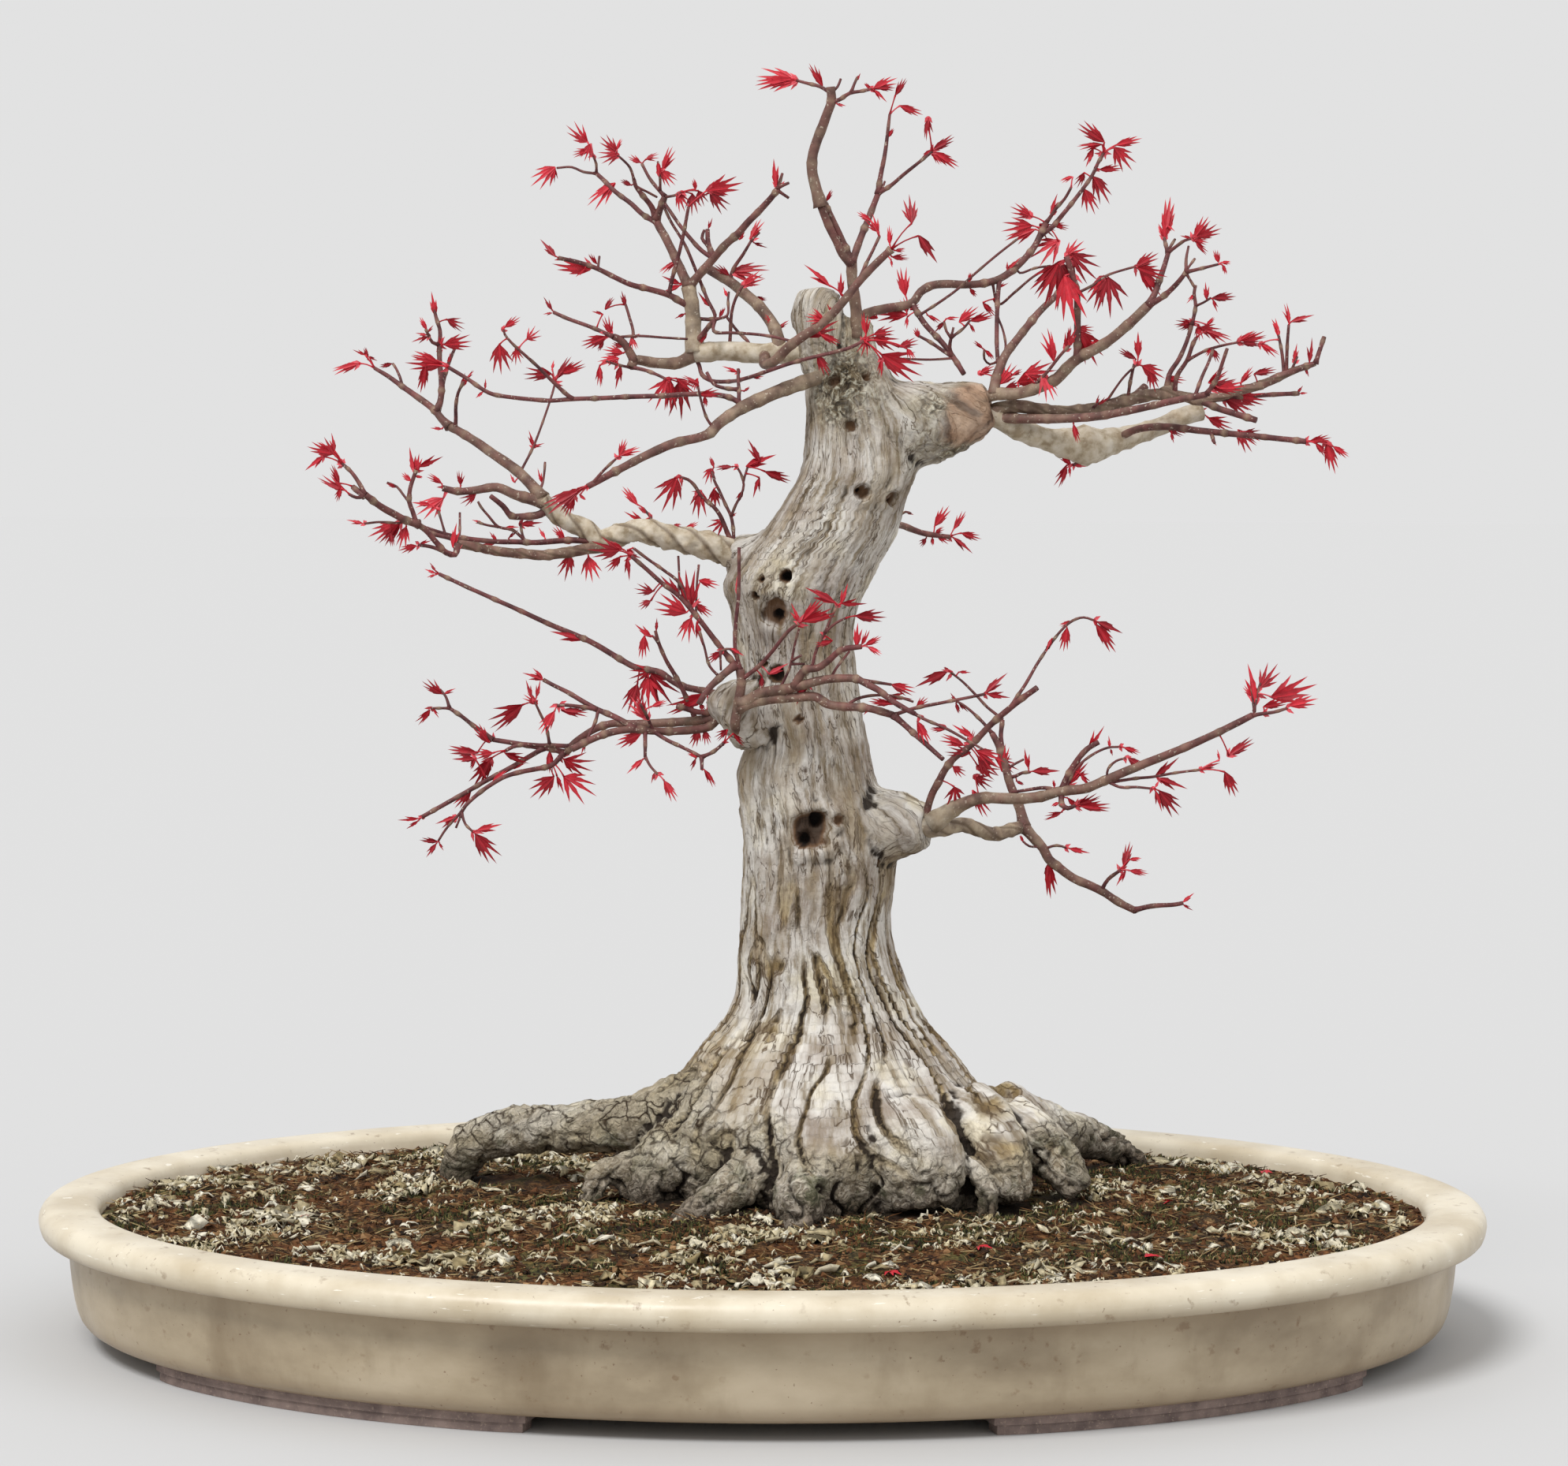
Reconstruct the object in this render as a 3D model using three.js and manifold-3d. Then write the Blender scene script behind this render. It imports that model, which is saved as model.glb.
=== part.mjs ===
// A Deshojo Japanese maple bonsai in its oval tray, in leaf bud. Millimetres, +Z up.
// The origin lies on the ground under the middle of the tray, and the front of the tree looks along -Y.
import * as THREE from 'three';
import { mergeVertices } from 'three/addons/utils/BufferGeometryUtils.js';
import Module from 'manifold-3d';

const wasm = await Module();
wasm.setup();

// Driving dimensions of the tray
const POT_LENGTH = 600;
const POT_WIDTH = 430;
const RIM_HEIGHT = 57.7;
const FOOT_HEIGHT = 6.5;
const FLOOR_TOP = 12;
const POT_SIDES = 36;
const FOOT_START = 30;
const FOOT_END = 71.5;
const FOOT_OUTER_INSET = 22.5;
const FOOT_INNER_INSET = 36;
const FOOT_STEPS = 7;
const DRAIN_RADIUS = 12.5;
const DRAIN_X = 130;
const MESH_SIDE = 34;
const MESH_THICKNESS = 0.8;

// Clearance between neighbouring pieces
const GAP = 0.35;

// Soil
const SOIL_EDGE_HEIGHT = 51;
const SOIL_MOUND = 6.5;
const SOIL_TILT = 2.2;
const SOIL_LUMPS = 1.1;

// Twigs and leaves
const THINNEST_TWIG = 0.62;
const STALK_RADIUS = 0.5;
const PALM_HALF_WIDTH = 0.85;
const PALM_HALF_THICKNESS = 0.5;
const LEAF_DEPTH_SWING = 0.35;
const STALK_DEPTH_SWING = 0.3;
const LEAF_TILT = 1.1;
const FOLDED_HALF_WIDTH = 0.12;
const SIDE_LOBE_LOSS = 0.28;
const NOTCH_REACH = 0.42;
const SIDE_NOTCH_LOSS = 0.08;
const LOBE_DROOP = 0.1;
const FOLDED_SPREAD = 14;
const OPEN_SPREAD = 42;
const BENT_STALK = 0.1;
const PATH_TOLERANCE = 2.3;
const SMALL_LEAF_MARK = 36;
const WIDE_LEAF_SPREAD = 29;
const SMALL_LEAVES_PER_KEPT = 4;
const TWIGLET_MARK = 55;
const TWIGLET_RADIUS = 0.95;
const THIN_LIMB = 1.5;
const THICK_LIMB = 3;
const LEAF_CROSSING = 0.15;
const JOIN_TOLERANCE = 0.06;

// The eye that the tree's marks below are seen from: each mark is [u, v] on a picture 1988 wide and 1859 high
const EYE = new THREE.Vector3(7.78, -1650, 357.7);
const FOCUS = 5058.2;
const PICTURE_CENTRE = [994, 929.5];
const TILT = THREE.MathUtils.degToRad(3.703);
const ROLL = THREE.MathUtils.degToRad(0.267);

// The point that a mark shows, at a depth (y) in millimetres
function seen(u, v, depth) {
  const across = u - PICTURE_CENTRE[0];
  const down = v - PICTURE_CENTRE[1];
  const right = (across * Math.cos(ROLL) + down * Math.sin(ROLL)) / FOCUS;
  const low = (down * Math.cos(ROLL) - across * Math.sin(ROLL)) / FOCUS;
  const ray = new THREE.Vector3(
    right,
    Math.cos(TILT) - low * Math.sin(TILT),
    -Math.sin(TILT) - low * Math.cos(TILT),
  );
  return ray.multiplyScalar((depth - EYE.y) / ray.y).add(EYE);
}

const mix = THREE.MathUtils.lerp;

// A repeatable random number between 0 and 1 for each whole number
function chance(seed) {
  const wave = Math.sin(seed * 127.1 + 311.7) * 43758.5453;
  return wave - Math.floor(wave);
}

// A closed geometry as a solid, turned the right way out
function solid(geometry) {
  const bare = geometry.clone();
  bare.deleteAttribute('normal');
  bare.deleteAttribute('uv');
  const merged = mergeVertices(bare, 1e-4);
  const place = merged.attributes.position;
  const faces = Uint32Array.from(merged.index.array);
  const corner = [0, 1, 2].map(() => new THREE.Vector3());
  let volume = 0;
  for (let i = 0; i < faces.length; i += 3) {
    corner.forEach((point, k) => point.fromBufferAttribute(place, faces[i + k]));
    volume += corner[0].dot(corner[1].cross(corner[2]));
  }
  if (volume < 0) {
    faces.reverse();
  }
  return new wasm.Manifold(new wasm.Mesh({
    numProp: 3,
    vertProperties: Float32Array.from(place.array),
    triVerts: faces,
  }));
}

// The largest body of a solid, with loose scraps dropped
function largestBody(whole) {
  const bodies = whole.decompose();
  return bodies.reduce((best, body) => (body.volume() > best.volume() ? body : best));
}

function geometryOf(whole) {
  const mesh = whole.getMesh();
  const geometry = new THREE.BufferGeometry();
  geometry.setAttribute('position', new THREE.BufferAttribute(mesh.vertProperties, 3));
  geometry.setIndex(new THREE.BufferAttribute(mesh.triVerts, 1));
  geometry.computeVertexNormals();
  return geometry;
}

function joined(parts) {
  return parts.reduce((whole, part) => whole.add(part));
}

// Half length and half width of the oval that lies a given distance inside the tray's outer edge
function oval(inset) {
  return [POT_LENGTH / 2 - inset, POT_WIDTH / 2 - inset];
}

// An oval body from [inset, height] steps, from the axis round to the axis
function ovalBody(profile) {
  const halfWidth = POT_WIDTH / 2;
  const steps = profile.map(([inset, height]) => new THREE.Vector2(halfWidth - inset, height));
  const geometry = new THREE.LatheGeometry(steps, POT_SIDES).rotateX(Math.PI / 2);
  const place = geometry.attributes.position;
  for (let i = 0; i < place.count; i += 1) {
    const radius = Math.hypot(place.getX(i), place.getY(i));
    const stretch = radius > 1e-3 ? (radius + (POT_LENGTH - POT_WIDTH) / 2) / radius : 0;
    place.setX(i, place.getX(i) * stretch);
  }
  return geometry;
}

// The tray: floor, leaning wall, thick rounded rim band, four strip feet and two drain holes
function potSolid() {
  const axis = POT_WIDTH / 2;
  const profile = [
    [axis, FOOT_HEIGHT], [26, FOOT_HEIGHT], [19, 8.5], [15.5, 14], [13.2, 28], [11.6, 43], [3.5, 46],
    [0.6, 48.5], [0, 52], [2, 56], [8, RIM_HEIGHT], [20, 57.4], [24, 56.2], [30, 18], [34, FLOOR_TOP],
    [axis, FLOOR_TOP],
  ];
  const feet = [[1, 1], [-1, 1], [-1, -1], [1, -1]].map(([sideX, sideY]) => solid(footStrip(sideX, sideY)));
  let pot = joined([solid(ovalBody(profile)), ...feet]);
  for (const side of [-1, 1]) {
    const hole = new THREE.CylinderGeometry(DRAIN_RADIUS, DRAIN_RADIUS, 2 * FLOOR_TOP, 20);
    pot = pot.subtract(solid(hole.rotateX(Math.PI / 2).translate(side * DRAIN_X, 0, FLOOR_TOP)));
  }
  return pot;
}

// One strip foot, which follows the oval between two angles and is sunk 1 mm into the floor
function footStrip(sideX, sideY) {
  const corner = (inset, step) => {
    const angle = THREE.MathUtils.degToRad(mix(FOOT_START, FOOT_END, step / FOOT_STEPS));
    const [halfLength, halfWidth] = oval(inset);
    return new THREE.Vector2(sideX * halfLength * Math.cos(angle), sideY * halfWidth * Math.sin(angle));
  };
  const steps = [...Array(FOOT_STEPS + 1).keys()];
  const outline = [
    ...steps.map((step) => corner(FOOT_OUTER_INSET, step)),
    ...steps.reverse().map((step) => corner(FOOT_INNER_INSET, step)),
  ];
  return new THREE.ExtrudeGeometry(new THREE.Shape(outline), { depth: FOOT_HEIGHT + 1, bevelEnabled: false });
}

// A square of plastic net, which keeps the soil above a drain hole
function drainMesh(centreX) {
  const pitch = MESH_SIDE / 5;
  let net = solid(new THREE.BoxGeometry(MESH_SIDE, MESH_SIDE, MESH_THICKNESS));
  for (const column of [-1, 1]) {
    for (const row of [-1, 1]) {
      const opening = new THREE.BoxGeometry(pitch * 1.5, pitch * 1.5, 2 * MESH_THICKNESS);
      net = net.subtract(solid(opening.translate(column * pitch, row * pitch, 0)));
    }
  }
  return geometryOf(net).translate(centreX, 0, FLOOR_TOP + GAP + MESH_THICKNESS / 2);
}

// Height of the soil's surface
function soilHeight(x, y) {
  const reach = Math.min(1, Math.hypot(x / (POT_LENGTH / 2 - 26), y / (POT_WIDTH / 2 - 26)));
  const lumps = Math.sin(x * 0.09 + 1.3) * Math.sin(y * 0.11) + 0.6 * Math.sin(x * 0.23 - y * 0.19);
  const mound = SOIL_MOUND * (1 - reach * reach);
  return SOIL_EDGE_HEIGHT + mound - (SOIL_TILT * y) / (POT_WIDTH / 2) + SOIL_LUMPS * lumps * (1 - reach ** 4);
}

// The mounded soil, parted from the tray, from the drain nets and from the roots
function soilSolid(roots) {
  const axis = POT_WIDTH / 2;
  const topInsets = [48, 90, 140];
  const profile = [
    [axis, FLOOR_TOP + GAP], [35, FLOOR_TOP + GAP], [30.6, 18], [25.6, SOIL_EDGE_HEIGHT - 3],
    [25.2, SOIL_EDGE_HEIGHT], ...topInsets.map((inset) => [inset, SOIL_EDGE_HEIGHT]),
    [axis, SOIL_EDGE_HEIGHT],
  ];
  const geometry = ovalBody(profile);
  const place = geometry.attributes.position;
  for (let i = 0; i < place.count; i += 1) {
    if (place.getZ(i) > SOIL_EDGE_HEIGHT - 0.5) {
      place.setZ(i, soilHeight(place.getX(i), place.getY(i)));
    }
  }
  let soil = solid(geometry);
  const netSide = MESH_SIDE + 2 * GAP;
  for (const side of [-1, 1]) {
    const room = new THREE.BoxGeometry(netSide, netSide, 2 * (MESH_THICKNESS + 2 * GAP));
    soil = soil.subtract(solid(room.translate(side * DRAIN_X, 0, FLOOR_TOP)));
  }
  return largestBody(soil.subtract(roots));
}

// A tube with closed ends through stations { point, radius }
function limb(stations, sides, grow = 0) {
  const rows = stations.length - 1;
  const geometry = new THREE.CylinderGeometry(1, 1, rows, sides, rows);
  const tangents = stations.map((station, i) => {
    const before = stations[Math.max(0, i - 1)].point;
    const after = stations[Math.min(rows, i + 1)].point;
    return after.clone().sub(before).normalize();
  });
  let side = new THREE.Vector3(0.3, 1, 0.1);
  const frames = tangents.map((along) => {
    const first = side.clone().addScaledVector(along, -side.dot(along)).normalize();
    side = first;
    return [first, along.clone().cross(first)];
  });
  const place = geometry.attributes.position;
  const turn = new THREE.Vector2();
  for (let i = 0; i < place.count; i += 1) {
    const row = Math.round(place.getY(i) + rows / 2);
    turn.set(place.getX(i), place.getZ(i));
    if (turn.length() > 1e-6) {
      turn.normalize().multiplyScalar(stations[row].radius + grow);
    }
    const spot = stations[row].point.clone();
    spot.addScaledVector(frames[row][0], turn.x).addScaledVector(frames[row][1], turn.y);
    place.setXYZ(i, spot.x, spot.y, spot.z);
  }
  return solid(geometry);
}

// The trunk's outline from the head down into the soil: v, left u, right u, depth of its middle
const TRUNK_OUTLINE = [
  [440, 1036, 1106, 2], [485, 1022, 1138, 0], [520, 1021, 1150, 0], [560, 1020, 1160, 0],
  [600, 1013, 1164, 0], [626, 998, 1151, 1], [680, 961, 1135, 3], [700, 942, 1122, 4],
  [744, 915, 1103, 6], [767, 923, 1090, 7], [805, 931, 1082, 8], 
  [886, 942, 1090, 10], [941, 946, 1102, 11], [976, 936, 1110, 12], [1050, 942, 1130, 14],
  [1091, 942, 1136, 15], [1171, 938, 1129, 17], [1219, 936, 1140, 18],
  [1260, 934, 1157, 19], [1295, 916, 1177, 20], [1327, 886, 1203, 21], [1367, 856, 1234, 22],
  [1397, 835, 1255, 23], [1430, 822, 1278, 24], [1465, 822, 1288, 25], [1500, 832, 1288, 25],
  [1560, 850, 1270, 25],
];
const TRUNK_SIDES = 20;
const TRUNK_DEPTH_SHARE = 0.92;
const FLUTES = 7;

// Stubs, lumps and the short thick arm: [[u, v, depth, radius], ...]
const TRUNK_LUMPS = [
  [[1050, 470, 0, 11], [1042, 425, 0, 10.5], [1034, 385, 0, 10], [1033, 366, 0, 7.5]],
  [[1075, 470, 2, 12], [1082, 430, 4, 9.5], [1083, 404, 4, 7]],
  [[1100, 535, 0, 17], [1165, 537, 0, 18], [1206, 529, -1, 15.5], [1240, 517, -3, 12.5], [1258, 511, -4, 9]],
  [[975, 712, 6, 14], [940, 704, 6, 9.5], [924, 700, 6, 7.5]],
  [[970, 900, 0, 13], [930, 892, -8, 10], [906, 904, -12, 6.5]],
  [[950, 930, -4, 9], [934, 915, -15, 6], [930, 905, -19, 4]],
  [[1090, 1048, 10, 18], [1150, 1046, 0, 13], [1176, 1048, -3, 9.5]],
];

// Round scars where old branches were cut: u, v, radius
const TRUNK_SCARS = [[985, 775, 9], [1025, 1056, 11], [985, 850, 7], [1092, 625, 5], [997, 730, 5]];
const SCAR_SIDES = 7;

// Surface roots, from inside the trunk's foot out into the soil: [[u, v, depth, radius], ...]
const ROOTS = [
  [[880, 1400, 12, 15], [800, 1424, 16, 12], [730, 1430, 24, 10.5], [655, 1434, 33, 10.5],
    [606, 1448, 40, 10], [582, 1480, 45, 8.5], [584, 1530, 46, 7]],
  [[900, 1440, 0, 15], [838, 1486, -10, 15], [812, 1535, -12, 10]],
  [[815, 1478, -8, 7], [764, 1488, -14, 5.5], [749, 1515, -18, 5], [750, 1560, -20, 4]],
  [[1000, 1460, -15, 14], [940, 1500, -38, 10], [890, 1532, -50, 7], [845, 1568, -58, 4.5]],
  [[1020, 1470, -25, 13], [1013, 1525, -56, 10], [1012, 1575, -66, 6]],
  [[1120, 1420, -10, 20], [1158, 1474, -32, 21], [1166, 1535, -38, 14]],
  [[1220, 1410, 0, 16], [1268, 1464, -22, 14], [1276, 1525, -28, 9]],
  [[1240, 1470, -28, 7], [1252, 1515, -40, 5], [1249, 1560, -46, 3.5]],
  [[1270, 1420, 5, 14], [1335, 1466, -2, 10.5], [1368, 1512, -6, 7]],
  [[1260, 1412, 40, 15], [1340, 1436, 70, 11], [1400, 1450, 95, 8], [1450, 1480, 106, 4]],
  [[1060, 1400, 50, 20], [1060, 1432, 90, 12], [1050, 1462, 115, 5]],
  [[920, 1400, 45, 16], [850, 1424, 80, 11], [790, 1462, 112, 5]],
];

// One ring of the trunk, with its middle point and its half widths
function trunkRing([v, leftU, rightU, depth]) {
  const left = seen(leftU, v, depth);
  const right = seen(rightU, v, depth);
  const halfWidth = (right.x - left.x) / 2;
  return { middle: left.add(right).multiplyScalar(0.5), halfWidth, halfDepth: halfWidth * TRUNK_DEPTH_SHARE };
}

// The shaft, with long flutes that deepen down to the root flare
function trunkShaft(grow) {
  const rings = TRUNK_OUTLINE.map(trunkRing).reverse();
  const rows = rings.length - 1;
  const geometry = new THREE.CylinderGeometry(1, 1, rows, TRUNK_SIDES, rows);
  const place = geometry.attributes.position;
  for (let i = 0; i < place.count; i += 1) {
    const row = Math.round(place.getY(i) + rows / 2);
    const { middle, halfWidth, halfDepth } = rings[row];
    const angle = Math.atan2(place.getZ(i), place.getX(i));
    const onAxis = Math.hypot(place.getX(i), place.getZ(i)) < 1e-6;
    const flare = THREE.MathUtils.clamp((100 - middle.z) / 60, 0, 1);
    const flute = (0.022 + 0.05 * flare) * Math.sin(FLUTES * angle + middle.z * 0.035);
    const out = onAxis ? 0 : 1 + flute * (1 - Math.abs(Math.cos(angle)) ** 6);
    const x = middle.x + Math.cos(angle) * (halfWidth + grow) * out;
    const y = middle.y - Math.sin(angle) * (halfDepth + grow) * out;
    const end = row === 0 ? -grow : row === rows ? grow : 0;
    place.setXYZ(i, x, y, middle.z + end);
  }
  return solid(geometry);
}

function stationsOf(marks) {
  return marks.map(([u, v, depth, radius]) => ({ point: seen(u, v, depth), radius }));
}

// Depth of the trunk's front skin behind a mark
function frontDepth(u, v) {
  const next = TRUNK_OUTLINE.findIndex(([height]) => height > v);
  const [above, below] = [TRUNK_OUTLINE[next - 1], TRUNK_OUTLINE[next]];
  const share = (v - above[0]) / (below[0] - above[0]);
  const { middle, halfWidth, halfDepth } = trunkRing(above.map((value, i) => mix(value, below[i], share)));
  const across = (seen(u, v, middle.y).x - middle.x) / halfWidth;
  return middle.y - halfDepth * Math.sqrt(Math.max(0, 1 - across * across));
}

// A healed lip round a dished scar, facing the front
function scar([u, v, radius], grow) {
  const outer = radius + grow;
  const lip = [[0, -8], [outer, -8], [outer * 0.86, 1.6 + grow], [outer * 0.6, 2 + grow],
    [outer * 0.3, -1.5 + grow], [0, -2.5 + grow]];
  const geometry = new THREE.LatheGeometry(lip.map(([r, out]) => new THREE.Vector2(r, out)), SCAR_SIDES);
  const spot = seen(u, v, frontDepth(u, v));
  return solid(geometry.rotateX(Math.PI).scale(1.1, 1, 0.95).translate(spot.x, spot.y, spot.z));
}

function trunkSolid(grow = 0) {
  const lumps = TRUNK_LUMPS.map((marks) => limb(stationsOf(marks), 8, grow));
  const roots = ROOTS.map((marks) => limb(stationsOf(marks), 7, grow));
  const scars = TRUNK_SCARS.map((mark) => scar(mark, grow));
  const whole = joined([trunkShaft(grow), ...lumps, ...roots, ...scars]);
  return grow > 0 ? whole : whole.asOriginal().simplify(JOIN_TOLERANCE);
}

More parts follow.
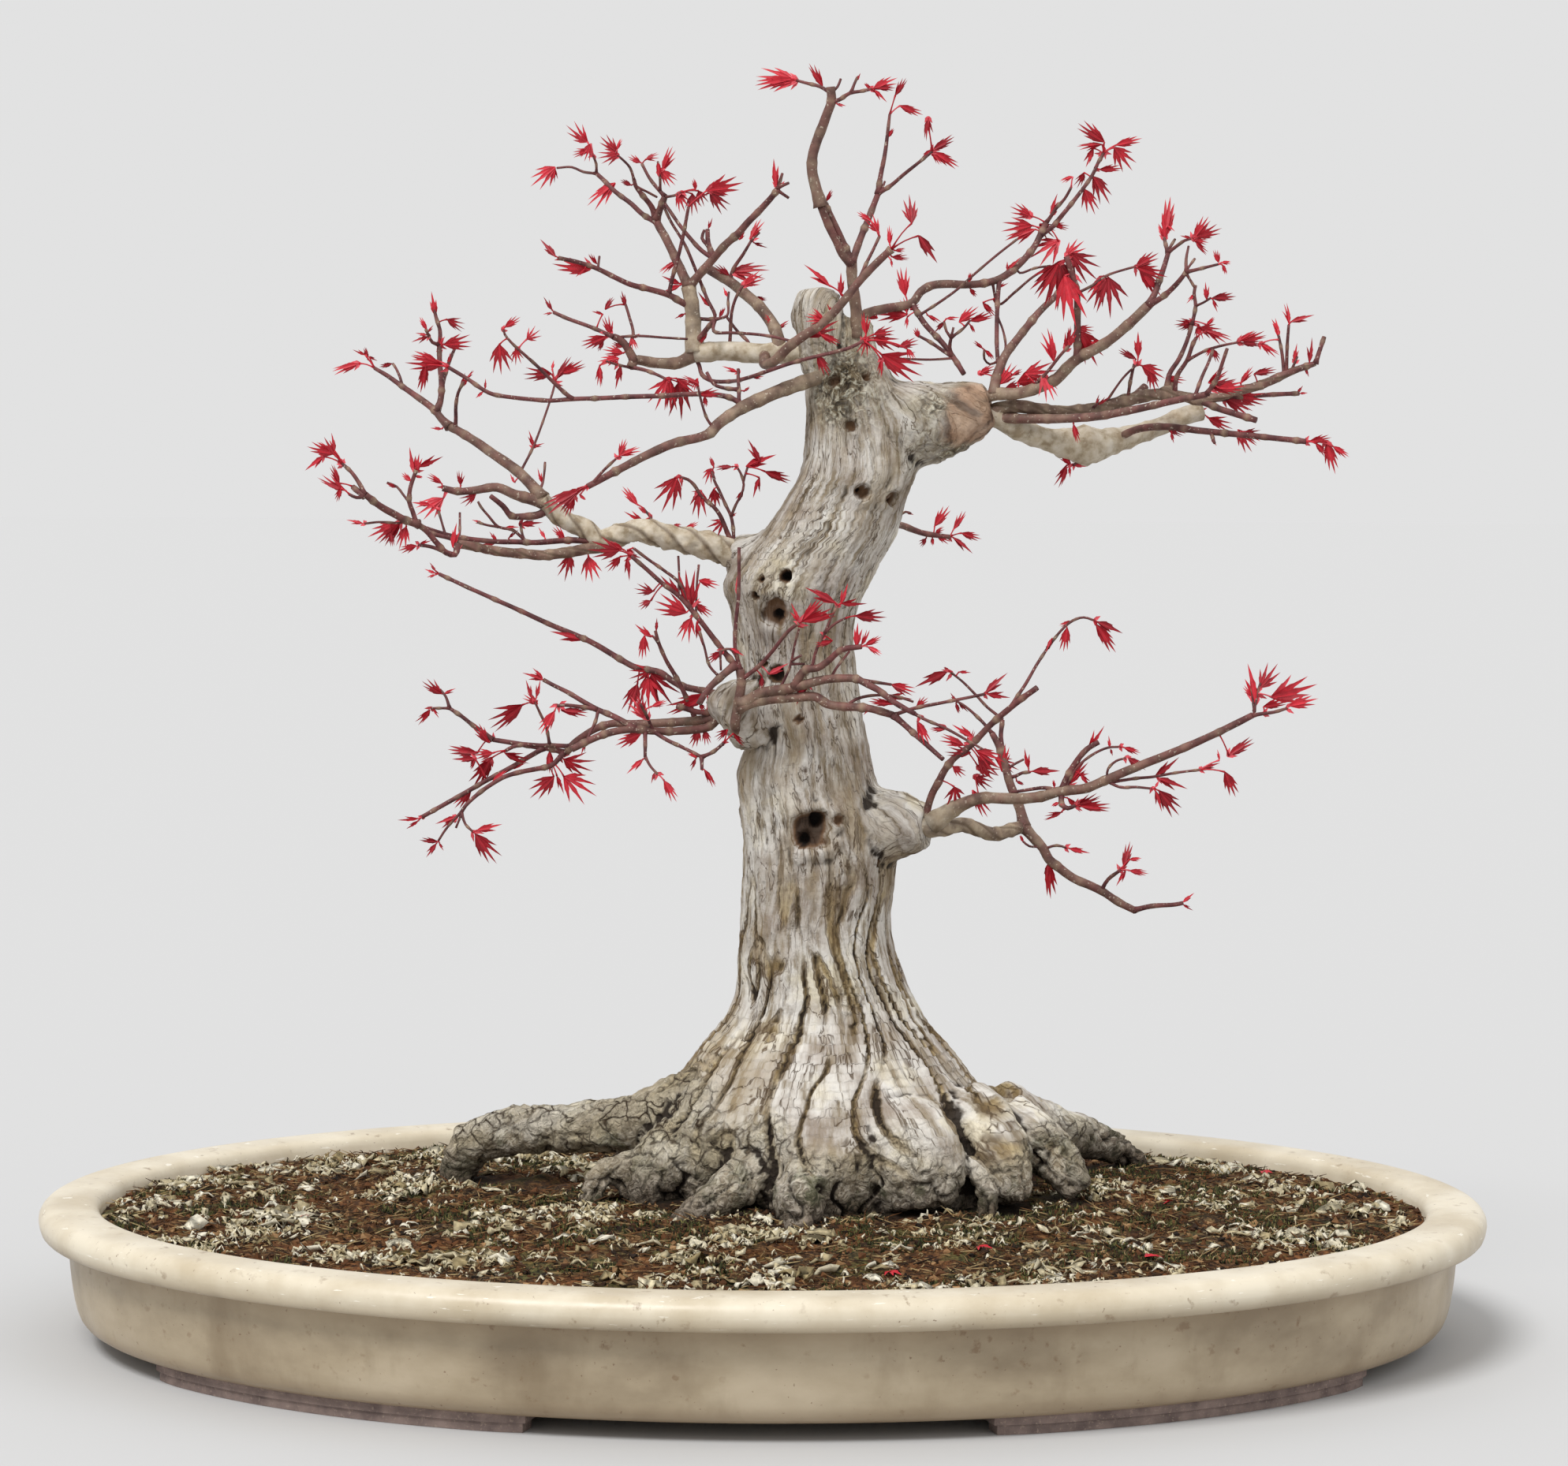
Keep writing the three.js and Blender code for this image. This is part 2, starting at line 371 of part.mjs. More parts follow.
// The branches. A limb is [base radius, tip radius, how far its tip lies back from its base, marks],
// and a mark is [u, v] with its own radius and depth where they matter (a radius of 0 follows the taper).
// A leaf is [half angle of its fan, mark of its heart, mark of its tip].
const BRANCHES = {
  branch_left_wired: {
    depth: 6,
    limbs: [
      [6.0, 5.0, -10, [958, 708], [928, 702], [900, 693], [860, 683], [835, 677], [805, 673], [780, 680],
        [760, 684, 4.2], [740, 670, 4.0], [720, 661, 4.0], [700, 647, 3.6], [688, 632, 3.2]],
      [2.4, 1.7, 22, [688, 632], [660, 601], [620, 572], [600, 558], [580, 546], [570, 541]],
      [1.7, 0.8, 18, [570, 541], [560, 531], [551, 520], [530, 504], [510, 490], [492, 477], [475, 467]],
      [1.4, 0.7, 8, [553, 522], [558, 510], [560, 490], [558, 465], [557, 445], [558, 420], [553, 403],
        [550, 390]],
      [0.8, 0.6, -6, [557, 437], [548, 434], [543, 425], [540, 418]],
      [1.0, 0.6, 14, [560, 492], [565, 472], [571, 455], [577, 441], [581, 434]],
      [0.9, 0.6, -8, [577, 545], [578, 530], [578, 515], [581, 498], [588, 484]],
      [0.7, 0.5, 6, [510, 490], [507, 478], [502, 467], [498, 461]],
      [0.6, 0.4, 10, [659, 600], [676, 567], [690, 530], [700, 500], [704, 485]],
      [0.6, 0.4, 4, [686, 618], [690, 600], [691, 586]],
      [2.4, 1.3, -6, [690, 640], [670, 632], [652, 627], [630, 618], [600, 622], [580, 623], [561, 619]],
      [1.6, 1.0, -10, [685, 652], [665, 655], [648, 654], [638, 642], [622, 629]],
      [2.4, 1.8, -34, [772, 690], [740, 697], [715, 701], [690, 704], [660, 702], [630, 699], [600, 693],
        [580, 690]],
      [1.3, 1.0, -10, [580, 690], [577, 703], [566, 701], [555, 690], [543, 676], [530, 664]],
      [1.0, 0.9, 6, [592, 690], [570, 682], [550, 677], [533, 667]],
      [0.6, 0.4, 4, [566, 679], [560, 662], [556, 648]],
      [1.5, 1.3, -14, [530, 666], [515, 660], [500, 652], [482, 642], [463, 627]],
      [0.9, 0.7, 4, [463, 627], [455, 612], [445, 598], [434, 588]],
      [0.8, 0.6, -6, [463, 632], [452, 631], [443, 627]],
      [1.1, 1.0, 2, [463, 631], [455, 624], [447, 617]],
      [0.5, 0.4, -4, [525, 664], [500, 663], [480, 662], [462, 664]],
      [0.9, 0.7, -6, [572, 702], [560, 698], [545, 693], [530, 691]],
      [0.5, 0.4, 5, [582, 690], [583, 670], [583, 650]],
      [1.0, 0.8, -4, [528, 664], [523, 648], [519, 637], [520, 620], [524, 607], [528, 596]],
      [0.5, 0.4, 4, [519, 638], [511, 627], [503, 617], [491, 612]],
      [1.4, 0.8, -16, [790, 684], [750, 686], [720, 685], [680, 688], [650, 687], [632, 687], [600, 684],
        [575, 680], [550, 673], [528, 665]],
      [0.7, 0.5, -6, [668, 688], [660, 680], [650, 672], [632, 668], [620, 655], [610, 643], [606, 636]],
      [0.5, 0.4, -3, [632, 668], [618, 666], [605, 662]],
      [0.5, 0.4, 2, [664, 684], [661, 672], [660, 664]],
      [0.6, 0.5, 4, [828, 665], [824, 655], [816, 645]],
      [1.1, 0.6, -6, [930, 697], [922, 675], [912, 652], [903, 641], [890, 630], [880, 615], [872, 608],
        [862, 605]],
      [0.8, 0.6, 6, [932, 697], [930, 675], [927, 655], [920, 640], [912, 622], [906, 610], [903, 598]],
      [0.6, 0.5, -4, [927, 655], [933, 640], [940, 627], [943, 615], [939, 600], [934, 592]],
      [0.4, 0.4, 2, [943, 610], [948, 592]],
    ],
    leaves: [
      [15, [455, 461], [419, 470]], [15, [466, 455], [463, 440]], [10, [463, 450], [447, 444]],
      [12, [468, 452], [478, 458]], [15, [497, 461], [480, 466]], [12, [552, 400], [547, 370]],
      [30, [567, 405], [588, 418]], [15, [541, 418], [532, 402]], [12, [543, 421], [549, 412]],
      [10, [541, 425], [527, 422]], [12, [543, 427], [520, 433]], [20, [556, 446], [561, 425]],
      [25, [563, 437], [600, 433]], [10, [568, 462], [571, 447]], [12, [583, 492], [601, 469]],
      [10, [560, 544], [546, 543]], [10, [676, 566], [671, 545]], [12, [677, 567], [691, 561]],
      [25, [699, 474], [663, 475]], [15, [706, 480], [724, 451]], [15, [709, 474], [742, 462]],
      [12, [700, 468], [702, 456]], [10, [687, 612], [681, 594]], [8, [652, 612], [646, 600]],
      [20, [560, 613], [542, 600]], [25, [584, 615], [581, 597]], [30, [562, 632], [528, 652]],
      [12, [545, 640], [522, 637]], [35, [603, 627], [583, 640]], [15, [808, 640], [789, 616]],
      [15, [819, 651], [809, 642]], [12, [815, 661], [792, 650]], [25, [853, 668], [864, 665]],
      [15, [868, 672], [885, 662]], [20, [716, 683], [700, 668]], [15, [722, 690], [706, 680]],
      [35, [722, 704], [717, 738]], [35, [746, 706], [751, 740]], [12, [526, 600], [517, 565]],
      [12, [529, 598], [531, 574]], [10, [531, 592], [563, 580]], [20, [521, 610], [508, 599]],
      [15, [527, 604], [536, 605]], [12, [502, 618], [489, 613]], [20, [424, 575], [386, 567]],
      [15, [425, 577], [402, 560]], [12, [424, 572], [421, 548]], [12, [425, 578], [411, 555]],
      [10, [410, 579], [386, 596]], [15, [438, 622], [403, 608]], [15, [430, 613], [421, 589]],
      [20, [432, 619], [427, 637]], [25, [505, 664], [465, 680]], [30, [515, 668], [505, 697]],
      [20, [508, 664], [477, 690]], [15, [495, 675], [498, 693]], [10, [460, 664], [438, 658]],
      [20, [528, 692], [504, 698]], [10, [533, 689], [547, 686]], [12, [574, 694], [578, 662]],
      [10, [630, 686], [620, 674]], [12, [629, 688], [606, 692]], [12, [612, 664], [599, 659]],
      [12, [641, 669], [659, 668]], [12, [660, 665], [690, 662]], [12, [691, 682], [682, 668]],
      [10, [645, 682], [658, 672]], [40, [858, 606], [840, 650]], [15, [856, 606], [836, 621]],
      [35, [888, 622], [884, 660]], [12, [890, 622], [876, 624]], [30, [905, 620], [908, 650]],
      [40, [902, 594], [893, 615]], [15, [905, 592], [900, 578]], [15, [928, 592], [905, 592]],
      [45, [918, 660], [898, 680]], [12, [927, 655], [934, 650]], [12, [942, 622], [932, 642]],
      [12, [946, 592], [986, 574]], [12, [963, 585], [949, 556]], [15, [970, 598], [1005, 612]],
      [12, [963, 606], [953, 633]],
    ],
  },
  branch_head_left: {
    depth: -8,
    limbs: [
      [3.2, 1.2, -46, [1062, 474], [1040, 478], [1010, 488], [985, 497], [960, 508], [945, 515, 2.6],
        [925, 527, 2.3], [908, 540, 2.3], [901, 549, 2.1], [885, 555, 1.9], [855, 562, 1.9],
        [820, 577, 1.7], [780, 598, 1.5], [745, 617, 1.2]],
      [1.1, 0.8, 18, [943, 512], [925, 504], [900, 500], [870, 500], [840, 502], [800, 503], [760, 505],
        [726, 506], [700, 508], [680, 507], [650, 504], [625, 500], [614, 495], [592, 480], [569, 466]],
      [0.9, 0.5, -10, [726, 506], [715, 497], [700, 483], [680, 463], [662, 447], [648, 434], [640, 424],
        [638, 418]],
      [0.6, 0.5, -6, [905, 543], [897, 532], [890, 512], [885, 490]],
      [0.7, 0.5, -6, [750, 613], [765, 597], [783, 580]],
      [0.8, 0.7, 8, [938, 508], [937, 495], [936, 480], [936, 468]],
      [0.8, 0.7, 4, [936, 494], [918, 492], [905, 487], [896, 472]],
    ],
    leaves: [
      [20, [732, 623], [688, 645]], [20, [728, 630], [715, 657]], [15, [735, 628], [743, 634]],
      [25, [732, 620], [712, 632]], [18, [785, 578], [795, 555]], [18, [786, 578], [813, 565]],
      [25, [560, 463], [515, 461]], [20, [553, 457], [520, 449]], [15, [540, 463], [533, 500]],
      [10, [592, 480], [601, 469]], [10, [612, 497], [603, 505]], [6, [615, 493], [616, 480]],
      [20, [640, 415], [660, 402]], [35, [633, 437], [635, 478]], [40, [655, 443], [653, 465]],
      [45, [668, 430], [686, 418]], [12, [935, 472], [915, 463]], [15, [944, 496], [950, 490]],
      [20, [884, 486], [863, 476]], [20, [887, 500], [915, 500]], [20, [893, 503], [896, 517]],
      [25, [884, 480], [880, 496]],
    ],
  },
  branch_crown_left: {
    depth: 0,
    limbs: [
      [4.6, 3.9, 14, [1062, 448], [1032, 446], [1000, 448], [960, 448], [920, 445], [882, 448]],
      [3.4, 2.9, 4, [882, 448], [879, 420], [878, 395], [873, 364]],
      [2.6, 2.0, -8, [882, 452], [860, 460], [830, 460], [805, 457], [800, 466]],
      [1.7, 1.4, -2, [803, 457], [795, 441], [787, 431], [778, 427]],
      [0.9, 0.8, 14, [778, 427], [750, 415], [720, 404], [702, 396]],
      [0.7, 0.6, 6, [800, 440], [803, 425], [798, 402], [793, 386]],
      [0.6, 0.5, 2, [780, 427], [810, 426], [840, 428], [872, 430]],
      [0.6, 0.5, -8, [800, 466], [785, 463], [768, 458]],
      [0.9, 0.6, -10, [802, 466], [820, 470], [835, 476], [845, 481]],
      [2.0, 1.6, 10, [873, 364], [862, 340], [853, 320], [843, 300], [834, 284], [831, 275]],
      [1.1, 0.9, 20, [833, 283], [815, 272], [800, 258], [780, 243], [765, 228], [756, 220]],
      [0.6, 0.4, -4, [756, 220], [756, 208], [752, 198]],
      [0.6, 0.5, 6, [756, 220], [740, 218], [725, 212], [706, 213]],
      [1.3, 0.8, -8, [831, 275], [826, 262], [815, 248], [806, 236], [804, 228]],
      [0.6, 0.5, -6, [804, 230], [799, 213], [790, 203], [783, 197]],
      [0.6, 0.4, 6, [808, 236], [820, 243], [833, 250]],
      [1.5, 1.3, -4, [832, 278], [838, 262], [843, 249]],
      [0.9, 0.6, 6, [843, 249], [833, 238], [823, 225], [814, 208]],
      [0.6, 0.5, -8, [836, 243], [837, 228], [834, 205]],
      [0.6, 0.5, -8, [843, 250], [855, 248], [864, 244]],
      [1.9, 1.2, -20, [873, 364], [885, 350], [898, 335], [905, 327], [920, 310], [935, 297], [950, 280],
        [965, 265], [980, 248], [986, 240]],
      [1.2, 0.9, 4, [904, 327], [898, 308], [897, 291]],
      [0.9, 0.6, 5, [899, 312], [890, 302], [893, 292]],
      [0.8, 0.6, 3, [986, 240], [992, 220]],
      [0.8, 0.6, -3, [988, 238], [1000, 232]],
      [0.7, 0.6, 2, [988, 243], [1000, 251]],
      [1.4, 0.8, -14, [876, 390], [862, 382], [848, 374], [820, 366], [800, 361], [780, 352], [758, 341],
        [735, 333], [708, 327]],
      [0.5, 0.4, 3, [758, 341], [760, 325]],
      [0.9, 0.7, -6, [848, 374], [852, 355], [860, 325], [867, 295], [873, 262]],
      [0.8, 0.6, 8, [906, 403], [896, 378], [885, 350], [868, 310], [850, 280], [839, 256]],
      [1.0, 0.7, 10, [905, 328], [890, 318], [875, 302], [860, 283], [843, 258]],
      [2.6, 2.0, 26, [988, 436], [980, 412], [962, 388], [945, 373], [925, 357], [905, 345], [893, 338]],
      [0.7, 0.6, 6, [950, 436], [935, 420], [920, 400]],
      [1.3, 0.9, -10, [884, 438], [897, 416], [907, 405]],
      [0.6, 0.5, 4, [907, 405], [922, 400], [923, 380], [924, 370]],
      [0.8, 0.6, -6, [925, 440], [926, 425], [928, 395], [933, 378], [942, 362]],
      [0.7, 0.6, -24, [907, 407], [905, 420], [930, 422], [960, 424], [985, 428], [1005, 433]],
      [0.9, 0.6, -4, [925, 357], [930, 341], [942, 323], [952, 306]],
      [0.5, 0.4, 2, [952, 306], [963, 295]],
      [2.1, 1.5, -24, [970, 462, 0, -8], [982, 458, 0, -16], [1000, 440, 0, -20], [1020, 425, 0, -22],
        [1040, 412, 0, -24], [1060, 393, 0, -26], [1075, 375, 0, -27], [1085, 362, 0, -27],
        [1100, 345, 0, -28], [1115, 330, 0, -28], [1130, 316, 0, -29]],
      [0.8, 0.6, 6, [1087, 358], [1098, 335], [1108, 315], [1115, 300]],
      [0.9, 0.7, -26, [886, 462], [890, 475], [902, 483], [920, 484], [945, 480, 0, -12],
        [975, 470, 0, -22], [1005, 460, 0, -26], [1035, 452, 0, -29], [1060, 446, 0, -31],
        [1080, 440, 0, -32], [1095, 432, 0, -32]],
    ],
    leaves: [
      [35, [745, 180], [717, 160]], [30, [749, 182], [741, 205]], [20, [747, 190], [726, 197]],
      [35, [704, 212], [673, 235]], [30, [704, 214], [697, 232]], [35, [784, 196], [758, 200]],
      [30, [782, 192], [760, 173]], [15, [782, 190], [787, 175]], [25, [780, 232], [743, 259]],
      [20, [800, 235], [786, 228]], [25, [812, 206], [796, 199]], [30, [819, 202], [836, 194]],
      [30, [838, 216], [856, 235]], [20, [840, 216], [852, 184]], [15, [834, 205], [836, 225]],
      [35, [860, 244], [868, 270]], [35, [878, 246], [876, 275]], [40, [886, 242], [893, 262]],
      [25, [897, 241], [945, 232]], [30, [900, 244], [924, 269]], [20, [882, 240], [880, 226]],
      [12, [898, 290], [904, 276]], [8, [984, 236], [980, 201]], [12, [938, 304], [944, 294]],
      [12, [704, 325], [685, 303]], [10, [712, 328], [703, 330]], [15, [757, 335], [745, 322]],
      [20, [748, 342], [700, 336]], [10, [742, 340], [729, 352]], [12, [862, 360], [838, 350]],
      [12, [862, 362], [840, 370]], [15, [858, 331], [834, 345]], [12, [700, 393], [688, 376]],
      [10, [700, 397], [688, 398]], [12, [793, 388], [788, 368]], [25, [775, 424], [765, 400]],
      [15, [767, 392], [778, 375]], [10, [764, 398], [750, 395]], [20, [768, 427], [735, 440]],
      [15, [765, 432], [758, 446]], [30, [800, 428], [808, 444]], [15, [802, 428], [812, 424]],
      [25, [790, 448], [764, 443]], [25, [784, 454], [757, 458]], [15, [760, 464], [762, 490]],
      [12, [787, 464], [780, 493]], [20, [790, 440], [775, 435]], [40, [846, 482], [832, 520]],
      [20, [850, 484], [850, 525]], [40, [861, 485], [866, 535]], [25, [858, 480], [882, 500]],
      [30, [886, 459], [893, 451]], [15, [896, 424], [887, 436]], [15, [912, 402], [920, 389]],
      [12, [922, 376], [917, 364]], [25, [942, 362], [968, 347]], [30, [928, 345], [975, 340]],
      [25, [926, 350], [932, 362]], [20, [925, 350], [906, 336]], [20, [952, 302], [965, 275]],
      [12, [956, 308], [973, 315]], [15, [957, 377], [973, 381]], [15, [985, 418], [971, 398]],
      [15, [985, 418], [1000, 405]], [12, [868, 398], [855, 404]], [12, [899, 388], [884, 370]],
      [12, [982, 452], [965, 442]], [12, [955, 479], [969, 477]], [20, [1022, 427], [1065, 405]],
      [15, [1040, 424], [1068, 436]], [20, [1036, 450], [1053, 478]], [15, [1045, 448], [1066, 452]],
      [20, [1098, 424], [1094, 396]], [40, [1099, 430], [1092, 452]], [30, [1108, 428], [1141, 440]],
      [25, [1108, 424], [1136, 419]], [30, [1118, 450], [1170, 480]], [15, [1117, 456], [1118, 478]],
      [20, [1140, 440], [1166, 430]], [25, [1150, 442], [1160, 456]], [15, [1128, 310], [1127, 286]],
      [20, [1135, 318], [1148, 315]], [20, [1131, 326], [1153, 328]], [25, [1156, 283], [1153, 246]],
      [12, [1165, 299], [1190, 336]], [10, [1130, 330], [1131, 340]], [30, [1114, 294], [1098, 272]],
      [15, [1104, 280], [1085, 268]], [12, [1066, 374], [1066, 345]], [12, [1051, 362], [1021, 334]],
      [12, [1055, 397], [1048, 385]], [25, [1045, 407], [1020, 400]], [15, [1044, 406], [1031, 390]],
    ],
  },
  branch_apex: {
    depth: -4,
    limbs: [
      [2.6, 2.1, -4, [1086, 428], [1086, 400], [1083, 375], [1080, 350], [1080, 333]],
      [1.7, 1.6, -6, [1078, 335], [1068, 322], [1060, 305], [1050, 285], [1041, 262]],
      [1.5, 1.4, -2, [1080, 335], [1072, 315], [1062, 293], [1048, 265], [1041, 255]],
      [2.3, 1.8, -4, [1041, 260], [1035, 240], [1030, 220], [1030, 200], [1035, 180], [1043, 160],
        [1049, 143], [1054, 128], [1053, 110]],
      [0.8, 0.6, 6, [1054, 118], [1040, 110], [1025, 106], [1010, 102]],
      [0.9, 0.6, -8, [1055, 131], [1065, 126], [1078, 118], [1090, 116], [1105, 113]],
      [0.7, 0.5, 2, [1079, 117], [1083, 107], [1087, 98]],
      [0.6, 0.5, 2, [1056, 118], [1062, 110], [1066, 100]],
      [1.5, 1.2, 12, [1082, 330], [1090, 305], [1100, 280], [1107, 262], [1113, 246]],
      [1.1, 0.6, 6, [1113, 246], [1117, 220], [1122, 195], [1125, 172], [1128, 145]],
      [0.9, 0.6, -8, [1114, 246], [1130, 235], [1145, 222], [1160, 210], [1175, 198], [1182, 192]],
      [0.5, 0.4, 2, [1117, 243], [1122, 230]],
    ],
    leaves: [
      [35, [1008, 102], [960, 95]], [15, [1003, 100], [958, 107]], [15, [1043, 109], [1025, 81]],
      [12, [1061, 132], [1073, 134]], [12, [1086, 102], [1091, 93]], [20, [1107, 113], [1138, 97]],
      [15, [1104, 113], [1095, 105]], [12, [1108, 114], [1125, 129]], [15, [1113, 112], [1136, 111]],
      [15, [1048, 255], [1054, 240]], [15, [1126, 174], [1133, 162]], [15, [1135, 121], [1150, 98]],
      [15, [1141, 134], [1171, 146]], [20, [1177, 150], [1173, 179]], [15, [1183, 190], [1212, 172]],
      [15, [1184, 193], [1217, 212]], [12, [1180, 190], [1166, 203]], [15, [1182, 195], [1195, 208]],
    ],
  },
  branch_crown_right: {
    depth: 6,
    limbs: [
      [2.0, 1.3, 26, [1080, 412], [1098, 398], [1125, 391], [1145, 388], [1158, 383], [1167, 370],
        [1182, 362], [1200, 360], [1230, 361], [1258, 357], [1270, 352], [1285, 342], [1300, 327],
        [1312, 312], [1319, 298], [1326, 283]],
      [1.1, 0.7, 10, [1319, 298], [1335, 287], [1345, 275], [1365, 250], [1385, 222], [1392, 207],
        [1399, 194]],
      [0.8, 0.6, -6, [1330, 278], [1340, 263], [1350, 252], [1358, 238]],
      [1.2, 1.1, -20, [1158, 388], [1172, 410], [1195, 435], [1208, 452], [1222, 474]],
      [0.9, 0.6, 4, [1208, 453], [1196, 445], [1180, 434], [1165, 426]],
      [0.6, 0.5, -8, [1170, 397], [1210, 370], [1235, 348], [1262, 325], [1290, 303]],
      [0.6, 0.5, -14, [1266, 386], [1285, 372], [1310, 351], [1330, 340]],
      [0.5, 0.4, -4, [1293, 346], [1312, 340], [1332, 337]],
      [1.0, 0.9, -16, [1268, 355], [1265, 380], [1264, 410], [1264, 440], [1266, 466]],
      [0.5, 0.5, -6, [1266, 400], [1272, 420], [1275, 440], [1270, 458]],
      [0.9, 0.7, -4, [1207, 452], [1204, 440], [1206, 428]],
      [0.6, 0.5, 2, [1206, 428], [1200, 420], [1197, 408]],
      [0.6, 0.5, -2, [1206, 428], [1222, 416], [1230, 406]],
      [0.5, 0.4, 0, [1206, 428], [1209, 415]],
      [0.5, 0.4, -4, [1264, 458], [1255, 462], [1248, 455], [1248, 444]],
      [0.5, 0.4, -3, [1208, 455], [1180, 456], [1145, 455]],
    ],
    leaves: [
      [15, [1415, 184], [1448, 175]], [35, [1413, 187], [1437, 218]], [20, [1400, 180], [1367, 157]],
      [15, [1397, 183], [1366, 184]], [12, [1386, 188], [1377, 213]], [15, [1394, 215], [1424, 214]],
      [30, [1374, 219], [1366, 240]], [30, [1386, 224], [1408, 258]], [30, [1375, 240], [1389, 272]],
      [20, [1360, 224], [1343, 229]], [12, [1333, 270], [1340, 245]], [30, [1307, 274], [1282, 262]],
      [35, [1308, 286], [1270, 293]], [20, [1312, 291], [1272, 304]], [40, [1318, 284], [1338, 302]],
      [20, [1335, 284], [1356, 291]], [45, [1342, 306], [1304, 326]], [12, [1276, 345], [1294, 325]],
      [8, [1277, 342], [1277, 331]], [20, [1229, 357], [1231, 345]], [10, [1266, 364], [1280, 359]],
      [20, [1230, 366], [1238, 378]], [15, [1246, 384], [1262, 401]], [30, [1150, 396], [1145, 375]],
      [25, [1154, 393], [1166, 385]], [20, [1150, 399], [1108, 398]], [25, [1112, 404], [1090, 396]],
      [12, [1150, 402], [1150, 418]], [15, [1176, 400], [1195, 408]], [20, [1148, 375], [1140, 337]],
      [12, [1197, 408], [1183, 424]], [22, [1216, 408], [1240, 389]], [12, [1200, 404], [1216, 402]],
      [15, [1230, 407], [1262, 400]], [15, [1230, 412], [1237, 422]], [15, [1246, 442], [1235, 431]],
      [15, [1249, 444], [1262, 456]], [25, [1165, 428], [1160, 415]],
    ],
  },
  branch_right_upper: {
    depth: -4,
    limbs: [
      [2.6, 2.0, -30, [1242, 506], [1264, 500], [1290, 499], [1315, 492], [1340, 480], [1352, 467],
        [1366, 455], [1400, 436], [1430, 412], [1456, 387]],
      [2.1, 1.2, 22, [1260, 499], [1262, 484], [1268, 465], [1275, 450], [1293, 426], [1320, 393],
        [1338, 376], [1352, 360]],
      [1.4, 1.0, 8, [1456, 387], [1465, 370], [1470, 355], [1476, 338], [1481, 321]],
      [0.9, 0.6, 4, [1481, 321], [1478, 310], [1475, 298]],
      [0.6, 0.5, 2, [1483, 318], [1490, 303]],
      [0.8, 0.5, -8, [1482, 320], [1492, 312], [1502, 305], [1513, 302]],
      [1.3, 0.9, -12, [1456, 387], [1472, 378], [1490, 362], [1504, 345]],
      [0.7, 0.5, 4, [1503, 343], [1504, 328], [1507, 312]],
      [0.8, 0.5, -8, [1504, 345], [1525, 340], [1545, 335]],
      [0.5, 0.4, 3, [1504, 343], [1515, 328]],
      [0.6, 0.5, 0, [1505, 347], [1515, 365]],
      [1.5, 1.2, -6, [1366, 455], [1366, 425], [1366, 395], [1365, 370], [1360, 350], [1352, 325]],
      [0.6, 0.4, -10, [1365, 372], [1385, 362], [1402, 350], [1425, 342], [1440, 338]],
      [0.8, 0.6, -14, [1305, 498], [1325, 475], [1345, 450], [1356, 438]],
    ],
    leaves: [
      [50, [1343, 332], [1342, 396]], [30, [1350, 350], [1363, 412]], [35, [1341, 335], [1314, 382]],
      [35, [1352, 325], [1375, 304]], [40, [1358, 322], [1390, 356]], [45, [1405, 352], [1408, 405]],
      [30, [1400, 352], [1386, 395]], [20, [1440, 338], [1470, 320]], [20, [1442, 340], [1480, 352]],
      [15, [1445, 342], [1475, 378]], [25, [1398, 352], [1380, 380]], [12, [1477, 303], [1474, 272]],
      [14, [1478, 298], [1484, 247]], [10, [1480, 286], [1490, 293]], [20, [1514, 301], [1533, 274]],
      [25, [1518, 300], [1550, 290]], [20, [1514, 304], [1534, 308]], [15, [1516, 307], [1530, 323]],
      [10, [1510, 302], [1496, 299]], [20, [1545, 333], [1540, 316]], [20, [1549, 333], [1561, 332]],
      [20, [1550, 336], [1556, 348]], [25, [1268, 487], [1290, 462]], [25, [1285, 476], [1296, 467]],
      [35, [1290, 485], [1330, 475]], [35, [1300, 474], [1340, 470]], [30, [1322, 476], [1338, 508]],
      [25, [1275, 492], [1300, 487]], [20, [1336, 458], [1330, 415]], [25, [1350, 442], [1366, 415]],
      [15, [1354, 432], [1358, 415]], [30, [1368, 420], [1392, 466]], [25, [1366, 416], [1388, 420]],
      [20, [1384, 434], [1410, 438]], [20, [1242, 474], [1263, 462]],
    ],
  },
  branch_right_wired: {
    depth: -6,
    limbs: [
      [3.4, 3.8, 40, [1236, 524], [1258, 528], [1290, 545], [1320, 555, 4.5], [1350, 562, 6],
        [1378, 566, 8], [1405, 561, 5.5], [1440, 551, 4.2], [1470, 541, 3.8], [1500, 528, 3.8],
        [1522, 522, 4]],
      [2.7, 1.4, -10, [1262, 520], [1278, 516], [1300, 516], [1335, 522], [1370, 521], [1400, 516],
        [1435, 506, 2.6], [1470, 500, 2.4], [1500, 503, 2.2], [1525, 508, 2.2], [1545, 503, 2.0],
        [1565, 496, 2.0], [1590, 491, 1.9], [1620, 479, 1.8], [1640, 470, 1.5], [1668, 461, 1.1]],
      [2.1, 1.3, -34, [1265, 526], [1300, 531], [1340, 531], [1390, 528], [1440, 519], [1480, 510],
        [1515, 503], [1530, 500]],
      [1.0, 0.7, -8, [1530, 500], [1543, 480], [1550, 460], [1556, 442]],
      [1.4, 1.3, -10, [1522, 510], [1545, 518], [1570, 526], [1593, 533]],
      [1.6, 1.1, -50, [1410, 555], [1440, 545], [1475, 541], [1520, 546], [1570, 551], [1620, 556],
        [1656, 560]],
      [1.1, 0.9, 10, [1530, 508], [1560, 505], [1590, 502], [1620, 500], [1647, 499]],
      [0.8, 0.6, -6, [1430, 508], [1433, 485], [1438, 462]],
      [0.5, 0.4, -8, [1398, 516], [1425, 478], [1442, 462]],
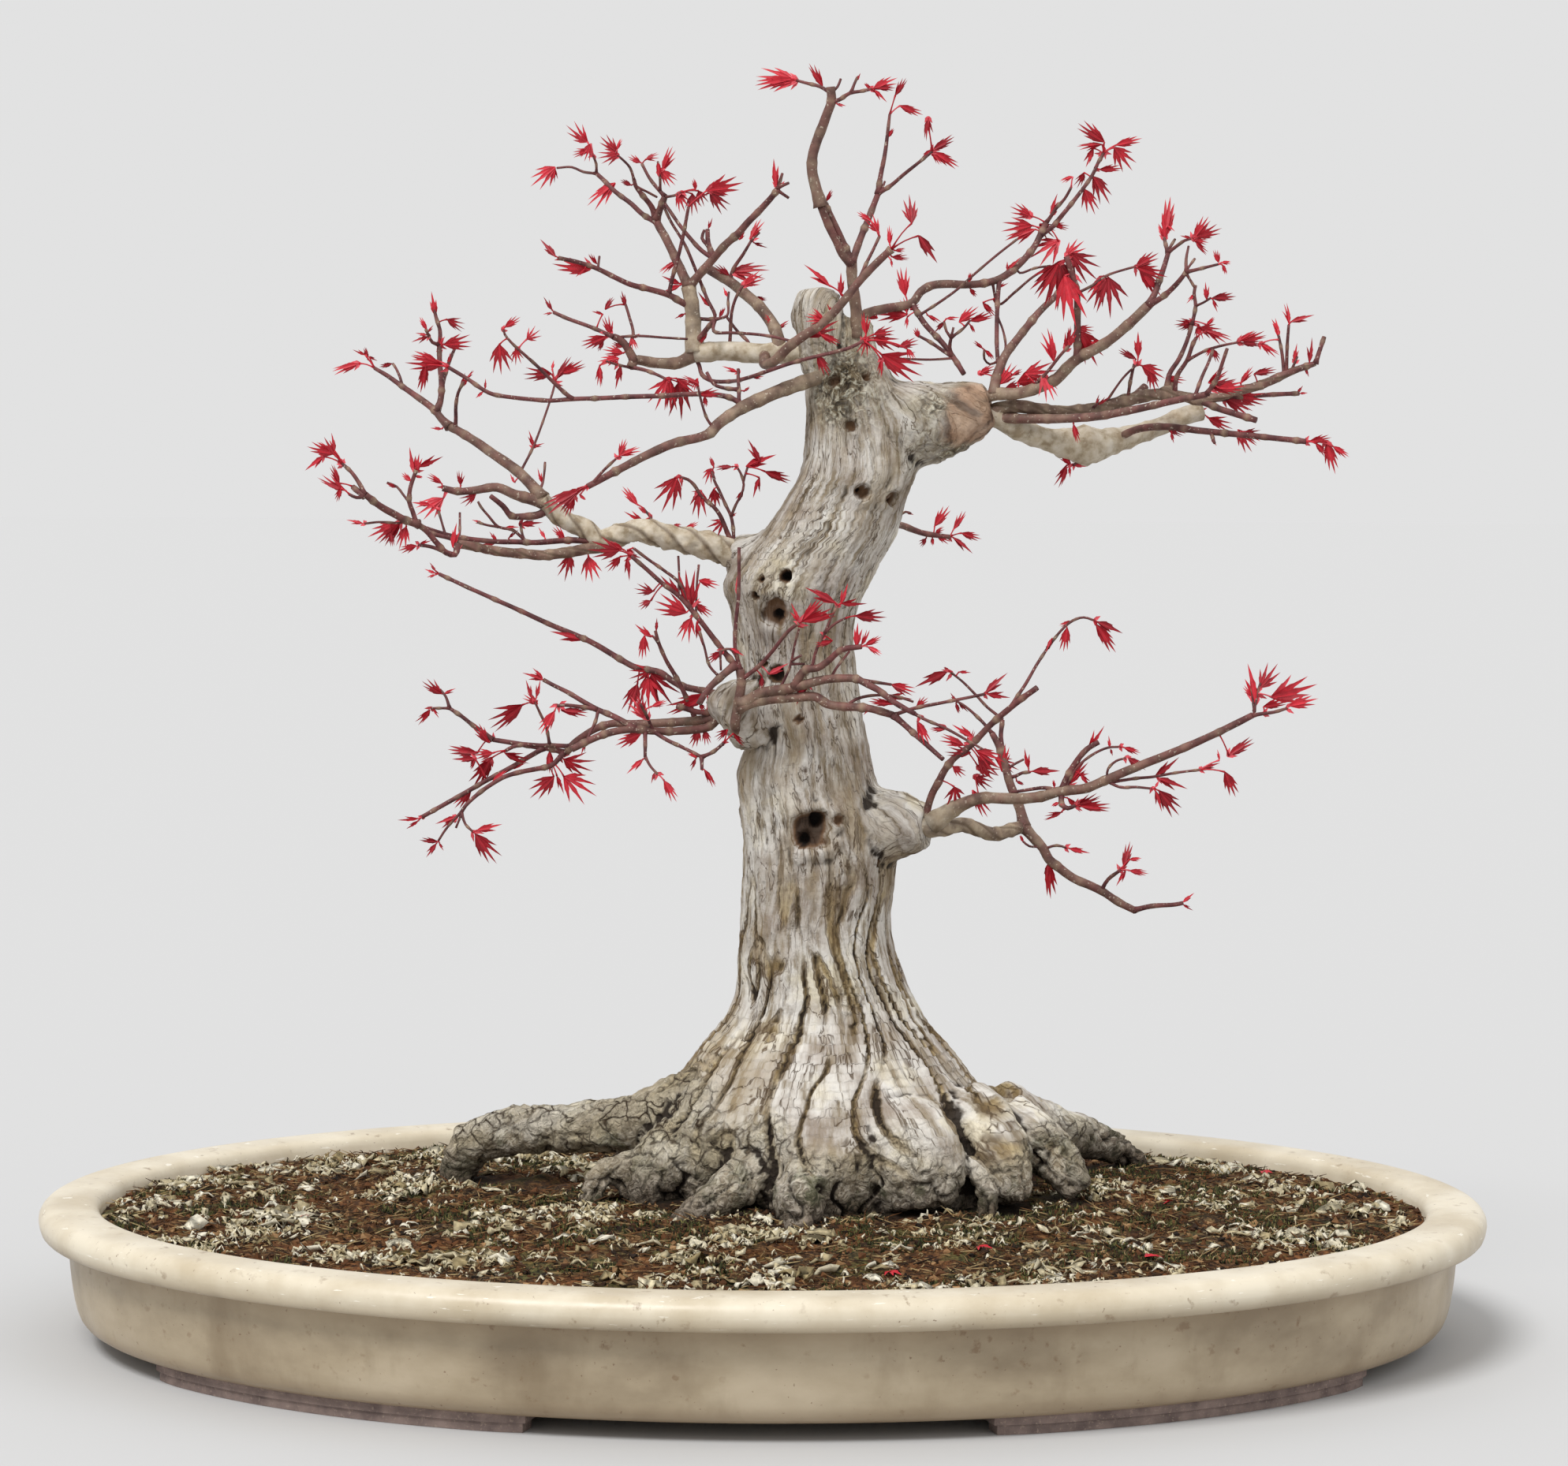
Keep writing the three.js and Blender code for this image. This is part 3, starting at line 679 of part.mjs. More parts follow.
      [0.8, 0.6, -6, [1383, 520], [1392, 512]],
      [1.1, 0.8, 8, [1480, 500], [1482, 476], [1495, 455], [1505, 432], [1511, 412]],
      [1.0, 0.8, -4, [1490, 500], [1492, 478], [1505, 457], [1513, 435], [1517, 428]],
      [0.7, 0.5, -10, [1505, 457], [1530, 444], [1550, 438], [1570, 434]],
      [0.8, 0.7, 4, [1511, 412], [1514, 400], [1516, 388], [1514, 372], [1516, 362]],
      [0.5, 0.4, -6, [1516, 388], [1525, 384], [1535, 378]],
      [0.8, 0.6, 8, [1515, 503], [1524, 478], [1533, 458], [1538, 443]],
      [1.0, 0.9, 2, [1668, 461], [1673, 445], [1679, 427]],
      [0.8, 0.6, 4, [1628, 474], [1625, 445], [1621, 425]],
      [0.8, 0.6, -4, [1631, 474], [1632, 440], [1634, 412]],
      [0.6, 0.5, 0, [1637, 472], [1645, 452]],
      [2.0, 1.6, 4, [1440, 506], [1452, 490]],
      [2.6, 2.0, 6, [1478, 500], [1488, 484]],
      [0.8, 0.6, -6, [1392, 566], [1385, 578], [1370, 585], [1360, 590]],
      [0.8, 0.6, -6, [1535, 548], [1540, 562]],
    ],
    leaves: [
      [10, [1660, 459], [1665, 428]], [10, [1655, 467], [1660, 479]], [12, [1621, 428], [1618, 401]],
      [10, [1620, 418], [1612, 404]], [15, [1634, 410], [1633, 382]], [10, [1637, 408], [1667, 398]],
      [12, [1641, 458], [1644, 436]], [15, [1361, 538], [1366, 562]], [20, [1480, 543], [1500, 553]],
      [15, [1490, 546], [1510, 544]], [12, [1485, 549], [1488, 562]], [12, [1536, 556], [1543, 566]],
      [30, [1570, 545], [1588, 576]], [25, [1576, 549], [1602, 551]], [20, [1573, 547], [1598, 559]],
      [15, [1660, 560], [1690, 555]], [15, [1668, 562], [1684, 580]], [18, [1682, 561], [1693, 600]],
      [15, [1690, 566], [1712, 580]], [10, [1645, 498], [1652, 489]], [6, [1648, 499], [1658, 498]],
      [20, [1532, 485], [1560, 470]], [25, [1535, 492], [1575, 484]], [20, [1545, 492], [1580, 490]],
      [15, [1573, 486], [1588, 464]], [15, [1590, 474], [1619, 468]], [20, [1552, 505], [1590, 521]],
      [25, [1568, 502], [1608, 509]], [25, [1560, 508], [1586, 521]], [25, [1532, 530], [1562, 545]],
      [20, [1545, 500], [1525, 505]], [10, [1390, 513], [1393, 500]], [10, [1393, 513], [1409, 502]],
      [12, [1443, 452], [1443, 418]], [15, [1440, 455], [1416, 443]], [30, [1448, 464], [1478, 480]],
      [25, [1458, 470], [1465, 498]], [20, [1478, 480], [1505, 482]], [25, [1514, 410], [1492, 420]],
      [25, [1512, 408], [1488, 413]], [30, [1520, 412], [1520, 434]], [30, [1522, 415], [1550, 425]],
      [20, [1530, 420], [1562, 430]], [15, [1530, 412], [1540, 402]], [20, [1537, 442], [1546, 461]],
      [15, [1536, 440], [1530, 453]], [15, [1570, 433], [1592, 418]], [15, [1573, 432], [1608, 426]],
      [15, [1575, 435], [1603, 437]], [18, [1598, 436], [1622, 449]], [12, [1516, 372], [1505, 384]],
      [12, [1530, 380], [1528, 357]], [15, [1537, 378], [1570, 376]], [12, [1538, 380], [1543, 396]],
      [15, [1358, 590], [1341, 570]], [12, [1362, 590], [1378, 592]], [22, [1352, 590], [1343, 621]],
      [10, [1356, 592], [1357, 606]],
    ],
  },
  branch_front: {
    depth: -21,
    limbs: [
      [2.2, 1.8, -4, [936, 932, 0, -12], [932, 916], [935, 900], [938, 880], [940, 865], [938, 848]],
      [0.9, 0.7, -2, [938, 848], [932, 820], [933, 790], [936, 760], [937, 730], [937, 694]],
      [1.2, 0.8, -10, [938, 850], [925, 835], [905, 810], [890, 790], [878, 775], [860, 755], [840, 740],
        [820, 722], [800, 705]],
      [0.7, 0.6, -4, [878, 775], [862, 740], [840, 722], [820, 708], [803, 695]],
      [0.5, 0.4, 4, [863, 752], [861, 730], [860, 705]],
      [0.5, 0.4, 4, [883, 780], [883, 755], [884, 735], [886, 716]],
      [1.6, 1.3, -4, [930, 845], [912, 860], [897, 875], [886, 893]],
      [0.6, 0.5, -4, [912, 858], [900, 845], [893, 820], [887, 800]],
      [0.5, 0.4, -4, [934, 835], [925, 823], [912, 826]],
      [0.5, 0.4, 2, [914, 828], [914, 850]],
      [0.9, 0.7, -16, [942, 862], [962, 845], [980, 825], [1000, 800], [1013, 790]],
      [2.4, 1.0, -30, [940, 892], [950, 888], [965, 879], [1000, 873], [1020, 868], [1045, 862],
        [1070, 860], [1086, 861], [1100, 868], [1115, 876], [1130, 888], [1150, 900], [1160, 905]],
      [0.6, 0.5, -6, [988, 874], [1000, 850], [1004, 836], [1009, 812], [1013, 798]],
      [0.5, 0.4, -3, [1004, 838], [1016, 831]],
      [0.5, 0.4, 2, [1003, 842], [1020, 842]],
      [1.7, 1.1, -14, [1008, 872], [1015, 856], [1022, 849], [1037, 847], [1050, 838], [1065, 825],
        [1075, 822], [1092, 820]],
      [0.7, 0.5, -6, [1029, 846], [1036, 822], [1046, 803], [1060, 790], [1072, 784]],
      [0.6, 0.5, -2, [1046, 803], [1054, 783], [1062, 768]],
      [0.8, 0.6, 4, [1086, 861], [1110, 865], [1130, 868]],
      [0.6, 0.5, 6, [1053, 861], [1060, 848], [1077, 826]],
      [2.3, 1.4, -22, [940, 898], [955, 890], [980, 886], [1010, 884], [1035, 884], [1050, 893],
        [1070, 896], [1100, 898], [1133, 907]],
      [1.3, 0.9, -10, [1133, 907], [1150, 922], [1170, 940], [1190, 958], [1196, 963]],
      [0.8, 0.6, -8, [1133, 905], [1160, 898], [1200, 890], [1230, 884], [1249, 880]],
      [0.7, 0.5, 6, [1072, 896], [1085, 887], [1105, 882], [1135, 883], [1158, 890]],
      [0.7, 0.5, -6, [1158, 904], [1170, 911], [1200, 924], [1225, 938], [1246, 950]],
    ],
    leaves: [
      [8, [935, 755], [934, 728]], [25, [875, 770], [868, 722]], [20, [881, 766], [903, 781]],
      [30, [870, 777], [829, 762]], [35, [876, 784], [862, 815]], [12, [883, 790], [892, 820]],
      [12, [861, 755], [836, 729]], [22, [886, 736], [913, 742]], [35, [828, 750], [803, 747]],
      [28, [825, 762], [808, 770]], [20, [915, 826], [895, 841]], [12, [926, 822], [945, 832]],
      [30, [888, 893], [893, 903]], [12, [1013, 790], [1004, 764]], [15, [1018, 786], [1043, 759]],
      [15, [1018, 788], [1060, 778]], [10, [1010, 793], [1021, 797]], [20, [1085, 781], [1125, 784]],
      [12, [1058, 764], [1022, 744]], [12, [1066, 765], [1076, 740]], [12, [1067, 765], [1100, 767]],
      [12, [1052, 783], [1035, 774]], [12, [1086, 820], [1087, 789]], [15, [1092, 818], [1104, 799]],
      [15, [1097, 818], [1118, 807]], [15, [1100, 820], [1118, 829]], [15, [1055, 813], [1033, 818]],
      [12, [1022, 862], [1009, 896]], [20, [966, 858], [966, 876]], [12, [975, 855], [1000, 840]],
      [20, [1130, 868], [1160, 878]], [12, [1128, 882], [1158, 888]], [15, [1130, 892], [1098, 890]],
      [10, [1102, 898], [1095, 907]], [25, [1162, 896], [1178, 884]], [20, [1163, 915], [1180, 945]],
      [15, [1198, 925], [1178, 924]], [10, [1200, 922], [1190, 917]], [12, [1233, 934], [1206, 919]],
      [12, [1250, 878], [1276, 853]], [12, [1252, 880], [1283, 886]], [35, [785, 698], [745, 698]],
      [15, [790, 697], [768, 685]], [25, [795, 698], [806, 702]], [25, [786, 706], [770, 727]],
      [12, [795, 708], [799, 737]], [10, [797, 703], [815, 708]],
    ],
  },
  branch_left_lower: {
    depth: -8,
    limbs: [
      [2.1, 1.4, 18, [930, 903], [912, 909], [870, 915], [830, 917], [800, 918], [780, 917], [760, 922],
        [740, 933], [725, 945], [718, 955]],
      [1.2, 1.0, 6, [718, 955], [700, 950], [680, 947], [650, 942], [625, 938]],
      [1.0, 0.8, 4, [625, 938], [612, 928], [600, 920], [585, 908], [570, 898]],
      [0.7, 0.5, 3, [570, 898], [565, 883], [558, 874]],
      [0.6, 0.5, -3, [570, 898], [556, 898], [546, 898]],
      [1.7, 1.4, -18, [912, 913], [900, 921], [860, 927], [830, 927], [800, 925], [770, 930], [745, 940],
        [725, 950]],
      [1.0, 0.8, -4, [722, 945], [700, 945], [685, 945], [665, 944], [650, 947], [641, 952]],
      [1.1, 0.9, -12, [690, 947], [670, 960], [650, 972], [620, 988], [590, 1005], [560, 1022],
        [535, 1036]],
      [1.1, 0.8, -10, [714, 958], [700, 970], [680, 975], [660, 979], [640, 985], [615, 1000],
        [600, 1012], [590, 1022], [585, 1030]],
      [0.6, 0.5, -3, [585, 1030], [590, 1045], [600, 1055]],
      [0.6, 0.5, 3, [585, 1030], [575, 1040], [565, 1052], [556, 1066]],
      [0.5, 0.4, 0, [585, 1032], [578, 1050]],
      [1.3, 0.8, 10, [805, 923], [785, 912], [770, 905], [758, 900], [745, 893], [720, 878], [700, 868],
        [689, 862]],
      [0.9, 0.7, -4, [757, 900], [735, 896], [715, 894], [706, 895]],
      [0.7, 0.6, -4, [758, 902], [755, 915], [748, 930], [743, 943]],
      [0.7, 0.5, -6, [697, 945], [692, 920], [685, 905], [678, 890]],
      [0.9, 0.7, -4, [818, 925], [818, 945], [818, 960]],
      [0.6, 0.5, -2, [818, 960], [825, 972], [834, 982]],
      [0.9, 0.7, -10, [828, 927], [845, 938], [862, 946], [880, 955], [890, 960]],
      [0.8, 0.7, -3, [890, 960], [905, 953], [918, 942]],
      [0.8, 0.7, -2, [889, 961], [890, 976]],
      [0.7, 0.6, -8, [828, 927], [820, 908], [812, 893]],
      [1.1, 0.7, -10, [880, 908], [868, 880], [858, 860], [845, 838], [835, 815], [831, 800]],
      [0.6, 0.5, 0, [835, 815], [828, 807]],
      [1.2, 1.1, -4, [905, 905], [885, 903], [868, 898], [858, 895]],
    ],
    leaves: [
      [25, [560, 880], [535, 865]], [10, [563, 880], [578, 872]], [20, [545, 900], [530, 922]],
      [10, [549, 898], [556, 911]], [8, [530, 1038], [505, 1041]], [8, [530, 1041], [514, 1053]],
      [28, [603, 1058], [629, 1097]], [12, [605, 1053], [635, 1045]], [15, [555, 1067], [531, 1066]],
      [12, [553, 1070], [540, 1088]], [10, [557, 1069], [562, 1079]], [12, [575, 1038], [559, 1051]],
      [10, [578, 1036], [552, 1044]], [20, [597, 1003], [575, 1026]], [20, [620, 942], [602, 918]],
      [25, [625, 955], [598, 958]], [15, [605, 955], [565, 950]], [12, [602, 962], [572, 963]],
      [15, [602, 962], [597, 976]], [20, [640, 955], [672, 971]], [20, [622, 962], [599, 1002]],
      [15, [652, 975], [668, 958]], [15, [625, 990], [645, 975]], [15, [697, 952], [696, 981]],
      [40, [715, 963], [753, 981]], [45, [715, 985], [757, 1008]], [30, [702, 985], [672, 1013]],
      [10, [706, 984], [716, 1007]], [12, [689, 862], [662, 852]], [10, [688, 860], [675, 846]],
      [20, [703, 902], [686, 931]], [15, [712, 901], [748, 903]], [12, [742, 943], [736, 958]],
      [25, [682, 893], [663, 880]], [12, [674, 883], [666, 862]], [12, [680, 884], [686, 862]],
      [25, [662, 894], [622, 926]], [20, [812, 931], [778, 946]], [12, [815, 963], [795, 980]],
      [20, [842, 990], [858, 1016]], [12, [830, 980], [825, 994]], [15, [885, 960], [871, 955]],
      [12, [882, 962], [876, 979]], [15, [893, 976], [909, 998]], [25, [886, 926], [877, 950]],
      [25, [893, 926], [899, 946]], [25, [922, 925], [908, 940]], [15, [930, 930], [943, 948]],
      [25, [820, 912], [798, 880]], [25, [815, 905], [808, 878]], [15, [826, 896], [846, 888]],
      [15, [897, 880], [845, 908]], [12, [826, 808], [803, 791]], [20, [817, 806], [813, 838]],
      [8, [832, 800], [833, 783]],
    ],
  },
  branch_right_low: {
    depth: -4,
    limbs: [
      [4.6, 3.4, -2, [1160, 1046], [1176, 1046], [1182, 1044]],
      [3.6, 1.3, -44, [1180, 1040], [1205, 1028, 3.3], [1225, 1018, 2.6], [1245, 1012, 2.4],
        [1290, 1013], [1320, 1010], [1345, 1003], [1375, 1000], [1400, 990], [1440, 973], [1490, 953],
        [1540, 931], [1588, 907]],
      [1.6, 1.2, -26, [1174, 1036], [1182, 1006], [1190, 992], [1197, 978], [1210, 961], [1225, 950],
        [1238, 938], [1255, 920], [1278, 900], [1297, 885], [1315, 872]],
      [3.2, 2.8, 24, [1180, 1050], [1200, 1050], [1220, 1046], [1240, 1052], [1260, 1058], [1280, 1053],
        [1298, 1048]],
      [2.2, 1.3, 10, [1298, 1048], [1294, 1028], [1289, 1015], [1282, 998], [1277, 982], [1272, 962],
        [1265, 943], [1258, 930]],
      [0.8, 0.5, 6, [1258, 930], [1248, 918], [1235, 905], [1220, 893], [1210, 888]],
      [1.2, 0.9, 6, [1277, 982], [1272, 955], [1269, 935], [1271, 913]],
      [0.7, 0.5, 8, [1271, 913], [1262, 905], [1252, 897], [1238, 882], [1220, 864], [1206, 853]],
      [0.8, 0.6, 4, [1280, 898], [1288, 886], [1300, 868], [1315, 842], [1328, 822]],
      [0.6, 0.5, -4, [1328, 822], [1345, 800], [1360, 787], [1374, 783], [1388, 787]],
      [2.2, 1.5, -10, [1296, 1048], [1302, 1053], [1310, 1062], [1322, 1075], [1330, 1090], [1340, 1098],
        [1360, 1113], [1380, 1122], [1397, 1130], [1420, 1145], [1440, 1155]],
      [1.1, 0.9, -6, [1438, 1154], [1460, 1149], [1490, 1147], [1500, 1145]],
      [0.6, 0.5, -4, [1324, 1076], [1340, 1072], [1352, 1075]],
      [0.5, 0.4, -4, [1320, 1074], [1305, 1073], [1297, 1067]],
      [0.9, 0.7, -6, [1397, 1128], [1405, 1115], [1421, 1103]],
      [1.3, 1.1, -4, [1346, 1003], [1353, 985], [1365, 965], [1378, 950], [1393, 941]],
      [0.6, 0.5, -6, [1350, 1000], [1364, 975], [1385, 957], [1405, 948], [1421, 947]],
      [0.5, 0.4, -4, [1403, 988], [1405, 975], [1415, 965], [1428, 961]],
      [1.2, 0.8, -6, [1346, 1008], [1346, 1020], [1354, 1025], [1364, 1021]],
      [0.9, 0.6, 8, [1343, 1002], [1325, 999], [1300, 1002], [1282, 1005]],
      [0.7, 0.5, -8, [1403, 993], [1420, 998], [1440, 998], [1461, 1000]],
      [0.7, 0.5, 4, [1408, 990], [1440, 987], [1462, 985], [1490, 980], [1522, 976]],
      [0.8, 0.6, -4, [1279, 986], [1288, 984], [1296, 980], [1306, 979]],
      [0.6, 0.5, 2, [1277, 975], [1288, 968], [1298, 963]],
      [0.8, 0.6, -2, [1588, 906], [1600, 905], [1615, 903], [1632, 898]],
      [0.5, 0.4, 2, [1590, 903], [1588, 885], [1587, 870]],
      [0.6, 0.4, 3, [1592, 902], [1594, 880], [1598, 866]],
    ],
    leaves: [
      [30, [1208, 972], [1226, 985]], [45, [1210, 998], [1212, 1029]], [20, [1233, 1002], [1252, 1038]],
      [35, [1236, 984], [1259, 1001]], [35, [1240, 972], [1268, 986]], [20, [1222, 945], [1192, 932]],
      [25, [1230, 955], [1198, 955]], [30, [1238, 952], [1275, 965]], [30, [1240, 960], [1268, 985]],
      [15, [1226, 950], [1235, 925]], [20, [1270, 978], [1275, 944]], [25, [1262, 962], [1291, 976]],
      [20, [1588, 884], [1577, 868]], [10, [1592, 892], [1584, 840]], [35, [1598, 872], [1620, 842]],
      [25, [1612, 884], [1672, 869]], [20, [1635, 895], [1672, 885]], [20, [1602, 896], [1635, 890]],
      [12, [1380, 948], [1402, 921]], [15, [1352, 996], [1378, 960]], [15, [1425, 948], [1448, 955]],
      [10, [1407, 948], [1406, 933]], [10, [1408, 950], [1411, 959]], [12, [1370, 982], [1384, 1000]],
      [10, [1366, 983], [1382, 981]], [20, [1430, 961], [1452, 976]], [15, [1346, 1030], [1325, 1040]],
      [20, [1342, 1018], [1333, 1022]], [15, [1364, 1021], [1396, 1011]],
      [15, [1370, 1022], [1410, 1026]], [12, [1354, 1012], [1370, 1031]], [15, [1337, 998], [1336, 989]],
      [12, [1465, 1003], [1474, 1029]], [25, [1470, 1003], [1496, 1036]], [10, [1465, 998], [1470, 989]],
      [10, [1465, 984], [1495, 962]], [12, [1468, 987], [1506, 999]], [15, [1558, 958], [1590, 935]],
      [20, [1553, 979], [1568, 1013]], [8, [1546, 964], [1544, 950]], [12, [1525, 975], [1548, 966]],
      [12, [1212, 890], [1205, 878]], [15, [1212, 892], [1216, 905]], [12, [1216, 892], [1228, 903]],
      [12, [1200, 852], [1162, 870]], [15, [1203, 850], [1196, 846]], [10, [1216, 852], [1231, 853]],
      [15, [1360, 788], [1342, 793]], [20, [1353, 796], [1348, 828]], [12, [1330, 816], [1340, 805]],
      [15, [1390, 792], [1415, 828]], [12, [1392, 789], [1425, 803]], [12, [1333, 810], [1326, 826]],
      [12, [1310, 978], [1347, 977]], [12, [1304, 974], [1298, 949]], [15, [1289, 991], [1299, 995]],
      [10, [1500, 1144], [1515, 1131]], [10, [1500, 1147], [1512, 1155]],
      [10, [1356, 1076], [1382, 1082]], [15, [1297, 1067], [1293, 1059]],
      [15, [1330, 1094], [1330, 1143]], [12, [1329, 1095], [1326, 1118]],
      [15, [1425, 1100], [1433, 1066]], [12, [1427, 1105], [1414, 1124]],
      [15, [1432, 1104], [1456, 1108]], [15, [1432, 1090], [1447, 1088]],
    ],
  },
  branch_back: {
    depth: 18,
    limbs: [
      [2.4, 1.0, 110, [1055, 702, 0, 16], [1072, 694, 0, 45], [1098, 680, 0, 85], [1122, 668, 0, 112],
        [1142, 666, 0, 128], [1170, 676, 0, 136], [1204, 681, 0, 140]],
      [0.6, 0.5, -6, [1125, 668], [1148, 649], [1155, 651]],
      [1.5, 0.8, 50, [1075, 692], [1062, 670], [1052, 648], [1047, 622]],
      [0.9, 0.6, 12, [1056, 655], [1075, 638], [1092, 624]],
      [1.1, 0.7, 34, [1098, 680], [1092, 700], [1076, 716], [1052, 722]],
    ],
    leaves: [
      [20, [1185, 667], [1204, 641]], [14, [1209, 671], [1226, 648]], [18, [1219, 676], [1245, 684]],
      [9, [1209, 682], [1236, 702]], [30, [1174, 683], [1167, 694]], [20, [1182, 682], [1183, 692]],
      [24, [1188, 680], [1206, 687]], [25, [1186, 676], [1196, 668]], [8, [1150, 650], [1159, 653]],
      [30, [1046, 616], [1040, 592]], [22, [1052, 618], [1070, 600]], [35, [1040, 628], [1022, 640]],
      [30, [1096, 620], [1118, 610]], [20, [1090, 618], [1092, 600]], [35, [1046, 724], [1022, 740]],
      [22, [1052, 728], [1062, 748]], [25, [1080, 712], [1092, 730]],
    ],
  },
  branch_left_long: {
    depth: -3,
    limbs: [
      [1.5, 0.8, 34, [925, 884, 0, -4], [902, 878, 0, -4], [865, 870], [850, 862], [838, 853],
        [820, 849], [805, 846], [760, 820], [745, 812], [700, 793], [650, 770], [600, 748], [557, 728]],
    ],
    leaves: [
      [8, [552, 724], [545, 713]], [8, [552, 727], [537, 721]], [10, [552, 729], [540, 732]],
      [12, [740, 811], [697, 799]], [40, [825, 850], [797, 862]], [45, [826, 855], [852, 897]],
      [45, [822, 860], [821, 905]], [25, [808, 868], [795, 906]],
    ],
  },
};

// The limbs of a branch as paths of { u, v, radius, point }, each grown from the nearest earlier path.
// The stalks of the leaves stand for the shortest thin side twigs.
function traceLimbs(branch) {
  const paths = [];
  for (const [baseRadius, tipRadius, reach, ...marks] of branch.limbs) {
    const parent = paths.length ? nearestOn(paths, marks[0]) : null;
    const startDepth = parent ? parent.point.y : branch.depth;
    const shares = [0];
    for (let i = 1; i < marks.length; i += 1) {
      shares.push(shares[i - 1] + Math.hypot(marks[i][0] - marks[i - 1][0], marks[i][1] - marks[i - 1][1]));
    }
    const total = shares[shares.length - 1];
    const given = marks.map(([, , radius]) => radius || 0);
    given[0] ||= baseRadius;
    given[given.length - 1] ||= tipRadius;
    const path = marks.map(([u, v, , depth], i) => {
      const before = given.findLastIndex((radius, k) => k <= i && radius > 0);
      const after = given.findIndex((radius, k) => k >= i && radius > 0);
      const span = shares[after] - shares[before];
      const radius = mix(given[before], given[after], span > 0 ? (shares[i] - shares[before]) / span : 0);
      return { u, v, radius, point: seen(u, v, depth ?? startDepth + (reach * shares[i]) / total) };
    });
    if (parent && parent.distance > 5) {
      path.unshift({ ...parent, radius: baseRadius });
    } else if (parent) {
      path[0] = { ...parent, radius: baseRadius };
    }
    if (baseRadius > TWIGLET_RADIUS || total > TWIGLET_MARK) {
      paths.push(simplified(path));
    }
  }
  return paths;
}

// The point on the paths that lies nearest to a mark, as the eye sees it
function nearestOn(paths, [u, v]) {
  let best = { distance: Infinity };
  for (const path of paths) {
    for (let i = 1; i < path.length; i += 1) {
      const [from, to] = [path[i - 1], path[i]];
      const spanU = to.u - from.u;
      const spanV = to.v - from.v;
      const along = ((u - from.u) * spanU + (v - from.v) * spanV) / (spanU * spanU + spanV * spanV || 1);
      const share = THREE.MathUtils.clamp(along, 0, 1);
      const spot = { u: from.u + spanU * share, v: from.v + spanV * share };
      const distance = Math.hypot(u - spot.u, v - spot.v);
      if (distance < best.distance) {
        best = { ...spot, distance, radius: mix(from.radius, to.radius, share) };
        best.point = from.point.clone().lerp(to.point, share);
      }
    }
  }
  return best;
}

// The path without the points that a straight run between their neighbours stands for
function simplified(path) {
  const [first, last] = [path[0], path[path.length - 1]];
  const run = new THREE.Line3(first.point, last.point);
  let farthest = 0;
  let split = 0;
  path.slice(1, -1).forEach((station, i) => {
    const closest = run.closestPointToPoint(station.point, true, new THREE.Vector3());
    const share = closest.distanceTo(first.point) / Math.max(run.distance(), 1e-6);
    const taper = Math.abs(station.radius - mix(first.radius, last.radius, share));
    const off = closest.distanceTo(station.point) + taper;
    if (off > farthest) {
      farthest = off;
      split = i + 1;
    }
  });
  if (farthest < PATH_TOLERANCE) {
    return [first, last];
  }
  return [...simplified(path.slice(0, split + 1)), ...simplified(path.slice(split)).slice(1)];
}

function limbSolid(path) {
  const stations = path.map(({ point, radius }) => ({ point, radius: Math.max(radius, THINNEST_TWIG) }));
  const thickest = Math.max(...stations.map(({ radius }) => radius));
  const sides = thickest > THICK_LIMB ? 6 : thickest > THIN_LIMB ? 5 : 3;
  return limb(stations, sides);
}

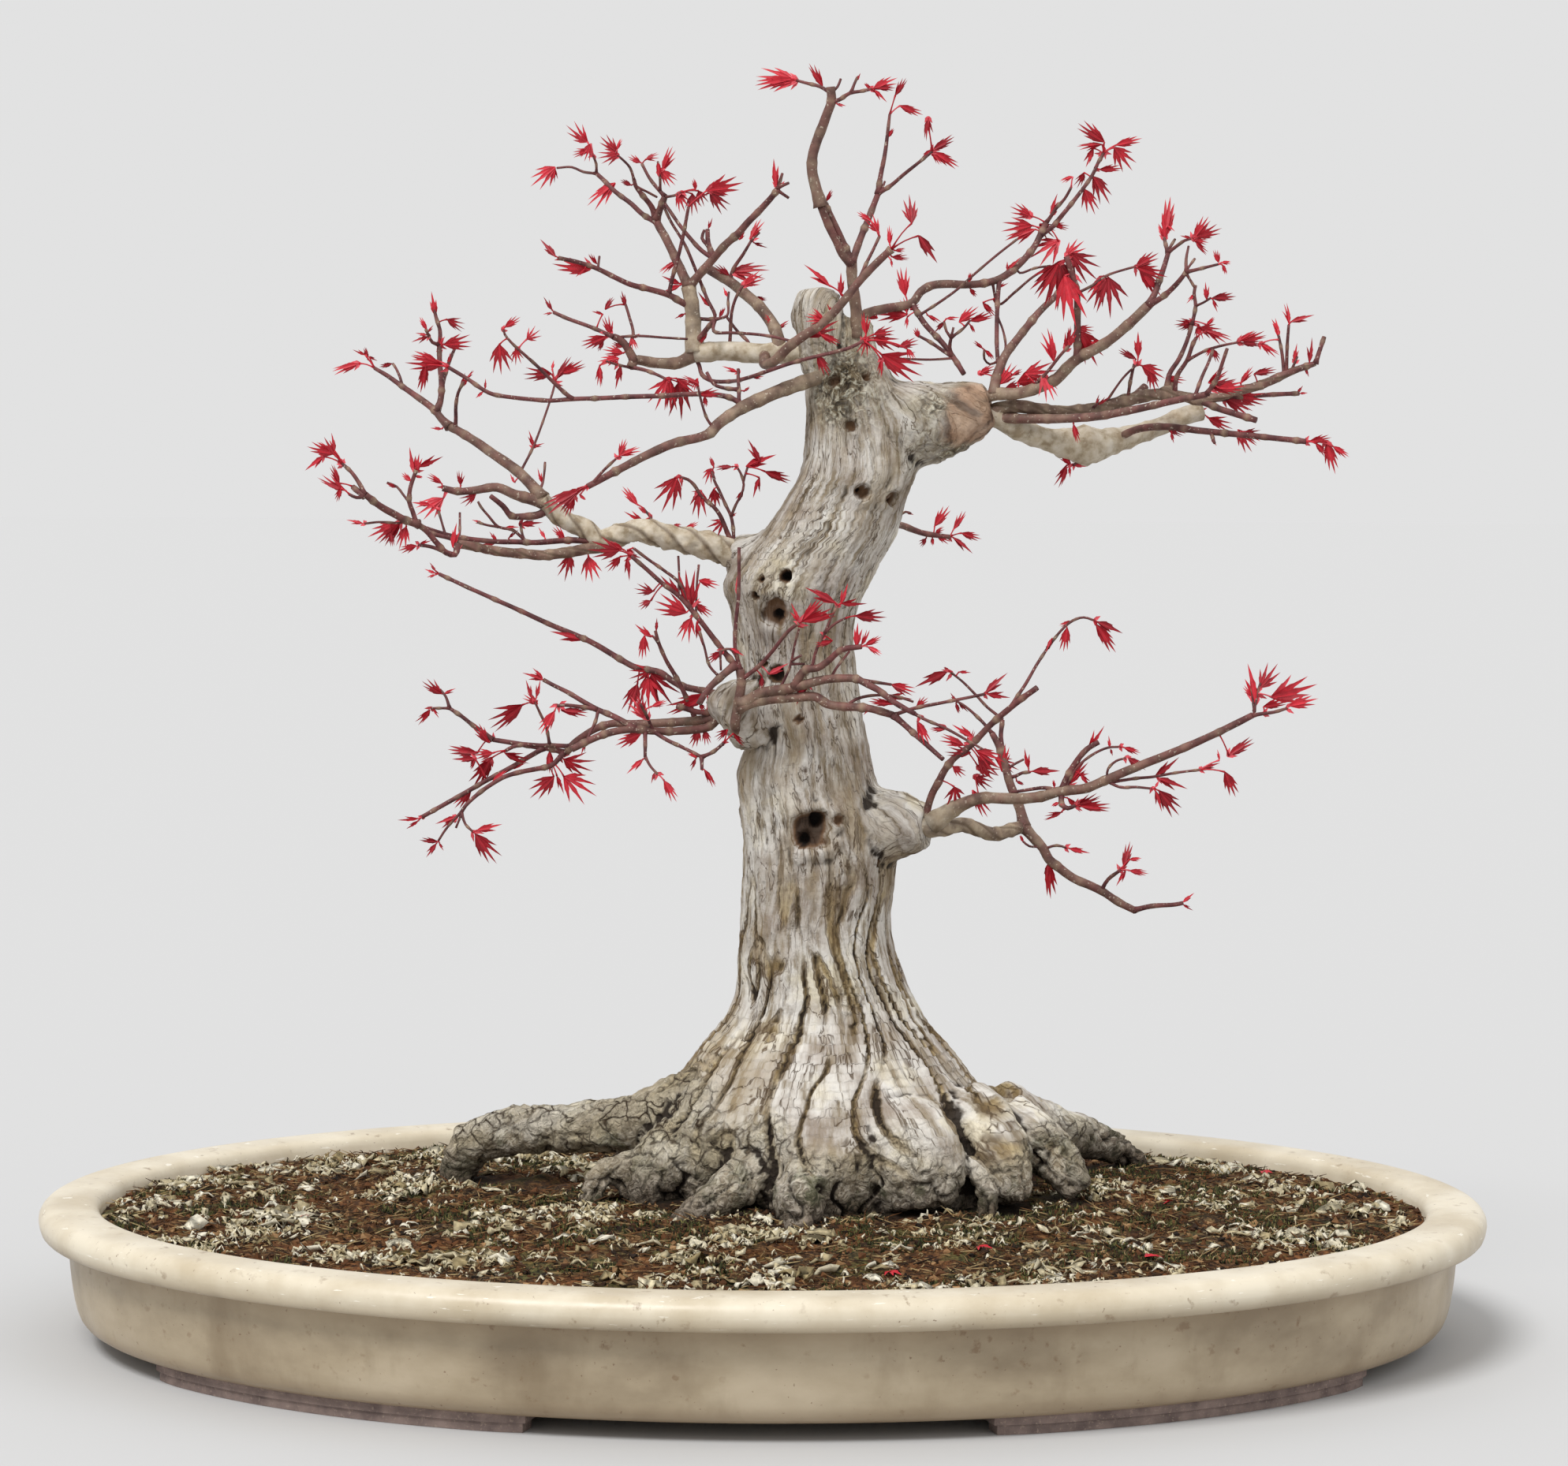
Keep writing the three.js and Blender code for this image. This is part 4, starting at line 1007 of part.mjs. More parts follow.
// One young leaf with its stalk: a thin blade cut into pointed lobes, folded narrow or spread like a hand
function leafSolid(paths, [spread, palm, tip], seed) {
  const root = nearestOn(paths, palm);
  const length = Math.hypot(tip[0] - palm[0], tip[1] - palm[1]) * (EYE.y - root.point.y) / -FOCUS;
  const swing = length * LEAF_DEPTH_SWING * (2 * chance(seed) - 1);
  const stalkLength = root.distance * (EYE.y - root.point.y) / -FOCUS;
  const palmDepth = root.point.y + stalkLength * STALK_DEPTH_SWING * (2 * chance(seed + 0.37) - 1);
  const heart = seen(palm[0], palm[1], palmDepth);
  const point = seen(tip[0], tip[1], palmDepth + swing);
  const along = point.clone().sub(heart);
  const size = along.length();
  along.normalize();
  const tilt = (chance(seed + 0.71) - 0.5) * LEAF_TILT;
  const across = new THREE.Vector3(0, 1, 0).cross(along).normalize().applyAxisAngle(along, tilt);
  const up = along.clone().cross(across);
  const lobes = spread < FOLDED_SPREAD ? 1 : spread < OPEN_SPREAD ? 3 : 5;
  const fan = THREE.MathUtils.degToRad(spread);
  const vertices = [];
  const push = (spot) => vertices.push(spot) - 1;
  const stalk = heart.clone().sub(root.point);
  const stalkAlong = stalk.length() > 0.5 ? stalk.normalize() : along.clone();
  const girth = new THREE.Vector3(0.2, 1, 0.3).cross(stalkAlong).normalize();
  const start = root.point.clone().addScaledVector(stalkAlong, -0.3);
  const palmWidth = lobes === 1 ? Math.max(PALM_HALF_WIDTH, size * FOLDED_HALF_WIDTH) : PALM_HALF_WIDTH;
  const top = push(heart.clone().addScaledVector(up, PALM_HALF_THICKNESS));
  const bottom = push(heart.clone().addScaledVector(up, -PALM_HALF_THICKNESS));
  const left = push(heart.clone().addScaledVector(across, palmWidth));
  const right = push(heart.clone().addScaledVector(across, -palmWidth));
  const outline = [left];
  for (let i = 0; i < 2 * lobes - 1; i += 1) {
    const share = lobes === 1 ? 0 : (i / (lobes - 1)) - 1;
    const angle = -share * fan;
    const isTip = i % 2 === 0;
    const whole = isTip ? 1 : NOTCH_REACH;
    const loss = isTip ? SIDE_LOBE_LOSS : SIDE_NOTCH_LOSS;
    const reach = size * (whole - loss * share * share);
    const spot = heart.clone().addScaledVector(along, reach * Math.cos(angle));
    spot.addScaledVector(across, reach * Math.sin(angle));
    spot.addScaledVector(up, isTip ? -LOBE_DROOP * reach : 0);
    outline.push(push(spot));
  }
  outline.push(right);
  const faces = [];
  for (let i = 1; i < outline.length; i += 1) {
    faces.push([top, outline[i - 1], outline[i]], [bottom, outline[i], outline[i - 1]]);
  }
  if (stalkAlong.dot(along) < BENT_STALK) {
    const blade = closedMesh(vertices, [...faces, [left, top, right], [right, bottom, left]]);
    const end = heart.clone().addScaledVector(stalkAlong, STALK_RADIUS);
    return blade.add(limb([start, end].map((spot) => ({ point: spot, radius: STALK_RADIUS })), 3));
  }
  const base = [0, 1, 2].map((i) => {
    const side = girth.clone().applyAxisAngle(stalkAlong, (-i * 2 * Math.PI) / 3);
    return push(start.clone().addScaledVector(side, STALK_RADIUS));
  });
  return closedMesh(vertices, [...faces, ...sleeve(vertices, base, [top, left, bottom, right])]);
}

// Triangles between the three-sided foot of a stalk and the four-sided palm at its end, both in the same turn
function sleeve(vertices, base, ring) {
  const apart = (a, b) => vertices[a].distanceTo(vertices[b]);
  const lengthOf = (turn) => (
    apart(base[turn], ring[0]) + apart(base[(turn + 1) % 3], ring[1]) + apart(base[(turn + 2) % 3], ring[3]));
  const first = [0, 1, 2].reduce((best, turn) => (lengthOf(turn) < lengthOf(best) ? turn : best));
  const faces = [[base[0], base[2], base[1]]];
  let [i, j] = [0, 0];
  while (i < 3 || j < 4) {
    const a = base[(first + i) % 3];
    const b = ring[j % 4];
    const nextA = base[(first + i + 1) % 3];
    const nextB = ring[(j + 1) % 4];
    const takeRing = (j + 0.5) / 4 < (i + 0.5) / 3;
    faces.push(takeRing ? [b, a, nextB] : [b, a, nextA]);
    if (takeRing) {
      j += 1;
    } else {
      i += 1;
    }
  }
  return faces;
}

function closedMesh(vertices, faces) {
  const geometry = new THREE.BufferGeometry().setFromPoints(vertices);
  geometry.setIndex(faces.flat());
  return solid(geometry);
}

// Large and wide leaves all stay; of the small folded ones every fourth is kept
function isKept([spread, palm, tip], i) {
  const size = Math.hypot(tip[0] - palm[0], tip[1] - palm[1]);
  const isWide = spread > WIDE_LEAF_SPREAD && size > SMALL_LEAF_MARK / 2;
  return size > SMALL_LEAF_MARK || isWide || i % SMALL_LEAVES_PER_KEPT === 0;
}

// Small solids of the branches made so far, each with its bounding box
const neighbours = [];

function boxesMeet(a, b) {
  return [0, 1, 2].every((axis) => a.min[axis] <= b.max[axis] + GAP && b.min[axis] <= a.max[axis] + GAP);
}

function isClear(piece) {
  const box = piece.boundingBox();
  return neighbours.every(({ solid: other, box: otherBox }) => (
    !boxesMeet(box, otherBox) || piece.intersect(other).isEmpty()));
}

// Leaves of one branch in turn, without those that would cross the trunk, another branch or an earlier leaf
function clearLeaves(leaves, trunkRoom) {
  const kept = [];
  for (const leaf of leaves) {
    const box = leaf.boundingBox();
    const crossed = kept.some((other) => (
      boxesMeet(box, other.box) && leaf.intersect(other.solid).volume() > LEAF_CROSSING));
    if (!crossed && isClear(leaf) && leaf.intersect(trunkRoom).isEmpty()) {
      kept.push({ solid: leaf, box });
    }
  }
  return kept.map(({ solid: leaf }) => leaf);
}

// One branch with its twigs and leaves, parted from the trunk
function branchSolid(branch, trunkRoom, number) {
  const paths = traceLimbs(branch);
  const limbs = paths.map(limbSolid);
  const blades = branch.leaves.filter(isKept).map((leaf, i) => leafSolid(paths, leaf, number * 100 + i));
  const leaves = clearLeaves(blades, trunkRoom);
  for (const piece of [...limbs, ...leaves]) {
    neighbours.push({ solid: piece, box: piece.boundingBox() });
  }
  const whole = joined([...limbs, ...leaves]).asOriginal().simplify(JOIN_TOLERANCE);
  return largestBody(whole.subtract(trunkRoom));
}

const tree = new THREE.Group();

function addPiece(name, geometry, color, roughness) {
  const material = new THREE.MeshStandardMaterial({ color, roughness, metalness: 0 });
  const mesh = new THREE.Mesh(geometry, material);
  mesh.name = name;
  tree.add(mesh);
}

const trunkRoom = trunkSolid(GAP);
const trunk = trunkSolid();
addPiece('pot', geometryOf(potSolid()), 0xd8ccb0, 0.45);
addPiece('drain_mesh_left', drainMesh(-DRAIN_X), 0x2c2c2a, 0.6);
addPiece('drain_mesh_right', drainMesh(DRAIN_X), 0x2c2c2a, 0.6);
addPiece('soil', geometryOf(soilSolid(trunkRoom)), 0x5c4430, 0.95);
addPiece('trunk', geometryOf(trunk), 0xd6cfc2, 0.85);
Object.entries(BRANCHES).forEach(([name, branch], number) => {
  addPiece(name, geometryOf(branchSolid(branch, trunkRoom, number)), 0xb8202f, 0.55);
});

export default tree;
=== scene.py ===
"""A Deshojo Japanese maple bonsai in its oval tray, in leaf bud."""

import math

import bpy
import numpy as np
from mathutils import Matrix, Vector, noise
from mathutils.bvhtree import BVHTree


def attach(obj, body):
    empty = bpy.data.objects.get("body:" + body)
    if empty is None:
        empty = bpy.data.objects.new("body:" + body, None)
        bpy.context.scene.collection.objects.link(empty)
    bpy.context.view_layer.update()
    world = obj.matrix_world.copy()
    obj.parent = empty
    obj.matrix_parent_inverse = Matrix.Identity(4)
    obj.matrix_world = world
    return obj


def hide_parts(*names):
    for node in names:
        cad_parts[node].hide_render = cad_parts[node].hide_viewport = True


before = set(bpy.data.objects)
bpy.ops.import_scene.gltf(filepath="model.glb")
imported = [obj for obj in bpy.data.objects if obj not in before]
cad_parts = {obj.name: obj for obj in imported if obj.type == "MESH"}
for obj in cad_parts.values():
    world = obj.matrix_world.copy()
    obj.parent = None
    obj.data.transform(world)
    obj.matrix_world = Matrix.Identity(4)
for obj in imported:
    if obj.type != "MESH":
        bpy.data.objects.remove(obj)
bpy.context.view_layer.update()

MM = 0.001
random_draw = np.random.default_rng(12)

# Driving sizes of the tray, in millimetres
POT_LENGTH = 600
POT_WIDTH = 430
RIM_HEIGHT = 57.7
FOOT_HEIGHT = 6.5
FLOOR_TOP = 12
POT_SIDES = 192
FOOT_START = math.radians(30)
FOOT_END = math.radians(71.5)
FOOT_OUTER_INSET = 22.5
FOOT_INNER_INSET = 36
DRAIN_RADIUS = 12.5
DRAIN_X = 130
MESH_SIDE = 34
MESH_THICKNESS = 0.8

# Soil, in millimetres
SOIL_EDGE_HEIGHT = 51
SOIL_MOUND = 6.5
SOIL_TILT = 2.2
SOIL_LUMPS = 1.1
SOIL_INSET = 25.4
SOIL_RING_STEP = 1.9
SOIL_RINGS = 96
SOIL_SIDES = 288
CRUMB_COUNT = 8000
PALE_BIT_COUNT = 3600
FIBRE_COUNT = 7500
MOSS_COUNT = 13000
GAP = 0.35
# Reach of the painted shade on the soil around the roots
ROOT_SHADE_REACH = 13
ABOVE_ROOTS = 400

# Tree, in millimetres
BARK_VOXEL = 1.45
FLUTES = 7
SHAFT_SIDES = 56
LUMP_SIDES = 24
TRUNK_DEPTH_SHARE = 0.92
THINNEST_TWIG = 0.5
TWIG_STEP = 2.2
WIRED_STEP = 0.8
WIRE_PITCH = 14
WIRE_STARTS = 3
THIN_LIMB = 1.6
STALK_RADIUS = 0.38
LEAF_DEPTH_SWING = 0.35
SMALL_LEAF_MARK = 36
WIDE_LEAF_SPREAD = 29
SMALL_LEAF_STEP = 4

# Floor, in metres, and light
FLOOR_SIDE = 60
STUDIO_BRIGHTNESS = 0.76

# The eye that sees the tree's marks: each mark is [u, v] on a picture 1988 wide and 1859 high
PICTURE_WIDTH = 1988
PICTURE_HEIGHT = 1859
SENSOR_WIDTH = 36
EYE = Vector((7.78, -1650, 357.7))
FOCUS = 5058.2
TILT = math.radians(3.703)
ROLL = math.radians(0.267)

# The trunk's outline from the head down into the soil: v, left u, right u, depth of its middle
TRUNK_OUTLINE = [
    [440, 1036, 1106, 2], [485, 1022, 1138, 0], [520, 1021, 1150, 0], [560, 1020, 1160, 0],
    [600, 1013, 1164, 0], [626, 998, 1151, 1], [680, 961, 1135, 3], [700, 942, 1122, 4],
    [744, 915, 1103, 6], [767, 923, 1090, 7], [805, 931, 1082, 8],
    [886, 942, 1090, 10], [941, 946, 1102, 11], [976, 936, 1110, 12], [1050, 942, 1130, 14],
    [1091, 942, 1136, 15], [1171, 938, 1129, 17], [1219, 936, 1140, 18],
    [1260, 934, 1157, 19], [1295, 916, 1177, 20], [1327, 886, 1203, 21], [1367, 856, 1234, 22],
    [1397, 835, 1255, 23], [1430, 822, 1278, 24], [1465, 822, 1288, 25], [1500, 832, 1288, 25],
    [1560, 850, 1270, 25],
]

# Stubs, lumps and the short thick arm: marks of [u, v, depth, radius]
TRUNK_LUMPS = [
    [[1050, 470, 0, 11], [1042, 425, 0, 10.5], [1034, 385, 0, 10], [1033, 366, 0, 7.5]],
    [[1075, 470, 2, 12], [1082, 430, 4, 9.5], [1083, 404, 4, 7]],
    [[1100, 535, 0, 17], [1165, 537, 0, 18], [1206, 529, -1, 15.5], [1240, 517, -3, 12.5],
     [1258, 511, -4, 9]],
    [[975, 712, 6, 14], [940, 704, 6, 9.5], [924, 700, 6, 7.5]],
    [[970, 900, 0, 13], [930, 892, -8, 10], [906, 904, -12, 6.5]],
    [[950, 930, -4, 9], [934, 915, -15, 6], [930, 905, -19, 4]],
    [[1090, 1048, 10, 18], [1150, 1046, 0, 13], [1176, 1048, -3, 9.5]],
]

# Surface roots, from inside the trunk's foot out into the soil: marks of [u, v, depth, radius]
ROOTS = [
    [[880, 1400, 12, 15], [800, 1424, 16, 12], [730, 1430, 24, 10.5], [655, 1434, 33, 10.5],
      [606, 1448, 40, 10], [582, 1480, 45, 8.5], [584, 1530, 46, 7]],
    [[900, 1440, 0, 15], [838, 1486, -10, 15], [812, 1535, -12, 10]],
    [[815, 1478, -8, 7], [764, 1488, -14, 5.5], [749, 1515, -18, 5], [750, 1560, -20, 4]],
    [[1000, 1460, -15, 14], [940, 1500, -38, 10], [890, 1532, -50, 7], [845, 1568, -58, 4.5]],
    [[1020, 1470, -25, 13], [1013, 1525, -56, 10], [1012, 1575, -66, 6]],
    [[1120, 1420, -10, 20], [1158, 1474, -32, 21], [1166, 1535, -38, 14]],
    [[1220, 1410, 0, 16], [1268, 1464, -22, 14], [1276, 1525, -28, 9]],
    [[1240, 1470, -28, 7], [1252, 1515, -40, 5], [1249, 1560, -46, 3.5]],
    [[1270, 1420, 5, 14], [1335, 1466, -2, 10.5], [1368, 1512, -6, 7]],
    [[1260, 1412, 40, 15], [1340, 1436, 70, 11], [1400, 1450, 95, 8], [1450, 1480, 106, 4]],
    [[1060, 1400, 50, 20], [1060, 1432, 90, 12], [1050, 1462, 115, 5]],
    [[920, 1400, 45, 16], [850, 1424, 80, 11], [790, 1462, 112, 5]],
]

# Knots, cuts and hollows in the bark: u, v, radius, depth of the hollow, height of its lip
BARK_MARKS = [
    [1024, 1054, 9, 2.6, 2.2], [1035, 1039, 3.4, 5, 0.6], [1018, 1066, 3.8, 5, 0.6],
    [1062, 1040, 2.4, 2, 1.0], [984, 776, 7.5, 1.8, 2.0], [986, 780, 2.6, 3.5, 0.2],
    [997, 730, 3.4, 6, 1.2], [964, 734, 1.9, 3, 0.5], [956, 757, 2.4, 4, 0.6], [985, 856, 4.2, 3, 1.4],
    [968, 842, 2.4, 2.2, 0.9], [1093, 625, 3.4, 1.6, 1.8], [1087, 622, 1.2, 4, 0.2],
    [1130, 631, 4.6, 1.6, 1.8], [1130, 636, 1.9, 4, 0.2], [920, 890, 2.4, 3, 0.6],
    [1013, 912, 2.4, 2.5, 0.9], [1021, 977, 1.8, 1.2, 1.4], [1188, 525, 2.6, 3, 1.4],
    [1207, 524, 1.5, 3, 0.8], [1056, 482, 3.8, 1.8, 1.5], [1099, 478, 2.4, 1.9, 1.0],
    [1078, 540, 3.0, 1.7, 1.2], [1138, 542, 3.4, 1.2, 0.7], [988, 681, 1.3, 2.5, 0.2],
    [1022, 405, 4, 2.4, 1.2], [1083, 412, 3.5, 1.2, 0.8], [1115, 1096, 1.6, 3, 0.5],
    [933, 1030, 2.0, 1.6, 1.0], [936, 1043, 1.8, 2.4, 0.8], [1137, 1044, 4.0, 1.2, 1.3],
]

# The limbs that carry the spiral scars of a wire: branch and number of the limb
WIRED = {("branch_left_wired", 0), ("branch_left_wired", 12), ("branch_right_low", 3),
         ("branch_right_wired", 1)}

# Red leaves that fell on the soil: u, v
FALLEN_LEAVES = [(1241, 1580), (1452, 1594), (1601, 1485), (394, 1540), (1128, 1612), (1487, 1523)]

# The branches. A limb is [base radius, tip radius, how far its tip lies back from its base, then the u and v
# of one mark after another]. A mark with its own radius or depth is [u, v, radius, depth], where a radius
# of 0 follows the taper. A leaf is (half angle of its fan, u and v of its heart, how far its tip lies to the
# right of the heart and below it).
BRANCHES = {}
BRANCHES["branch_left_wired"] = {"depth": 6, "limbs": [
    [6.0, 5.0, -10, 958, 708, 928, 702, 900, 693, 860, 683, 835, 677, 805, 673, 780, 680, [760, 684, 4.2],
     [740, 670, 4.0], [720, 661, 4.0], [700, 647, 3.6], [688, 632, 3.2]],
    [2.4, 1.7, 22, 688, 632, 660, 601, 620, 572, 600, 558, 580, 546, 570, 541],
    [1.7, 0.8, 18, 570, 541, 560, 531, 551, 520, 530, 504, 510, 490, 492, 477, 475, 467],
    [1.4, 0.7, 8, 553, 522, 558, 510, 560, 490, 558, 465, 557, 445, 558, 420, 553, 403, 550, 390],
    [0.8, 0.6, -6, 557, 437, 548, 434, 543, 425, 540, 418],
    [1.0, 0.6, 14, 560, 492, 565, 472, 571, 455, 577, 441, 581, 434],
    [0.9, 0.6, -8, 577, 545, 578, 530, 578, 515, 581, 498, 588, 484],
    [0.7, 0.5, 6, 510, 490, 507, 478, 502, 467, 498, 461],
    [0.6, 0.4, 10, 659, 600, 676, 567, 690, 530, 700, 500, 704, 485],
    [0.6, 0.4, 4, 686, 618, 690, 600, 691, 586],
    [2.4, 1.3, -6, 690, 640, 670, 632, 652, 627, 630, 618, 600, 622, 580, 623, 561, 619],
    [1.6, 1.0, -10, 685, 652, 665, 655, 648, 654, 638, 642, 622, 629],
    [2.4, 1.8, -34, 772, 690, 740, 697, 715, 701, 690, 704, 660, 702, 630, 699, 600, 693, 580, 690],
    [1.3, 1.0, -10, 580, 690, 577, 703, 566, 701, 555, 690, 543, 676, 530, 664],
    [1.0, 0.9, 6, 592, 690, 570, 682, 550, 677, 533, 667],
    [0.6, 0.4, 4, 566, 679, 560, 662, 556, 648],
    [1.5, 1.3, -14, 530, 666, 515, 660, 500, 652, 482, 642, 463, 627],
    [0.9, 0.7, 4, 463, 627, 455, 612, 445, 598, 434, 588],
    [0.8, 0.6, -6, 463, 632, 452, 631, 443, 627],
    [1.1, 1.0, 2, 463, 631, 455, 624, 447, 617],
    [0.5, 0.4, -4, 525, 664, 500, 663, 480, 662, 462, 664],
    [0.9, 0.7, -6, 572, 702, 560, 698, 545, 693, 530, 691],
    [0.5, 0.4, 5, 582, 690, 583, 670, 583, 650],
    [1.0, 0.8, -4, 528, 664, 523, 648, 519, 637, 520, 620, 524, 607, 528, 596],
    [0.5, 0.4, 4, 519, 638, 511, 627, 503, 617, 491, 612],
    [1.4, 0.8, -16, 790, 684, 750, 686, 720, 685, 680, 688, 650, 687, 632, 687, 600, 684, 575, 680,
     550, 673, 528, 665],
    [0.7, 0.5, -6, 668, 688, 660, 680, 650, 672, 632, 668, 620, 655, 610, 643, 606, 636],
    [0.5, 0.4, -3, 632, 668, 618, 666, 605, 662],
    [0.5, 0.4, 2, 664, 684, 661, 672, 660, 664],
    [0.6, 0.5, 4, 828, 665, 824, 655, 816, 645],
    [1.1, 0.6, -6, 930, 697, 922, 675, 912, 652, 903, 641, 890, 630, 880, 615, 872, 608, 862, 605],
    [0.8, 0.6, 6, 932, 697, 930, 675, 927, 655, 920, 640, 912, 622, 906, 610, 903, 598],
    [0.6, 0.5, -4, 927, 655, 933, 640, 940, 627, 943, 615, 939, 600, 934, 592],
    [0.4, 0.4, 2, 943, 610, 948, 592],
], "leaves": [
    (15, 455, 461, -36, 9), (15, 466, 455, -3, -15), (10, 463, 450, -16, -6), (12, 468, 452, 10, 6),
    (15, 497, 461, -17, 5), (12, 552, 400, -5, -30), (30, 567, 405, 21, 13), (15, 541, 418, -9, -16),
    (12, 543, 421, 6, -9), (10, 541, 425, -14, -3), (12, 543, 427, -23, 6), (20, 556, 446, 5, -21),
    (25, 563, 437, 37, -4), (10, 568, 462, 3, -15), (12, 583, 492, 18, -23), (10, 560, 544, -14, -1),
    (10, 676, 566, -5, -21), (12, 677, 567, 14, -6), (25, 699, 474, -36, 1), (15, 706, 480, 18, -29),
    (15, 709, 474, 33, -12), (12, 700, 468, 2, -12), (10, 687, 612, -6, -18), (8, 652, 612, -6, -12),
    (20, 560, 613, -18, -13), (25, 584, 615, -3, -18), (30, 562, 632, -34, 20), (12, 545, 640, -23, -3),
    (35, 603, 627, -20, 13), (15, 808, 640, -19, -24), (15, 819, 651, -10, -9), (12, 815, 661, -23, -11),
    (25, 853, 668, 11, -3), (15, 868, 672, 17, -10), (20, 716, 683, -16, -15), (15, 722, 690, -16, -10),
    (35, 722, 704, -5, 34), (35, 746, 706, 5, 34), (12, 526, 600, -9, -35), (12, 529, 598, 2, -24),
    (10, 531, 592, 32, -12), (20, 521, 610, -13, -11), (15, 527, 604, 9, 1), (12, 502, 618, -13, -5),
    (20, 424, 575, -38, -8), (15, 425, 577, -23, -17), (12, 424, 572, -3, -24), (12, 425, 578, -14, -23),
    (10, 410, 579, -24, 17), (15, 438, 622, -35, -14), (15, 430, 613, -9, -24), (20, 432, 619, -5, 18),
    (25, 505, 664, -40, 16), (30, 515, 668, -10, 29), (20, 508, 664, -31, 26), (15, 495, 675, 3, 18),
    (10, 460, 664, -22, -6), (20, 528, 692, -24, 6), (10, 533, 689, 14, -3), (12, 574, 694, 4, -32),
    (10, 630, 686, -10, -12), (12, 629, 688, -23, 4), (12, 612, 664, -13, -5), (12, 641, 669, 18, -1),
    (12, 660, 665, 30, -3), (12, 691, 682, -9, -14), (10, 645, 682, 13, -10), (40, 858, 606, -18, 44),
    (15, 856, 606, -20, 15), (35, 888, 622, -4, 38), (12, 890, 622, -14, 2), (30, 905, 620, 3, 30),
    (40, 902, 594, -9, 21), (15, 905, 592, -5, -14), (15, 928, 592, -23, 0), (45, 918, 660, -20, 20),
    (12, 927, 655, 7, -5), (12, 942, 622, -10, 20), (12, 946, 592, 40, -18), (12, 963, 585, -14, -29),
    (15, 970, 598, 35, 14), (12, 963, 606, -10, 27),
]}
BRANCHES["branch_head_left"] = {"depth": -8, "limbs": [
    [3.2, 1.2, -46, 1062, 474, 1040, 478, 1010, 488, 985, 497, 960, 508, [945, 515, 2.6], [925, 527, 2.3],
     [908, 540, 2.3], [901, 549, 2.1], [885, 555, 1.9], [855, 562, 1.9], [820, 577, 1.7], [780, 598, 1.5],
     [745, 617, 1.2]],
    [1.1, 0.8, 18, 943, 512, 925, 504, 900, 500, 870, 500, 840, 502, 800, 503, 760, 505, 726, 506, 700, 508,
     680, 507, 650, 504, 625, 500, 614, 495, 592, 480, 569, 466],
    [0.9, 0.5, -10, 726, 506, 715, 497, 700, 483, 680, 463, 662, 447, 648, 434, 640, 424, 638, 418],
    [0.6, 0.5, -6, 905, 543, 897, 532, 890, 512, 885, 490],
    [0.7, 0.5, -6, 750, 613, 765, 597, 783, 580],
    [0.8, 0.7, 8, 938, 508, 937, 495, 936, 480, 936, 468],
    [0.8, 0.7, 4, 936, 494, 918, 492, 905, 487, 896, 472],
], "leaves": [
    (20, 732, 623, -44, 22), (20, 728, 630, -13, 27), (15, 735, 628, 8, 6), (25, 732, 620, -20, 12),
    (18, 785, 578, 10, -23), (18, 786, 578, 27, -13), (25, 560, 463, -45, -2), (20, 553, 457, -33, -8),
    (15, 540, 463, -7, 37), (10, 592, 480, 9, -11), (10, 612, 497, -9, 8), (6, 615, 493, 1, -13),
    (20, 640, 415, 20, -13), (35, 633, 437, 2, 41), (40, 655, 443, -2, 22), (45, 668, 430, 18, -12),
    (12, 935, 472, -20, -9), (15, 944, 496, 6, -6), (20, 884, 486, -21, -10), (20, 887, 500, 28, 0),
    (20, 893, 503, 3, 14), (25, 884, 480, -4, 16),
]}
